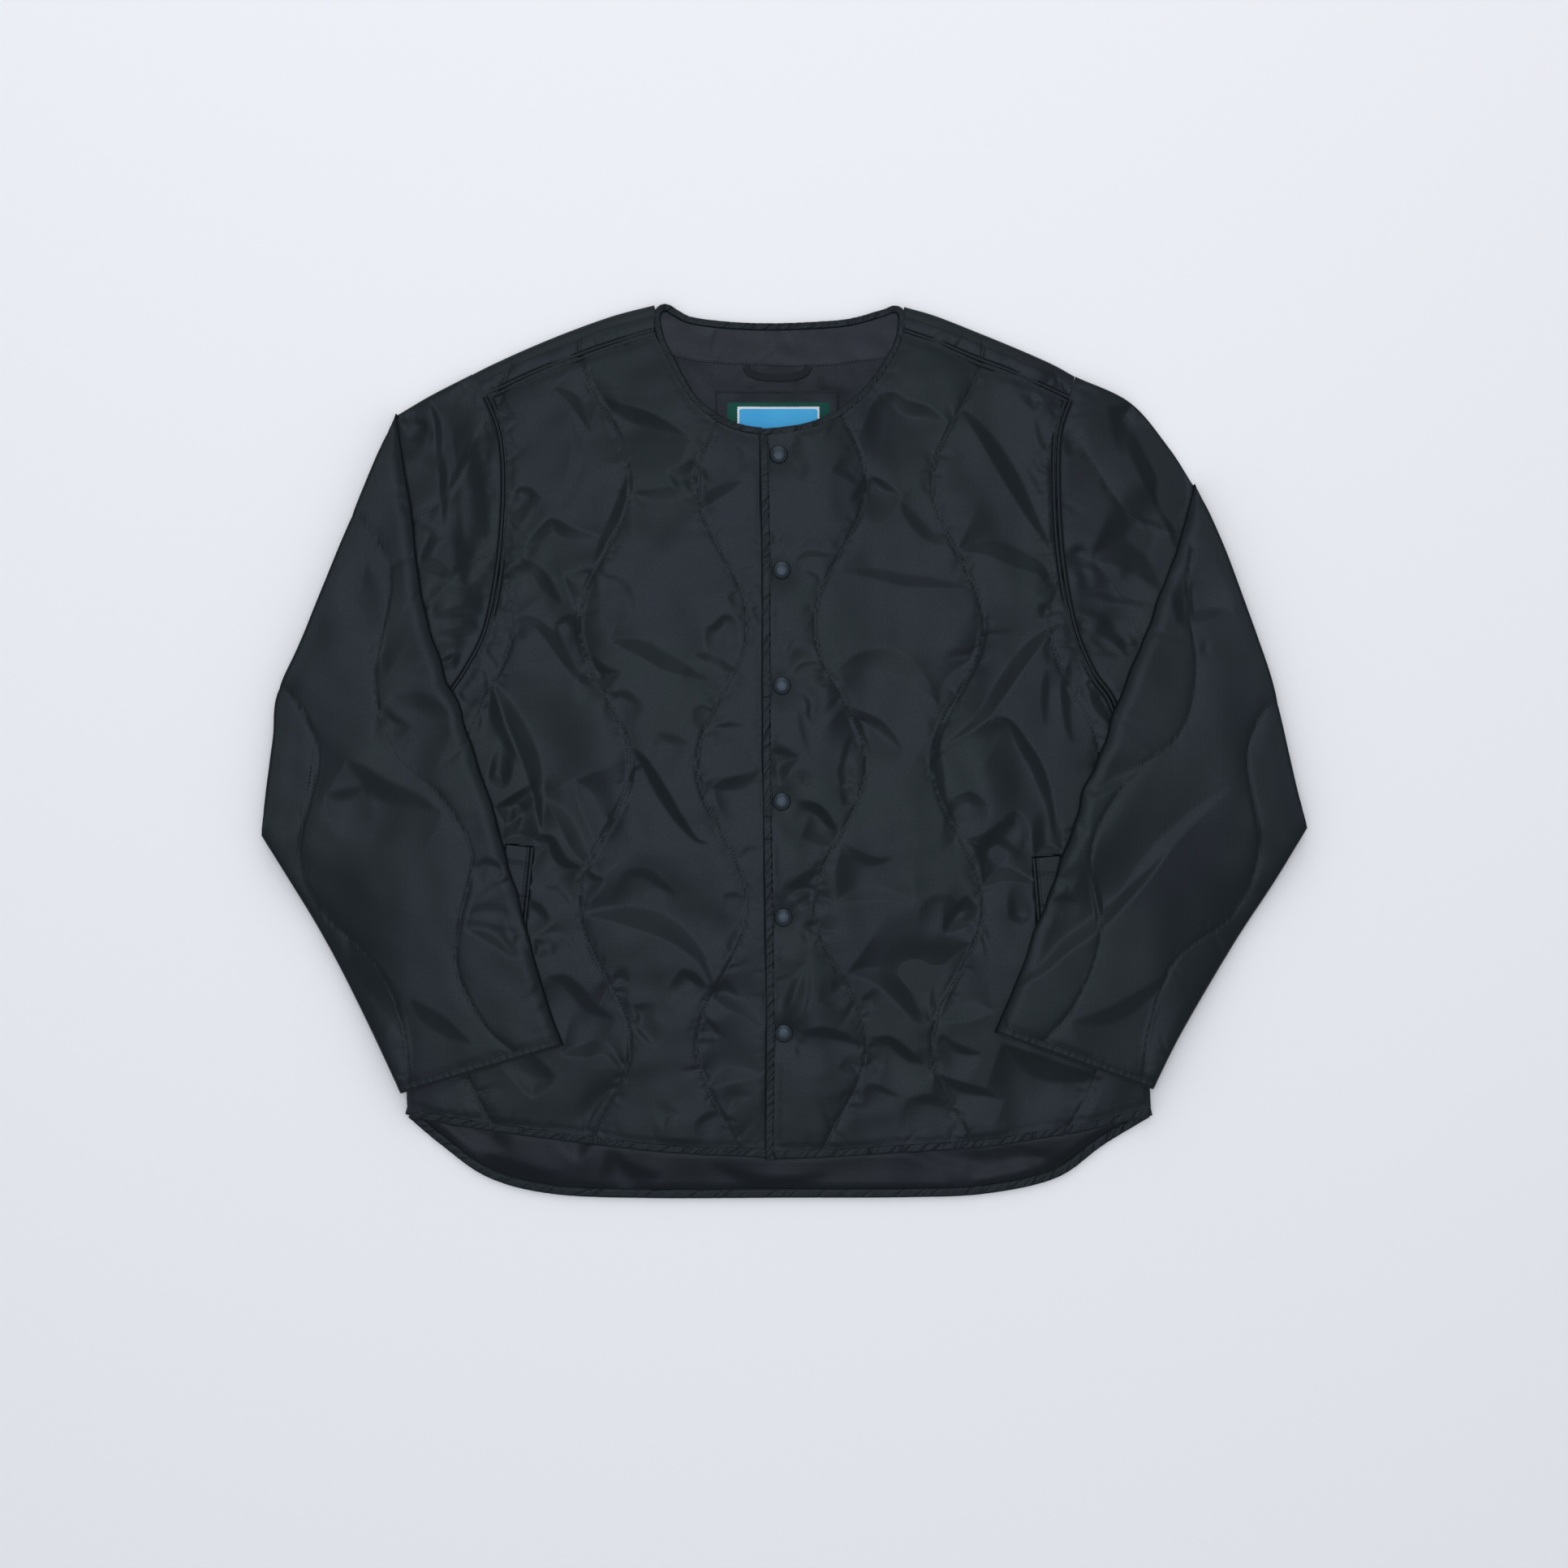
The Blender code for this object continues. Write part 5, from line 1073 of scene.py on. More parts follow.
class Panel:
    """A flat-cut piece of cloth, trimmed to its outline from a fine lattice."""

    def __init__(self, outline: Points, pitch: float, rows: Sequence[Points] = ()) -> None:
        """Trim the lattice.

        Args:
            outline: The cut edge, as a closed loop of plane points.
            pitch: Spacing of the lattice.
            rows: Rows of stitches from bottom to top, which edges of the mesh follow.
        """
        self.outline = outline
        low, high = outline.min(0) - pitch, outline.max(0) + pitch
        across, along = (int(c) for c in np.ceil((high - low) / pitch))
        self.lattice = Lattice(across, along)
        x, y = np.meshgrid(low[0] + pitch * np.arange(across + 1), low[1] + pitch * np.arange(along + 1))
        for row in rows:
            spots = np.interp(y[:, 0], row[:, 1], row[:, 0])
            columns = np.rint((spots - low[0]) / pitch).astype(int)
            columns = np.where((columns < 0) | (columns > across), -1, columns)
            used = np.flatnonzero(columns >= 0)
            x[used, columns[used]] = spots[used]
            self.lattice.crease(columns)
        self.bm = self.lattice.bm
        self.trim(np.column_stack([x.ravel(), y.ravel()]), pitch)

    def trim(self, plan: Points, pitch: float) -> None:
        """Snap the points near the outline onto it, and drop those outside.

        Args:
            plan: The lattice's points, which are moved.
            pitch: Their spacing.
        """
        loop = closed(self.outline)
        away, _, along = nearest(plan, loop, pitch)
        snap = away < 0.5 * pitch
        plan[snap] = at_length(loop, along[snap])
        kept = inside(plan, self.outline) | snap
        self.lattice.place(raised(plan, 0.0))
        self.bm.verts.index_update()
        for face in [f for f in self.lattice.faces if len(f.verts) == 4]:
            lost = [k for k, v in enumerate(face.verts) if not kept[v.index]]
            if len(lost) == 1:
                verts = list(face.verts)
                bmesh.utils.face_split(face, verts[lost[0] - 1], verts[(lost[0] + 1) % 4])
        loose = [v for v, keep in zip(self.lattice.verts, kept) if not keep]
        outside = [f for f in self.bm.faces if all(snap[v.index] for v in f.verts)
                   and not inside(np.array([f.calc_center_median()[:2]]) / MM, self.outline)[0]]
        bmesh.ops.delete(self.bm, geom=outside, context="FACES")
        bmesh.ops.delete(self.bm, geom=loose, context="VERTS")
        stray = [v for v in self.bm.verts if not v.link_faces]
        bmesh.ops.delete(self.bm, geom=stray, context="VERTS")

    def build(self, top: Height, under: Height) -> bmesh.types.BMesh:
        """Raise the cloth and close it below.

        Args:
            top: Height of the upper face at plane points.
            under: Height of the underside.

        Returns:
            The closed mesh.
        """
        upper = list(self.bm.verts)
        rim = [e for e in self.bm.edges if e.is_boundary]
        made = bmesh.ops.extrude_edge_only(self.bm, edges=rim)["geom"]
        lower = [v for v in made if isinstance(v, bmesh.types.BMVert)]
        for verts, height in ((upper, top), (lower, under)):
            plan = np.array([v.co[:2] for v in verts]) / MM
            for vert, z in zip(verts, (height(plan) * MM).tolist()):
                vert.co.z = z
        edges = [e for e in made if isinstance(e, bmesh.types.BMEdge) and e.is_boundary]
        bmesh.ops.triangle_fill(self.bm, use_beauty=True, edges=edges, normal=(0, 0, -1))
        return self.bm


@dataclass(frozen=True)
class Tape:
    """A band of cloth with a rounded section, swept along a path."""

    name: str
    path: Points
    width: float
    low: Points | float
    tall: float
    finish: ClothFinish = TAPE
    replaces: tuple = ()
    grooves: tuple = ()            # (place across, depth, width) of each row of stitches
    pucker: float = 0.35
    pucker_pitch: float = 6.0
    slant: float = 0.9
    full: float = 0.5              # 0.5 is an oval section, and less is squarer
    seed: int = 1
    around: int = 16               # faces over the top of the band

    def build(self) -> None:
        """Sweep the band, close its ends and publish it."""
        end = lengths(self.path)[-1]
        count = max(4, round(end / TAPE_STEP) + 1)
        line = even(self.path, count=count)
        levels = np.reshape(np.broadcast_to(self.low, len(self.path)), (-1, 1))
        low = read(levels, np.linspace(0, 1, count))
        over = np.linspace(0, math.pi, self.around + 1)
        angle = np.append(over, np.linspace(math.pi, 2 * math.pi, TAPE_UNDER + 1)[1:])
        side_share = np.cos(angle)
        across = self.width / 2 * side_share
        top = np.sin(angle) > 1e-6
        curve = (1 - np.abs(side_share) ** (1 / self.full)) ** self.full
        rise = np.where(top, TAPE_EDGE + (1 - TAPE_EDGE) * curve, 0.0)
        place = np.linspace(0, end, count)[:, None]
        height = self.tall * rise - self.tall * top * self.dips(place, across[None, :])
        for spot, depth, width in self.grooves:
            height = height - top * depth * np.exp(-((across - spot) / width) ** 2)
        rows = np.empty((count, len(angle), 3))
        rows[..., :2] = line[:, None] + normals(line)[:, None] * across[None, :, None]
        rows[..., 2] = low + np.maximum(height, 0)
        publish(swept(rows, capped=True), self.name, self.finish, self.replaces)

    def dips(self, place: Points, across: Points) -> Points:
        """Share of the height lost in the slanting puckers of the band.

        Args:
            place: Places along the band, as a column.
            across: Places across it, as a row.

        Returns:
            The share lost, with a row for each place along the band.
        """
        rng = np.random.default_rng(self.seed)
        result = np.zeros(np.broadcast_shapes(place.shape, across.shape))
        end = float(place[-1, 0])
        count = max(1, int(end / self.pucker_pitch))
        starts = (np.arange(count) + rng.uniform(0, 1, count)) * end / count
        deep = self.pucker * rng.uniform(0.1, 1.0, count) ** 1.5
        wide = rng.uniform(0.7, 1.5, count)
        lean = self.slant * rng.normal(1, 0.45, count)
        for start, depth, width, slope in zip(starts, deep, wide, lean):
            near = np.abs(place[:, 0] - start) < 3 * width + abs(slope) * self.width
            dip = depth * np.exp(-((place[near] - start - slope * across) / width) ** 2)
            result[near] = np.maximum(result[near], dip)
        return result


@dataclass
class Stitching:
    """Rows of stitches, all of one thread, in one mesh."""

    name: str
    pitch: float = 3.0
    length: float = 2.1
    thick: float = 0.55
    places: list = field(default_factory=list)
    headings: list = field(default_factory=list)

    def run(self, path: Points, height: Height | Points, lift: float = 0.0) -> None:
        """Add a row.

        Args:
            path: The row, in plan.
            height: Height of the cloth under it, as a function or for each point of the path.
            lift: How far the thread's middle lies above the cloth.
        """
        if callable(height):
            line = even(path, self.pitch)
            level = height(line)
        else:
            line = even(raised(path, height), self.pitch)
            line, level = line[:, :2], line[:, 2]
        points = raised(line, level + lift)
        step = np.diff(points, axis=0)
        self.places.append((points[1:] + points[:-1]) / 2)
        self.headings.append(step / np.linalg.norm(step, axis=1)[:, None])

    def build(self) -> None:
        """Copy one stitch along every row and publish the result."""
        unit = bmesh.new()
        bmesh.ops.create_uvsphere(unit, u_segments=5, v_segments=3, radius=0.5)
        corners = np.array([v.co[:] for v in unit.verts])
        faces = [[v.index for v in f.verts] for f in unit.faces]
        unit.free()
        spots, ahead = np.vstack(self.places), np.vstack(self.headings)
        side = np.cross(np.array([0.0, 0.0, 1.0]), ahead)
        side /= np.linalg.norm(side, axis=1)[:, None]
        up = np.cross(ahead, side)
        grown = (spots[:, None] + ahead[:, None] * corners[None, :, 2:3] * self.length
                 + side[:, None] * corners[None, :, 0:1] * self.thick
                 + up[:, None] * corners[None, :, 1:2] * self.thick)
        mesh = bpy.data.meshes.new("stitches")
        first = np.arange(len(spots)) * len(corners)
        mesh.from_pydata((grown.reshape(-1, 3) * MM).tolist(), [],
                         [[i + start for i in face] for start in first.tolist() for face in faces])
        bm = bmesh.new()
        bm.from_mesh(mesh)
        bpy.data.meshes.remove(mesh)
        publish(bm, self.name, THREAD)


# ============================ the fronts ============================

def front_edge() -> Points:
    """The bound edge of the left front, from neck to hem."""
    return spline(FRONT_EDGE, 6.0)


@dataclass
class Front:
    """One quilted front and what is sewn to it."""

    key: str
    side: SideCut
    on_top: bool
    seed: int
    hump_drop: float = 20.0        # from the patch's upper edge down to the middle of the rise over it
    hump_sides: float = 32.0       # how far the rise goes past the patch's sides
    hump_half: float = 58.0        # and up and down from its middle
    hump_flat: float = 0.8         # share of those sizes over which the rise is whole
    hump_fade: float = 0.9         # and over which it fades
    ring_sides: int = 24           # of the ring of puckers round a snap
    rows: list = field(default_factory=lambda: [quilt_row(k) for k in range(QUILT_ROWS)])

    def __post_init__(self) -> None:
        """Work out the edges and the relief."""
        side = self.side
        self.seam, self.arm = spline(side.shoulder_seam, 5.0), spline(side.armhole, 5.0)
        self.flank, self.hem = spline(side.side_seam, 8.0), spline(side.front_hem, 6.0)
        self.neck = spline(side.neck, 5.0)
        out = -1 if side is RIGHT else 1
        self.welt = even(np.array(side.welt) + np.array([out * WELT_WIDTH / 2, 0]), count=20)
        if self.on_top:
            self.middle = shifted(front_edge(), FRONT_BIND)
            self.hem[-1], self.neck[-1] = self.middle[-1], self.middle[0]
        else:
            self.middle = even(np.array([self.neck[-1], self.hem[-1]]), 8.0)
        self.outline = np.vstack([self.seam[:-1], self.arm[:-1], self.flank[:-1], self.hem[:-1],
                                  self.middle[:0:-1], self.neck[:0:-1]])
        self.relief = self.reliefs()

    def reliefs(self) -> list:
        """Listed creases, puckers at every row of stitches, and faint waves.

        Returns:
            The relief's parts, in the order in which they are added.
        """
        s = self.seed
        result = list(self.side.front_creases)
        for k, row in enumerate(self.rows):
            result.append(Puckers(row, pitch=8.0, reach=8.0, depth=1.1, seed=s + k))
            result.append(Puckers(row, pitch=34.0, reach=20.0, depth=1.1, seed=s + 20 + k, width=3.0))
        arm_stitch = shifted(self.arm, TWIN_STITCH * (-1 if self.side is LEFT else 1))
        edge = self.middle if self.on_top else front_edge()
        result += [
            Puckers(arm_stitch, pitch=7.0, reach=15.0, depth=1.2, seed=s + 40),
            Puckers(self.seam, pitch=9.0, reach=14.0, depth=0.7, seed=s + 41),
            Puckers(self.neck, pitch=8.0, reach=9.0, depth=0.7, seed=s + 42),
            Puckers(self.hem, pitch=7.0, reach=10.0, depth=0.8, seed=s + 43),
            Puckers(edge, pitch=7.0, reach=11.0, depth=0.8, seed=s + 44),
            Ripple(length=80.0, height=0.35, seed=s + 50),
            Ripple(length=32.0, height=0.1, seed=s + 52),
        ]
        if self.on_top:
            for k, (x, y) in enumerate(SNAPS):
                ring = np.array([(x + SNAP_RADIUS * math.cos(a), y + SNAP_RADIUS * math.sin(a))
                                 for a in np.linspace(0, 2 * math.pi, self.ring_sides + 1)])
                result.append(Puckers(ring, pitch=7.0, reach=14.0, depth=0.7, seed=s + 60 + k, sides=(-1,)))
        return result

    def padding(self, points: Points) -> Points:
        """Thickness of the padded wall at each point.

        Args:
            points: Plane points.

        Returns:
            The thicknesses.
        """
        gap = least(points, self.rows, PUFF_REACH)
        rim = shifted(self.middle, BIND_LAP) if self.on_top else front_edge()
        edge = np.full(len(points), PUFF_REACH)
        for line, inset in ((self.seam, TWIN_STITCH), (self.arm, TWIN_STITCH), (self.flank, BIND_LAP),
                            (self.hem, BIND_LAP), (self.neck, BIND_LAP), (rim, 0.0)):
            edge = np.minimum(edge, np.maximum(nearest(points, line, PUFF_REACH)[0] - inset, 0))
        thick = quilted(points, gap, edge, PUFF_WALL, self.seed + 90)
        thick = thick + held(points, self.relief, np.minimum(gap, edge))
        pressed = ease(self.welt_gap(points) / WELT_EASE)
        thick = np.minimum(thick, WELT_PANEL + (PUFF_WALL + 1.0 - WELT_PANEL) * pressed)
        if self.on_top:
            for snap in SNAPS:
                away = np.hypot(*(points - np.array(snap)).T)
                share = np.clip((away - SNAP_RADIUS) / SNAP_EASE, 0, 1)
                thick = SNAP_WALL + (thick - SNAP_WALL) * (1 - (1 - share) ** 2)
        else:
            edge_x = np.interp(-points[:, 1], [-y for _, y in FRONT_EDGE], [x for x, _ in FRONT_EDGE])
            free = edge_x + UNDERLAP_START - points[:, 0]
            rise = STEP_SHARE * ease(free / UNDERLAP_STEP) + (1 - STEP_SHARE) * ease(free / UNDERLAP_RISE)
            thick = UNDERLAP_WALL + (thick - UNDERLAP_WALL) * rise
        return np.maximum(thick, THIN_WALL)

    def welt_gap(self, points: Points) -> Points:
        """Distance outside the welt's rectangle, along or across it.

        Args:
            points: Plane points.

        Returns:
            The distances, below 0 inside it.
        """
        run = self.welt[-1] - self.welt[0]
        size = np.linalg.norm(run)
        along = (points - self.welt[0]) @ run / size
        across = np.abs((points - self.welt[0]) @ np.array([-run[1], run[0]]) / size)
        return np.maximum(np.maximum(-along, along - size), across - WELT_WIDTH / 2)

    def underside(self, points: Points) -> Points:
        """Height of the plain inner face.

        Args:
            points: Plane points.

        Returns:
            The heights.
        """
        centre = np.array([(PATCH[0] + PATCH[2]) / 2, PATCH[3] - self.hump_drop])
        spread = np.array([(PATCH[2] - PATCH[0]) / 2 + self.hump_sides, self.hump_half])
        near = np.linalg.norm((points - centre) / spread, axis=1)
        height = FRONT_Z + PATCH_RISE * (1 - ease((near - self.hump_flat) / self.hump_fade))
        if self.on_top:
            climb = 1 - ease((points[:, 0] - UNDERLAP_CLIMB) / UNDERLAP_RISE)
            height = height + (UNDERLAP_WALL + GAP) * climb
        return height

    def top(self, points: Points) -> Points:
        """Height of the outer face."""
        return self.underside(points) + self.padding(points)

    def build(self, thread: Stitching) -> None:
        """Make the panel and stitch its quilting.

        Args:
            thread: Takes the rows of stitches.
        """
        panel = Panel(self.outline, CLOTH_PITCH, self.rows)
        cloth = publish(panel.build(self.top, self.underside), "front_cloth_" + self.key, SATIN,
                        ["front_" + self.key])
        size = np.ptp(self.outline, axis=0) * MM
        area_of(self.outline)
        for row in self.rows:
            line = even(row, 2.0)
            away = nearest(line, closed(self.outline), STITCH_CLEAR + 1.0)[0]
            fits = inside(line, self.outline) & (away > STITCH_CLEAR)
            if not self.on_top:
                fits &= line[:, 0] < FRONT_EDGE[2][0] - STITCH_CLEAR
            for group in np.split(np.arange(len(line)), np.flatnonzero(np.diff(fits)) + 1):
                if fits[group[0]] and len(group) > 4:
                    thread.run(line[group], self.top)


# ============================ the sleeves ============================

class Leg(IntEnum):
    """Stretches of a sleeve."""

    LOW = 0        # from the armhole to the fold
    HIGH = 1       # from the fold to the cuff
    TURN = 2       # round the fold


@dataclass
class Sleeve:
    """A flat tube from the armhole to the cuff, folded forward over itself on the way."""

    key: str
    side: SideCut
    seed: int
    wall_faces: int = 106          # across one wall, with the rounded edges
    edge_faces: int = 6            # round each long edge
    edge_radius: float = 2.6
    low_rings: int = 54
    turn_rings: int = 26
    up_rings: int = 206
    inner_step: int = 9            # the inside has one ring for this many outside
    inner_share: float = 0.06      # how far the inside stands open
    inner_inset: float = 2.2       # how far it stays from the long edges
    low_wall: float = UNDER_WALL + 1.2
    low_open: float = 1.2          # how much the lower stretch stands open at the armhole
    rim_power: float = 0.55        # below 1, the long edges are squarer than a circle
    turn_powers: tuple = (0.15, 0.3)   # the same for the turn, outward and upward
    turn_middle: float = 0.3       # least share of the turn's reach that its hollow takes
    turn_inner: float = 0.15       # and its inner wall
    under_thin: float = 0.35       # thinning of the underarm edge, as a share of the overarm one's
    cuff_pull: float = 0.35        # how much of the sleeve's thickness the binding draws in
    cuff_waves: tuple = (0.22, 0.9, 5.3)   # height of the binding's waves and their two lengths
    cuff_inside: tuple = (-0.6, -7.0)      # where the binding lies on the inside

    def __post_init__(self) -> None:
        """Work out the edges in plan."""
        side = self.side
        self.turn = 1 if side is RIGHT else -1
        arm = np.vstack([[side.overarm_low[0]], np.asarray(side.armhole)])
        self.armhole = shifted(spline(arm, count=CURVE_COUNT), -self.turn * GAP)
        fold = spline(side.fold, count=CURVE_COUNT)
        self.outward = -normals(fold) * self.turn
        self.fold = fold - self.outward * self.fold_reach(np.linspace(0, 1, CURVE_COUNT))[:, None]
        self.over = spline(side.overarm_up, count=CURVE_COUNT)
        fade = np.sin(np.linspace(0, math.pi, CURVE_COUNT))
        sway = Ripple(38.0, 0.9, self.seed + 60).at(self.over) * fade
        self.over = self.over + normals(self.over) * sway[:, None]
        self.under = spline(side.underarm_up, count=CURVE_COUNT)
        self.over_low = spline(side.overarm_low, count=CURVE_COUNT)
        self.under_low = spline(side.underarm_low, count=CURVE_COUNT)
        self.cuff = even(np.array([self.over[-1], self.under[-1]]), count=CURVE_COUNT)
        self.plan_rows_up = [spline(row, 6.0) for row in side.rows_up]
        self.plan_rows_low = [spline(row, 6.0) for row in side.rows_low]
        self.rows_up = [self.places(row, Leg.HIGH) for row in self.plan_rows_up]
        self.rows_low = [self.places(row, Leg.LOW) for row in self.plan_rows_low]
        s = self.seed
        arm_line = shifted(self.armhole, -self.turn * TWIN_STITCH)
        self.relief_up = list(side.sleeve_creases) + [
            Puckers(self.cuff, pitch=8.0, reach=12.0, depth=0.7, seed=s + 1),
            Puckers(self.over, pitch=22.0, reach=26.0, depth=1.1, seed=s + 2, width=2.6),
            Puckers(self.under, pitch=26.0, reach=20.0, depth=0.9, seed=s + 3, width=2.6),
            Ripple(length=90.0, height=0.2, seed=s + 4),
            Ripple(length=36.0, height=0.1, seed=s + 6),
        ] + [Puckers(row, pitch=17.0, reach=10.0, depth=0.4, seed=s + 10 + k)
             for k, row in enumerate(self.plan_rows_up)]
        self.relief_low = list(side.cap_creases) + [
            Puckers(arm_line, pitch=6.5, reach=22.0, depth=1.3, seed=s + 20, width=1.8),
            Ripple(length=60.0, height=0.35, seed=s + 21),
        ] + [Puckers(row, pitch=12.0, reach=9.0, depth=0.5, seed=s + 30 + k)
             for k, row in enumerate(self.plan_rows_low)]

    @staticmethod
    def fold_reach(t: Points) -> Points:
        """How far the turn bulges outward, tapering to both long edges."""
        return 0.5 + (FOLD_INSET - 0.5) * ease(np.minimum(t, 1 - t) / 0.08)

    def patch(self, leg: int, s: Points, t: Points) -> Points:
        """Plane points of one stretch.

        Args:
            leg: The lower or the upper one.
            s: Share of the way along it.
            t: Share of the way across it, from the overarm to the underarm.

        Returns:
            The points.
        """
        s, t = np.broadcast_arrays(np.asarray(s, float), np.asarray(t, float))
        first, last, over, under = (self.armhole, self.fold, self.over_low, self.under_low)
        if leg:
            first, last, over, under = (self.fold, self.cuff, self.over, self.under)
        ruled = read(first, t) * (1 - s)[..., None] + read(last, t) * s[..., None]
        for rim, near in ((over, 1 - t), (under, t)):
            straight = rim[0] + (rim[-1] - rim[0]) * s[..., None]
            ruled = ruled + (read(rim, s) - straight) * near[..., None]
        return ruled

    def places(self, row: Points, leg: int) -> Points:
        """A quilting row's (s, t) places on one stretch, in order of s.

        Args:
            row: The row's plane points.
            leg: The lower or the upper stretch.

        Returns:
            The places.
        """
        shares = np.linspace(0, 1, 121)
        s, t = np.meshgrid(shares, shares, indexing="ij")
        grid = self.patch(leg, s, t)
        found = []
        for point in row:
            k = int(np.argmin(((grid - point) ** 2).sum(-1)))
            found.append((s.flat[k], t.flat[k]))
        return np.array(sorted(found))

    def stations(self) -> list[tuple]:
        """(stretch, s, angle) of each ring, from the armhole to the cuff.

        Returns:
            The rings.
        """
        rings = [(Leg.LOW, s, -90.0) for s in np.linspace(0, 1, self.low_rings + 1)[:-1]]
        part = np.linspace(-1, 1, self.turn_rings + 1)
        rings += [(Leg.TURN, 0.0, a) for a in 90.0 * np.sign(part) * (1 - (1 - np.abs(part)) ** 2)]
        return rings + [(Leg.HIGH, s, 90.0) for s in np.linspace(0, 1, self.up_rings + 1)[1:]]

    def sag(self, points: Points) -> Points:
        """0 where the folded-over stretch is carried, 1 where it hangs to the floor.

        Args:
            points: Plane points.

        Returns:
            A share for each point.
        """
        flank = spline(self.side.side_seam, 10.0)
        edge = np.interp(points[:, 1], flank[::-1, 1], flank[::-1, 0])
        beyond = -self.turn * (points[:, 0] - edge)
        rim = self.under_low[np.argsort(self.under_low[:, 0])]
        below = np.interp(points[:, 0], rim[:, 0], rim[:, 1]) - points[:, 1]
        return ease(beyond / SAG_REACH) * ease(below / SAG_REACH)

    def columns(self, leg: int, s: float) -> tuple[Points, Points]:
        """Places across one wall of a ring.

        Args:
            leg: The lower or the upper stretch.
            s: Share of the way along it.

        Returns:
            The places t, and how full the wall is there, from 0 at an edge to 1.
        """
        across = self.patch(leg, s, np.linspace(0, 1, 41))
        width = lengths(across)[-1]
        turn = np.linspace(0, math.pi / 2, self.edge_faces + 1)
        rim = self.edge_radius / width * (1 - np.cos(turn))
        middle = np.linspace(rim[-1], 1 - rim[-1], self.wall_faces - 2 * self.edge_faces + 1)
        t = np.concatenate([rim[:-1], middle, (1 - rim[:-1])[::-1]])
        full = np.sin(turn)[:-1] ** self.rim_power
        bend = np.concatenate([full, np.ones(len(middle)), full[::-1]])
        return t, bend

    def snapped(self, t: Points, s: float, rows: Sequence[Points]) -> tuple[Points, list]:
        """Move the nearest column onto each quilting row.

        Args:
            t: Places across the wall.
            s: Share of the way along the stretch.
            rows: The stretch's rows.

        Returns:
            The places moved, and the number of each row's column, or -1 where it has ended.
        """
        t, found = t.copy(), []
        for row in rows:
            if not row[0, 0] <= s <= row[-1, 0]:
                found.append(-1)
                continue
            spot = float(np.interp(s, row[:, 0], row[:, 1]))
            column = int(np.abs(t - spot).argmin())
            if self.edge_faces < column < self.wall_faces - self.edge_faces:
                t[column] = spot
                found.append(column)
            else:
                found.append(-1)
        return t, found

    def build(self, thread: Stitching) -> None:
        """Make the sleeve as one closed tube and stitch its quilting.

        Args:
            thread: Takes the rows of stitches.
        """
        n = self.wall_faces
        stations = self.stations()
        back_t, front_t, bend, back_columns, front_columns = [], [], [], [], []
        for leg, s, _ in stations:
            low = leg == Leg.LOW
            t, fullness = self.columns(Leg.LOW if low else Leg.HIGH, s)
            upper, found_up = (t, [-1, -1]) if low else self.snapped(t, s, self.rows_up)
            lower, found_low = self.snapped(t, s, self.rows_low) if low else (t, [-1, -1])
            back_t.append(upper)
            front_t.append(lower)
            bend.append(fullness)
            back_columns.append(found_up)
            front_columns.append(found_low)
        back_t, front_t, bend = np.array(back_t), np.array(front_t), np.array(bend)
        back = self.surface(np.array(stations), back_t, bend, True)
        front = self.surface(np.array(stations), front_t, bend, False)
        tube = np.concatenate([back, front[:, n - 1:0:-1], back[:, :1]], axis=1)
        keep = np.unique(np.append(np.arange(0, len(stations), self.inner_step), len(stations) - 1))
        inner = self.lumen(tube)
        rings = np.concatenate([tube, inner[keep][::-1], tube[:1]])
        lattice = Lattice(2 * n, len(rings) - 1)
        inside_none = [-1] * (len(rings) - len(stations))
        for k in (0, 1):
            lattice.crease([c[k] for c in back_columns] + inside_none)
            lattice.crease([2 * n - c[k] if c[k] >= 0 else -1 for c in front_columns] + inside_none)
        lattice.place(rings)
        cloth = publish(lattice.close(), "sleeve_cloth_" + self.key, SATIN, ["sleeve_" + self.key])
        self.cuff_before, self.cuff_ring, self.cuff_inner = tube[-4], tube[-1], inner[-1]
        for k in (0, 1):
            for grid, chosen in ((back, back_columns), (front, front_columns)):
                rows = [r for r, c in enumerate(chosen) if c[k] >= 0]
                if len(rows) > 4:
                    line = np.array([grid[r, chosen[r][k]] for r in rows])
                    thread.run(line[:, :2], line[:, 2])

    def surface(self, stations: Points, t: Points, bend: Points, back: bool) -> Points:
        """Outer points of one wall, ring by ring.

        Args:
            stations: The stretch, the share along it and the angle round the fold, for each ring.
            t: Places across the wall, for each ring.
            bend: How full the wall is at each place.
            back: True for the sleeve's back, which is on top once the sleeve is folded.

        Returns:
            The points, with a row for each ring.
        """
        result = np.empty((*t.shape, 3))
        for leg, lay, column in ((Leg.LOW, self.lay_low, 1), (Leg.HIGH, self.lay_high, 1),
                                 (Leg.TURN, self.lay_turn, 2)):
            rings = stations[:, 0] == leg
            result[rings] = lay(stations[rings, column, None], t[rings], bend[rings], back)
        return result

    def lay_low(self, share: Points, t: Points, bend: Points, back: bool) -> Points:
        """The lower stretch, flat on the front, by its share of the way along.

        Args:
            share: Share of the way along, for each ring.
            t: Places across the wall.
            bend: How full the wall is at each place.
            back: True for the sleeve's back.

        Returns:
            The points.
        """
        plan = self.patch(Leg.LOW, share, t)
        if back:
            height = (TUBE_WALL + GAP / 2) * (1 - bend)
        else:
            lumen = TUBE_WALL + GAP + self.low_open * (1 - share) ** 2
            pad = self.padding(plan.reshape(-1, 2), Leg.LOW).reshape(t.shape)
            height = lumen + (pad - GAP / 2) * bend - GAP / 2 * (1 - bend)
        return np.dstack([plan, height])

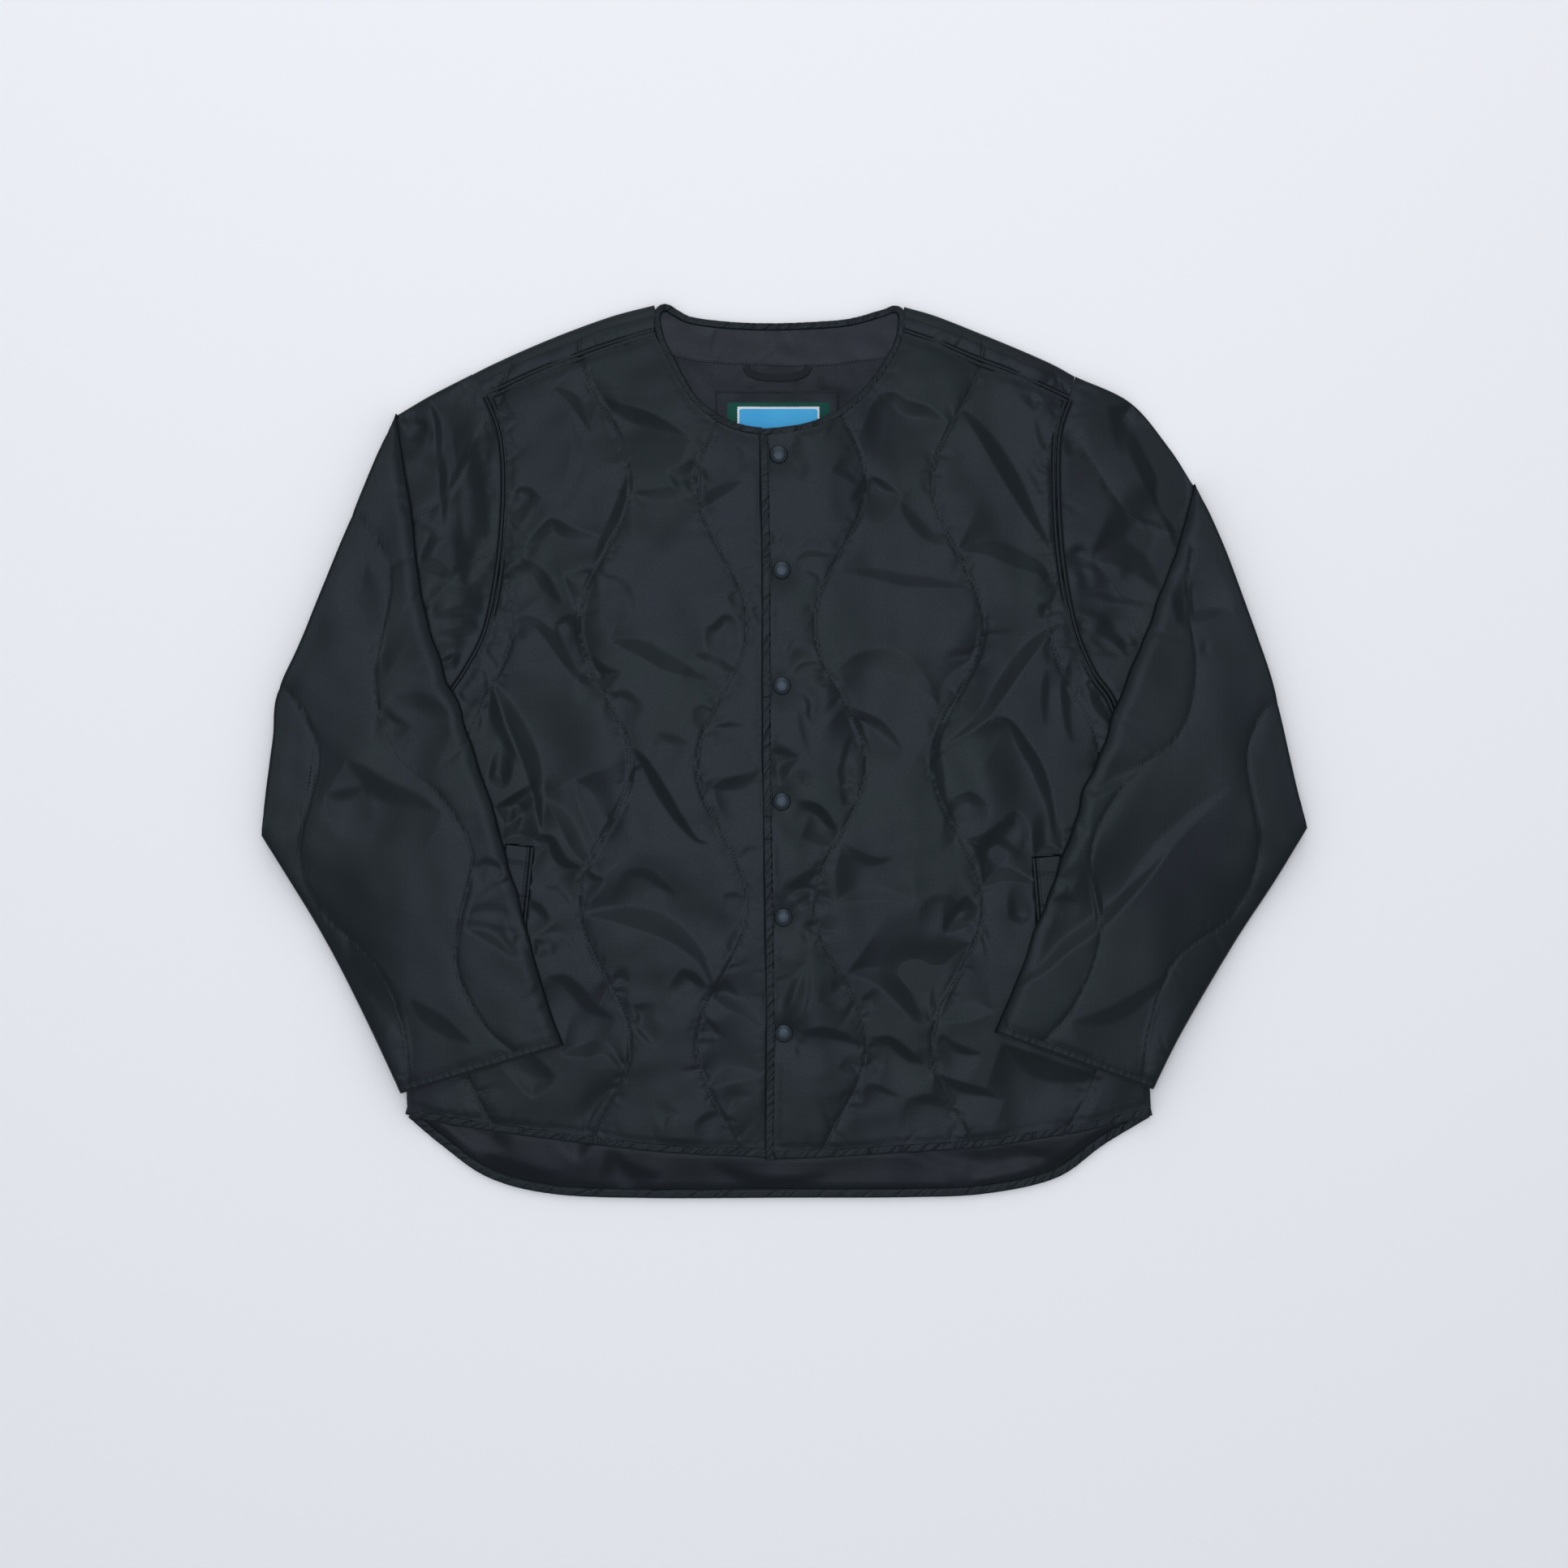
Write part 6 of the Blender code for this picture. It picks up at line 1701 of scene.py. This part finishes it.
    def lay_high(self, share: Points, t: Points, bend: Points, back: bool) -> Points:
        """The upper stretch, which comes down from the fold onto the front and the floor.

        Args:
            share: Share of the way along, for each ring.
            t: Places across the wall.
            bend: How full the wall is at each place.
            back: True for the sleeve's back.

        Returns:
            The points.
        """
        plan = self.patch(Leg.HIGH, share, t)
        points = plan.reshape(-1, 2)
        level = OVER_Z + (FLOOR_Z - OVER_Z) * self.sag(points).reshape(t.shape) + UNDER_WALL
        sharp = 1 - ease(share * lengths(self.over)[-1] / BEND_REACH)
        level = level + (2 * FOLD_Z - TUBE_WALL - GAP - level) * sharp
        level = level - RIM_DROP * (1 - sharp) * (1 - bend)
        if back:
            pad = self.padding(points, Leg.HIGH).reshape(t.shape)
            height = level + GAP / 2 + (GAP / 2 + pad) * bend
        else:
            wall = UNDER_WALL + (FOLD_WALL - UNDER_WALL) * sharp
            height = level + GAP / 2 - (GAP / 2 + wall) * bend
        return np.dstack([plan, height])

    def lay_turn(self, degrees: Points, t: Points, bend: Points, back: bool) -> Points:
        """The turn round the fold, by its angle: -90 below and 90 above.

        Args:
            degrees: The angle of each ring.
            t: Places across the wall.
            bend: How full the wall is at each place.
            back: True for the sleeve's back.

        Returns:
            The points.
        """
        angle = np.radians(degrees)
        upper = angle > 0
        inner = FOLD_Z - TUBE_WALL
        reach = self.fold_reach(t)
        middle = np.maximum(reach - TUBE_WALL - GAP / 2, self.turn_middle * reach)
        if back:
            pad = self.padding(self.patch(Leg.HIGH, 0.0, t[-1]), Leg.HIGH)
            outer = reach - 0.5 * np.clip(PUFF_WALL - pad, 0, 3)
            rise = np.where(upper, inner + pad, FOLD_Z)
        else:
            outer = np.maximum(reach - TUBE_WALL - GAP - FOLD_WALL, self.turn_inner * reach)
            rise = np.where(upper, inner - GAP - FOLD_WALL, inner - GAP - UNDER_WALL)
        outer = middle + (outer - middle) * bend
        rise = (inner - GAP / 2) + (rise - inner + GAP / 2) * bend
        outward, upward = self.turn_powers
        out = outer * np.abs(np.cos(angle)) ** outward
        plan = self.patch(Leg.HIGH, 0.0, t) + read(self.outward, t) * out[..., None]
        height = FOLD_Z + rise * np.sign(angle) * np.abs(np.sin(angle)) ** upward
        return np.dstack([plan, height])

    def padding(self, points: Points, leg: int) -> Points:
        """Thickness of the padded wall at plane points of the lower or the upper stretch.

        Args:
            points: Plane points.
            leg: The lower or the upper stretch.

        Returns:
            The thicknesses.
        """
        if leg:
            rows, relief, rim = self.plan_rows_up, self.relief_up, self.cuff
            inset, full = CUFF_BIND, PUFF_WALL
        else:
            rows, relief, rim = self.plan_rows_low, self.relief_low, self.armhole
            inset, full = TWIN_STITCH, self.low_wall
        gap = least(points, rows, PUFF_REACH)
        edge = np.maximum(nearest(points, rim, PUFF_REACH)[0] - inset, 0)
        thick = quilted(points, gap, edge, full, self.seed + 90)
        thick = thick + held(points, relief, np.minimum(gap, edge))
        if leg:
            for line, share in ((self.over, 1.0), (self.under, self.under_thin)):
                near = 1 - nearest(points, line, RIM_REACH)[0] / RIM_REACH
                thick = thick - share * RIM_THIN * near ** 2
        return np.maximum(thick, THIN_WALL)

    def lumen(self, tube: Points) -> Points:
        """The tube's inside: each ring's points drawn in from its outside.

        Args:
            tube: The rings' points on the outside.

        Returns:
            The rings' points on the inside.
        """
        n = self.wall_faces
        opposite = tube[:, (2 * n - np.arange(2 * n + 1)) % (2 * n)]
        middle = (tube + opposite) / 2
        inner = middle + (tube - middle) * self.inner_share
        pull = tube[:, [0, n]].mean(1, keepdims=True) - inner
        size = np.linalg.norm(pull, axis=2, keepdims=True)
        return inner + pull / np.maximum(size, 1e-6) * np.minimum(size, self.inner_inset)

    def bind_cuff(self, thread: Stitching) -> None:
        """Bind the cuff.

        Args:
            thread: Takes the row of stitches on the binding.
        """
        ring, inner = self.cuff_ring, self.cuff_inner
        along = ring - self.cuff_before
        along[:, 2] = 0
        along /= np.linalg.norm(along, axis=1)[:, None]
        swell = (ring - inner)[:, 2:]
        lift = np.sign(swell) * np.array([0.0, 0.0, 1.0])
        rng = np.random.default_rng(self.seed + 70)
        round_it = lengths(ring)[:, None]
        tall, short, long = self.cuff_waves
        sway = tall * np.cos(round_it / short + rng.uniform(0, 6)) * np.cos(round_it / long)
        rows = []
        for reach, height in CUFF_SECTION:
            level = height + (sway if height > 0.8 else 0.0)
            drop = lift * np.abs(swell) * self.cuff_pull if reach == 0 else 0.0
            rows.append(ring + along * reach + lift * level - drop)
        rows += [inner + along * reach for reach in self.cuff_inside] + rows[:1]
        publish(swept(np.array(rows)), "cuff_tape_" + self.key, TAPE, ["cuff_binding_" + self.key])
        row = rows[CUFF_STITCH][3:len(ring) // 2 - 3]
        thread.run(row[:, :2], row[:, 2], lift=0.1)


# ============================ the back ============================

@dataclass
class Back:
    """The back, its lining and facing, and the shoulders that roll forward."""

    seed: int = 500
    notch: float = 0.9             # depth of the quilting rows on the underside
    notch_width: float = 2.6
    lining_inset: float = 1.5
    lining_pitch: float = 3.5
    facing_pitch: float = 1.6
    facing_step: float = 0.6       # how much higher the facing lies than the lining
    facing_reach: float = 112.0    # how far from the middle it goes
    free_rise: float = 1.5         # how much fuller the lining lies below the front hems
    shoulder_count: int = 130      # points along a shoulder
    roll_faces: int = 12
    roll_wall: float = 1.6
    laid_faces: int = 16           # from the roll to the forward seam
    laid_wall: float = PUFF_WALL - 0.6
    laid_ease: float = 0.35        # share of that way in which the padding fills up

    def edge(self, side: SideCut) -> Points:
        """Where the flat part of the back turns up into the rolled shoulder, neck to arm.

        Args:
            side: The cut of that side.

        Returns:
            The line's points.
        """
        top = spline(side.shoulder_top, 6.0)
        way = 1 if top[-1, 0] > top[0, 0] else -1
        return shifted(top, -way * (FRONT_Z + FOLD_WALL) / 2)

    def outline(self, inset: float) -> Points:
        """The flat part of the back, kept inside its edges by an inset.

        Args:
            inset: How far the outline stays inside, or 0.

        Returns:
            The outline as a loop.
        """
        right, left = self.edge(RIGHT), self.edge(LEFT)
        neck = shifted(spline(BACK_NECK, 6.0), -NECK_BIND + BIND_LAP)
        hem = shifted(spline(BACK_HEM, 8.0), HEM_BIND - BIND_LAP)
        arms = [np.vstack([spline(side.armhole, 8.0)[1:-1], spline(side.side_seam, 8.0)[:-1]])
                for side in (LEFT, RIGHT)]
        loop = np.vstack([neck[1:-1], left, arms[0], hem[::-1], arms[1][::-1], right[::-1]])
        if inset:
            loop = shifted(np.vstack([loop[-1:], loop, loop[:1]]), -inset)[1:-1]
        return loop

    def build(self) -> None:
        """Make the flat back, with shallow rows of quilting underneath."""
        rows = [quilt_row(k) for k in range(QUILT_ROWS)]
        outline = self.outline(0.0)

        def pressed(points: Points) -> Points:
            """Height of the underside: flat on the floor, with a notch at each row."""
            return self.notch * np.exp(-(least(points, rows, PUFF_REACH) / self.notch_width) ** 2)

        mesh = Panel(outline, HIDDEN_PITCH, rows).build(pressed, constant(BACK_WALL))
        cloth = publish(mesh, "back_cloth", SATIN, ["back_panel"])

    def lining_top(self, level: float, relief: Sequence, points: Points) -> Points:
        """Height of the lining or facing, fuller where it runs free below the front hems.

        Args:
            level: Height of plain cloth.
            relief: Its creases, puckers and waves.
            points: Plane points.

        Returns:
            The height at each point.
        """
        fronts = np.array(sorted([*RIGHT.front_hem, *LEFT.front_hem]), float)
        free = self.free_rise * ease((np.interp(points[:, 0], *fronts.T) - points[:, 1] - 2.0) / 6.0)
        free *= ease((nearest(points, spline(BACK_HEM, 8.0), 20.0)[0] - 3.0) / 8.0)
        return np.maximum(level + free + total(relief, points), LINING_Z + 0.15)

    def build_lining(self) -> None:
        """Make the lining, with folds where it shows, and the facing above it."""
        outline = self.outline(self.lining_inset)
        edge = spline(FACING_EDGE, 5.0)
        upper = outline[:, 1] > np.interp(outline[:, 0], edge[:, 0], edge[:, 1]) - 0.1
        upper &= np.abs(outline[:, 0]) < self.facing_reach
        start = int(np.flatnonzero(upper & ~np.roll(upper, 1))[0])
        loop = np.roll(outline, -start, axis=0)
        count = int(upper.sum())
        ends = sorted((loop[0, 0], loop[count - 1, 0]))
        line = edge[(edge[:, 0] > ends[0]) & (edge[:, 0] < ends[1])]
        facing = np.vstack([loop[:count], line[::-1] + [0, 0.2]])
        lining = np.vstack([loop[count:], line - [0, 0.2]])
        s = self.seed
        facing_relief = [
            Puckers(edge, pitch=12.0, reach=14.0, depth=0.35, seed=s + 1),
            Ripple(length=24.0, height=0.1, seed=s + 2),
            Puckers(spline(BACK_NECK, 5.0), pitch=10.0, reach=14.0, depth=0.45, seed=s + 3),
            *FACING_CREASES,
        ]
        lining_relief = [
            Puckers(edge, pitch=13.0, reach=26.0, depth=1.0, seed=s + 5, width=3.0),
            Puckers(spline(BACK_HEM, 8.0), pitch=16.0, reach=14.0, depth=0.5, seed=s + 6),
            Ripple(length=50.0, height=0.3, seed=s + 7),
            *LINING_CREASES,
        ]
        level = LINING_Z + LINING_WALL
        for name, loop, pitch, finish, node, top in (
            ("facing_cloth", facing, self.facing_pitch, FACING, "neck_facing",
             partial(self.lining_top, level + self.facing_step, facing_relief)),
            ("back_lining_cloth", lining, self.lining_pitch, TAFFETA, "back_lining",
             partial(self.lining_top, level, lining_relief)),
        ):
            mesh = Panel(loop, pitch).build(top, constant(LINING_Z))
            cloth = publish(mesh, name, finish, [node])

    def build_shoulder(self, front: Front) -> None:
        """Roll the back over a shoulder to its forward seam.

        Args:
            front: The front whose seam it meets.
        """
        s, key, side = self.seed, front.key, front.side
        base = even(self.edge(side), count=self.shoulder_count)
        seam = even(spline(side.shoulder_seam, 5.0), count=self.shoulder_count)
        outward = normals(base) * (1 if base[-1, 0] > base[0, 0] else -1)
        radius = (FRONT_Z + FOLD_WALL) / 2
        outer, inner = [], []
        for angle in np.radians(np.linspace(-90, 90, self.roll_faces + 1)):
            for rows, reach in ((outer, radius), (inner, radius - self.roll_wall)):
                plan = base + outward * reach * math.cos(angle)
                rows.append(raised(plan, radius + reach * math.sin(angle)))
        relief = [
            Puckers(seam, pitch=8.0, reach=12.0, depth=0.9, seed=s + 30),
            Ripple(length=50.0, height=0.3, seed=s + 31),
            Puckers(even(base, 5.0), pitch=20.0, reach=14.0, depth=0.6, seed=s + 33),
        ]
        for share in np.linspace(0, 1, self.laid_faces + 1)[1:]:
            plan = base + (seam - base) * share
            gap = least(plan, front.rows, PUFF_REACH)
            edge = np.maximum(nearest(plan, seam, PUFF_REACH)[0] - TWIN_STITCH, 0)
            rise = FRONT_Z + quilted(plan, gap, edge, self.laid_wall, s)
            rise = rise + total(relief, plan) * min(1, 3 * share)
            rise = rise + (FRONT_Z + FOLD_WALL - rise) * (1 - ease(share / self.laid_ease))
            outer.append(raised(plan, rise))
            inner.append(raised(plan, FRONT_Z + GAP))
        mesh = swept(np.array(outer + inner[::-1] + outer[:1]), capped=True)
        cloth = publish(mesh, "shoulder_cloth_" + key, SATIN, ["back_panel"])


# ============================ trims ============================

@dataclass
class Trims:
    """Bindings, seams, snaps, welts and what is sewn inside the neck."""

    fronts: dict
    thread: Stitching
    hem_tall: float = 5.2
    back_hem_tall: float = 4.2
    edge_tall: float = 4.9
    neck_tall: float = 5.2
    neck_stitch: float = 4.3       # height of the stitches over the neck binding's underside
    stitch_inset: float = 0.9      # from a binding's inner edge to its stitches
    wrap_room: float = 4.0         # from the back's neck edge to the points that turn forward
    seam_width: float = 2 * TWIN_STITCH + 2.4
    seam_rise: float = 2.2         # from the front's underside to the seam's
    seam_tall: float = 3.3
    seam_stitch: float = 2.7
    flank_width: float = 4.6
    flank_tall: float = 5.4
    welt_rows: tuple = (2.4, 4.1)  # from a welt's edge to its two rows of stitches
    welt_tall: float = PUFF_WALL - WELT_PANEL + 0.3
    bead_ring: float = 5.8
    bead_radius: float = 0.26
    bead_height: float = 2.25
    bead_count: int = 26
    cap_faces: int = 48
    tooth: float = 2.1             # of the label's pinked border
    tooth_depth: float = 0.75

    def bind(self, name: str, path: Points, width: float, low: Points | float, tall: float,
             node: str, seed: int, stitch: float, slant: float = 0.9) -> None:
        """Make one binding with its row of stitches.

        Args:
            name: The piece's name.
            path: Its middle line.
            width: Its width.
            low: Height of its underside.
            tall: Its thickness.
            node: The solid that it replaces.
            seed: For its puckers.
            stitch: Where the stitches run, across from the middle line to its left.
            slant: How its puckers slant.
        """
        Tape(name, path, width, low, tall, replaces=(node,), seed=seed, full=0.13, around=24,
             pucker=0.24, pucker_pitch=5.0, slant=slant, grooves=((stitch, 0.07 * tall, 0.5),)).build()
        line = shifted(even(path, count=len(path)), stitch)
        self.thread.run(line, np.broadcast_to(low, len(path)) + THREAD_SHARE * tall)

    def build_bindings(self) -> None:
        """Bind the neck, the front edge and the hems."""
        for key, front in self.fronts.items():
            way = 1 if key == "right" else -1
            hem = shifted(front.hem, -way * (HEM_BIND - BIND_LAP) / 2)
            if key == "right":
                hem = hem[hem[:, 0] < FRONT_EDGE[-1][0] + 6.0]
            self.bind("hem_tape_" + key, hem, HEM_BIND + BIND_LAP, front.underside(hem), self.hem_tall,
                      "hem_binding_" + key, 12 + way, way * ((HEM_BIND + BIND_LAP) / 2 - self.stitch_inset))
        self.bind_neck()
        edge = shifted(front_edge(), (FRONT_BIND + BIND_LAP) / 2)
        edge[-1, 1] -= HEM_BIND
        self.bind("front_edge_tape", edge, FRONT_BIND + BIND_LAP,
                  self.fronts["left"].underside(edge) - 0.1, self.edge_tall, "front_edge_binding", 15,
                  FRONT_BIND / 2 - 0.8, slant=-1.0)
        hem = shifted(spline(BACK_HEM, 8.0), HEM_BIND / 2)
        self.bind("back_hem_tape", hem, HEM_BIND + BIND_LAP, 0.0, self.back_hem_tall,
                  "hem_binding_back", 16, HEM_BIND / 2 - self.stitch_inset)

    def bind_neck(self) -> None:
        """Bind the neck in one strip, from the closure over both shoulders and back to it."""
        neck = shifted(self.fronts["right"].neck, (NECK_BIND - BIND_LAP) / 2)
        end = FRONT_EDGE[0][0] + 2.0
        last = (end, np.interp(end, neck[:, 0], neck[:, 1]))
        right = np.vstack([neck[neck[:, 0] < end - 3.0], last])
        neck = shifted(self.fronts["left"].neck, -(NECK_BIND - BIND_LAP) / 2)
        left = np.vstack([neck, neck[-1] - [FRONT_BIND, 0.2]])
        wrap_right, wrap_left = SHOULDER_WRAP["right"], SHOULDER_WRAP["left"]
        back = shifted(spline(BACK_NECK, 6.0), -NECK_BIND / 2)
        back = back[(back[:, 0] > wrap_right[0][0] + self.wrap_room)
                    & (back[:, 0] < wrap_left[0][0] - self.wrap_room)]
        path = spline(np.vstack([right[:0:-2], wrap_right[::-1], back[::2], wrap_left, left[1::2],
                                 left[-1:]]), 3.0)
        half = len(path) // 2
        apex = int(path[:half, 1].argmax()), half + int(path[half:, 1].argmax())
        place = np.arange(len(path))
        low = np.where(place < half, self.fronts["right"].underside(path),
                       self.fronts["left"].underside(path))
        inward = np.minimum(place - apex[0], apex[1] - place)
        low = low * (1 - ease((inward + 4.0) / 8.0))
        nodes = tuple("neck_binding_" + name for name in ("right", "left", "back"))
        Tape("neck_tape", path, NECK_BIND + BIND_LAP, low, self.neck_tall, replaces=nodes, seed=17,
             full=0.22, around=24, pucker=0.28, pucker_pitch=4.0).build()
        for first, last, way in ((0, apex[0] - 2, 1), (apex[1] + 2, len(path), 1),
                                 (apex[0] + 2, apex[1] - 2, -1)):
            line = shifted(path[first:last], way * (NECK_BIND / 2 - 0.6))
            self.thread.run(line, low[first:last] + self.neck_stitch)

    def build_seams(self) -> None:
        """Press open the armhole and shoulder seams, each stitched on both sides."""
        grooves = ((0.0, 1.3, 0.6), (TWIN_STITCH, 0.8, 0.5), (-TWIN_STITCH, 0.8, 0.5))
        for key, front in self.fronts.items():
            for name, curve, seed in (("armhole_seam_", front.arm, 21), ("shoulder_seam_", front.seam, 23)):
                line = even(curve, 4.0)
                level = front.underside(line) + self.seam_rise
                Tape(name + key, line, self.seam_width, level, self.seam_tall, finish=SATIN, seed=seed,
                     grooves=grooves, pucker=0.1, slant=0.2, full=0.12, around=26).build()
                for way in (-1, 1):
                    self.thread.run(shifted(line, way * TWIN_STITCH), level + self.seam_stitch)
            Tape("side_seam_" + key, shifted(front.flank, 1.2 if key == "right" else -1.2),
                 self.flank_width, 0.0, self.flank_tall, finish=SATIN, pucker=0.15, seed=25).build()

    def build_snaps(self) -> None:
        """Six domed caps, with a plain beaded ring round the dome."""
        front = self.fronts["left"]
        for number, (x, y) in enumerate(SNAPS, 1):
            base = float(front.top(np.array([(x, y)]))[0]) + 0.1
            bm = bmesh.new()
            run = [bm.verts.new((radius * MM, 0, z * MM)) for radius, z in CAP_SECTION]
            edges = [bm.edges.new(pair) for pair in zip(run, run[1:])]
            bmesh.ops.spin(bm, geom=run + edges, cent=(0, 0, 0), axis=(0, 0, 1), angle=2 * math.pi,
                           steps=self.cap_faces, use_merge=True)
            bmesh.ops.remove_doubles(bm, verts=bm.verts, dist=WELD * MM)
            for turn in np.linspace(0, 2 * math.pi, self.bead_count, endpoint=False):
                bead = bmesh.ops.create_icosphere(bm, subdivisions=1, radius=self.bead_radius * MM)["verts"]
                spot = (self.bead_ring * math.cos(turn), self.bead_ring * math.sin(turn), self.bead_height)
                bmesh.ops.translate(bm, verts=bead, vec=Vector(spot) * MM)
            bmesh.ops.translate(bm, verts=bm.verts, vec=Vector((x, y, base)) * MM)
            publish(bm, f"snap_{number}", LACQUER, [f"snap_cap_{number}"], sharp=75)

    def build_welts(self) -> None:
        """Pocket welts, lying on each front along its opening."""
        for key, front in self.fronts.items():
            line = even(np.array(front.welt), 3.0)
            level = front.underside(line) + WELT_PANEL - 0.4
            inner = 1 if key == "right" else -1
            first, second = (inner * (WELT_WIDTH / 2 - inset) for inset in self.welt_rows)
            Tape("welt_" + key, line, WELT_WIDTH + 1.2, level, self.welt_tall, finish=SATIN,
                 replaces=("pocket_welt_" + key,), grooves=((first, 0.9, 0.7), (second, 0.6, 0.6)),
                 pucker=0.2, pucker_pitch=14.0, slant=0.1, full=0.06, seed=31, around=34).build()
            for place in (first, second):
                self.thread.run(shifted(line, place), level + self.welt_tall - 0.6)

    def build_neck_trims(self) -> None:
        """Hang loop, patch and a bare label, sewn inside the back of the neck."""
        Tape("loop", spline(LOOP_PATH, 2.0), LOOP_WIDTH, FRONT_Z - 0.2, 1.3, finish=LOOP,
             replaces=("hang_loop",), pucker=0.1, full=0.2, seed=41).build()
        self.flat_cloth("patch", PATCH, FRONT_Z - 0.2, 0.8, PATCH_CLOTH, ("label_patch",), 0.5)
        low_x, low_y, high_x, high_y = PATCH[0] + 1.5, PATCH[1], PATCH[2] - 1.5, PATCH[3] - 1.5
        line = even([(low_x, low_y), (low_x, high_y), (high_x, high_y), (high_x, low_y)], 3.0)
        self.thread.run(line, constant(FRONT_Z + 0.62), lift=0.05)
        self.flat_cloth("label_ground", LABEL, FRONT_Z + 0.5, 0.7, GREEN, ("neck_label",), 0.35)
        self.pinked_border(LABEL_BORDER, FRONT_Z + 1.15)
        self.flat_cloth("label_field", LABEL_FIELD, FRONT_Z + 1.35, 0.35, SKY, (), 0.2)
        seam = spline(FACING_EDGE, 3.0)
        seam = seam[np.abs(seam[:, 0] + 5.0) < 95.0]
        self.thread.run(shifted(seam, 1.2), constant(LINING_Z + LINING_WALL + 0.7), lift=0.1)

    @staticmethod
    def flat_cloth(name: str, box: tuple, low: float, tall: float, finish: ClothFinish,
                   replaces: tuple, wave: float) -> None:
        """Make a small flat rectangle of cloth that ripples a little.

        Args:
            name: The piece's name.
            box: Its low x, low y, high x and high y.
            low: Height of its underside.
            tall: Its thickness.
            finish: What it is made of.
            replaces: Solids that it stands for.
            wave: Height of its ripples, from crest to trough.
        """
        ripple = Ripple(28.0, wave * 0.5, 77)

        def top(points: Points) -> Points:
            """Height of the cloth, with its edges turned down a little."""
            rim = np.minimum(points - box[:2], np.array(box[2:]) - points).min(1)
            return low + tall * (0.55 + 0.45 * ease(rim / 1.2)) + ripple.at(points)

        def under(points: Points) -> Points:
            """Height of the underside, which follows the troughs."""
            return low + np.minimum(ripple.at(points), 0.0) - 0.1

        publish(Panel(box_corners(box), 2.0).build(top, under), name, finish, replaces)

    def pinked_border(self, box: tuple, low: float) -> None:
        """Make the white strip round the label's field, with a toothed outer edge.

        Args:
            box: The field that the strip goes round.
            low: Height of the label.
        """
        edge = even(closed(box_corners(box)), self.tooth / 2)
        inward = box_corners(box).mean(0) - edge
        inward /= np.abs(inward).max(1)[:, None]
        edge[1::2] += inward[1::2] * self.tooth_depth
        ripple = Ripple(28.0, 0.1, 77)
        mesh = Panel(edge[:-1], 0.7).build(lambda points: low + 0.35 + ripple.at(points),
                                           constant(low - 0.1))
        publish(mesh, "label_border", WHITE)


# ============================ the stage ============================

@dataclass(frozen=True)
class Lamp:
    """A round soft light that faces the jacket."""

    name: str
    size: float
    power: float
    place: tuple
    colour: tuple

    def hang(self) -> None:
        """Put the light in its place."""
        data = bpy.data.lights.new(self.name, "AREA")
        data.shape = "DISK"
        data.size = self.size
        data.energy = self.power
        data.color = self.colour
        lamp = bpy.data.objects.new(self.name, data)
        lamp.location = self.place
        lamp.rotation_euler = (-Vector(self.place)).to_track_quat("-Z", "Y").to_euler()
        bpy.context.collection.objects.link(lamp)


@dataclass(frozen=True)
class Studio:
    """Camera straight above, a pale floor and soft light, in metres."""

    centre: tuple = (-0.0007, -0.028)
    height: float = 2.4
    view_width: float = 1.288
    sensor: float = 36.0
    floor_half: float = 6.0
    floor_drop: float = 0.0002
    floor_colour: tuple = (0.83, 0.836, 0.839)
    sky: tuple = (0.93, 0.95, 1.0)
    sky_power: float = 0.60
    lamps: tuple = (
        Lamp("window", 3.4, 36.0, (-0.2, 2.6, 1.6), (0.99, 0.985, 1.0)),
        Lamp("overhead", 1.8, 27.5, (-0.1, 0.1, 3.0), (0.88, 0.90, 1.0)),
    )

    def build(self) -> None:
        """Make the camera, the floor and the lights."""
        data = bpy.data.cameras.new("camera")
        data.sensor_width = self.sensor
        data.lens = self.sensor * self.height / self.view_width
        data.clip_end = 20.0
        camera = bpy.data.objects.new("camera", data)
        camera.location = (*self.centre, self.height)
        bpy.context.collection.objects.link(camera)
        bpy.context.scene.camera = camera
        self.floor()
        for lamp in self.lamps:
            lamp.hang()
        world = bpy.data.worlds.new("studio")
        world.use_nodes = True
        sky = world.node_tree.nodes["Background"]
        sky.inputs["Color"].default_value = (*self.sky, 1)
        sky.inputs["Strength"].default_value = self.sky_power
        bpy.context.scene.world = world
        bpy.context.scene.view_settings.view_transform = "Standard"

    def floor(self) -> None:
        """A large pale board with a faint grain."""
        bm = bmesh.new()
        bmesh.ops.create_grid(bm, x_segments=1, y_segments=1, size=self.floor_half)
        mesh = bpy.data.meshes.new("floor")
        bm.to_mesh(mesh)
        bm.free()
        look = Look("pale_board")
        look.shade({"Base Color": (*self.floor_colour, 1), "Roughness": 0.9})
        look.bump(look.noise(260.0), 0.15, 0.4)
        mesh.materials.append(look.made)
        board = bpy.data.objects.new("floor", mesh)
        board.location.z = -self.floor_drop
        bpy.context.collection.objects.link(board)


def main() -> None:
    """Build the stage and every piece of the jacket, in order."""
    logging.basicConfig(level=logging.INFO, format="%(name)s: %(message)s")
    Studio().build()
    threads = {name: Stitching("stitches_" + name) for name in ("fronts", "sleeves", "trims")}
    back = Back()
    back.build()
    back.build_lining()
    fronts = {"right": Front("right", RIGHT, False, 100), "left": Front("left", LEFT, True, 200)}
    for front in fronts.values():
        front.build(threads["fronts"])
    for front in fronts.values():
        back.build_shoulder(front)
    for sleeve in (Sleeve("right", RIGHT, 300), Sleeve("left", LEFT, 400)):
        sleeve.build(threads["sleeves"])
        sleeve.bind_cuff(threads["trims"])
    trims = Trims(fronts, threads["trims"])
    trims.build_bindings()
    trims.build_seams()
    trims.build_snaps()
    trims.build_welts()
    trims.build_neck_trims()
    for thread in threads.values():
        thread.build()


if __name__ == "__main__":
    main()
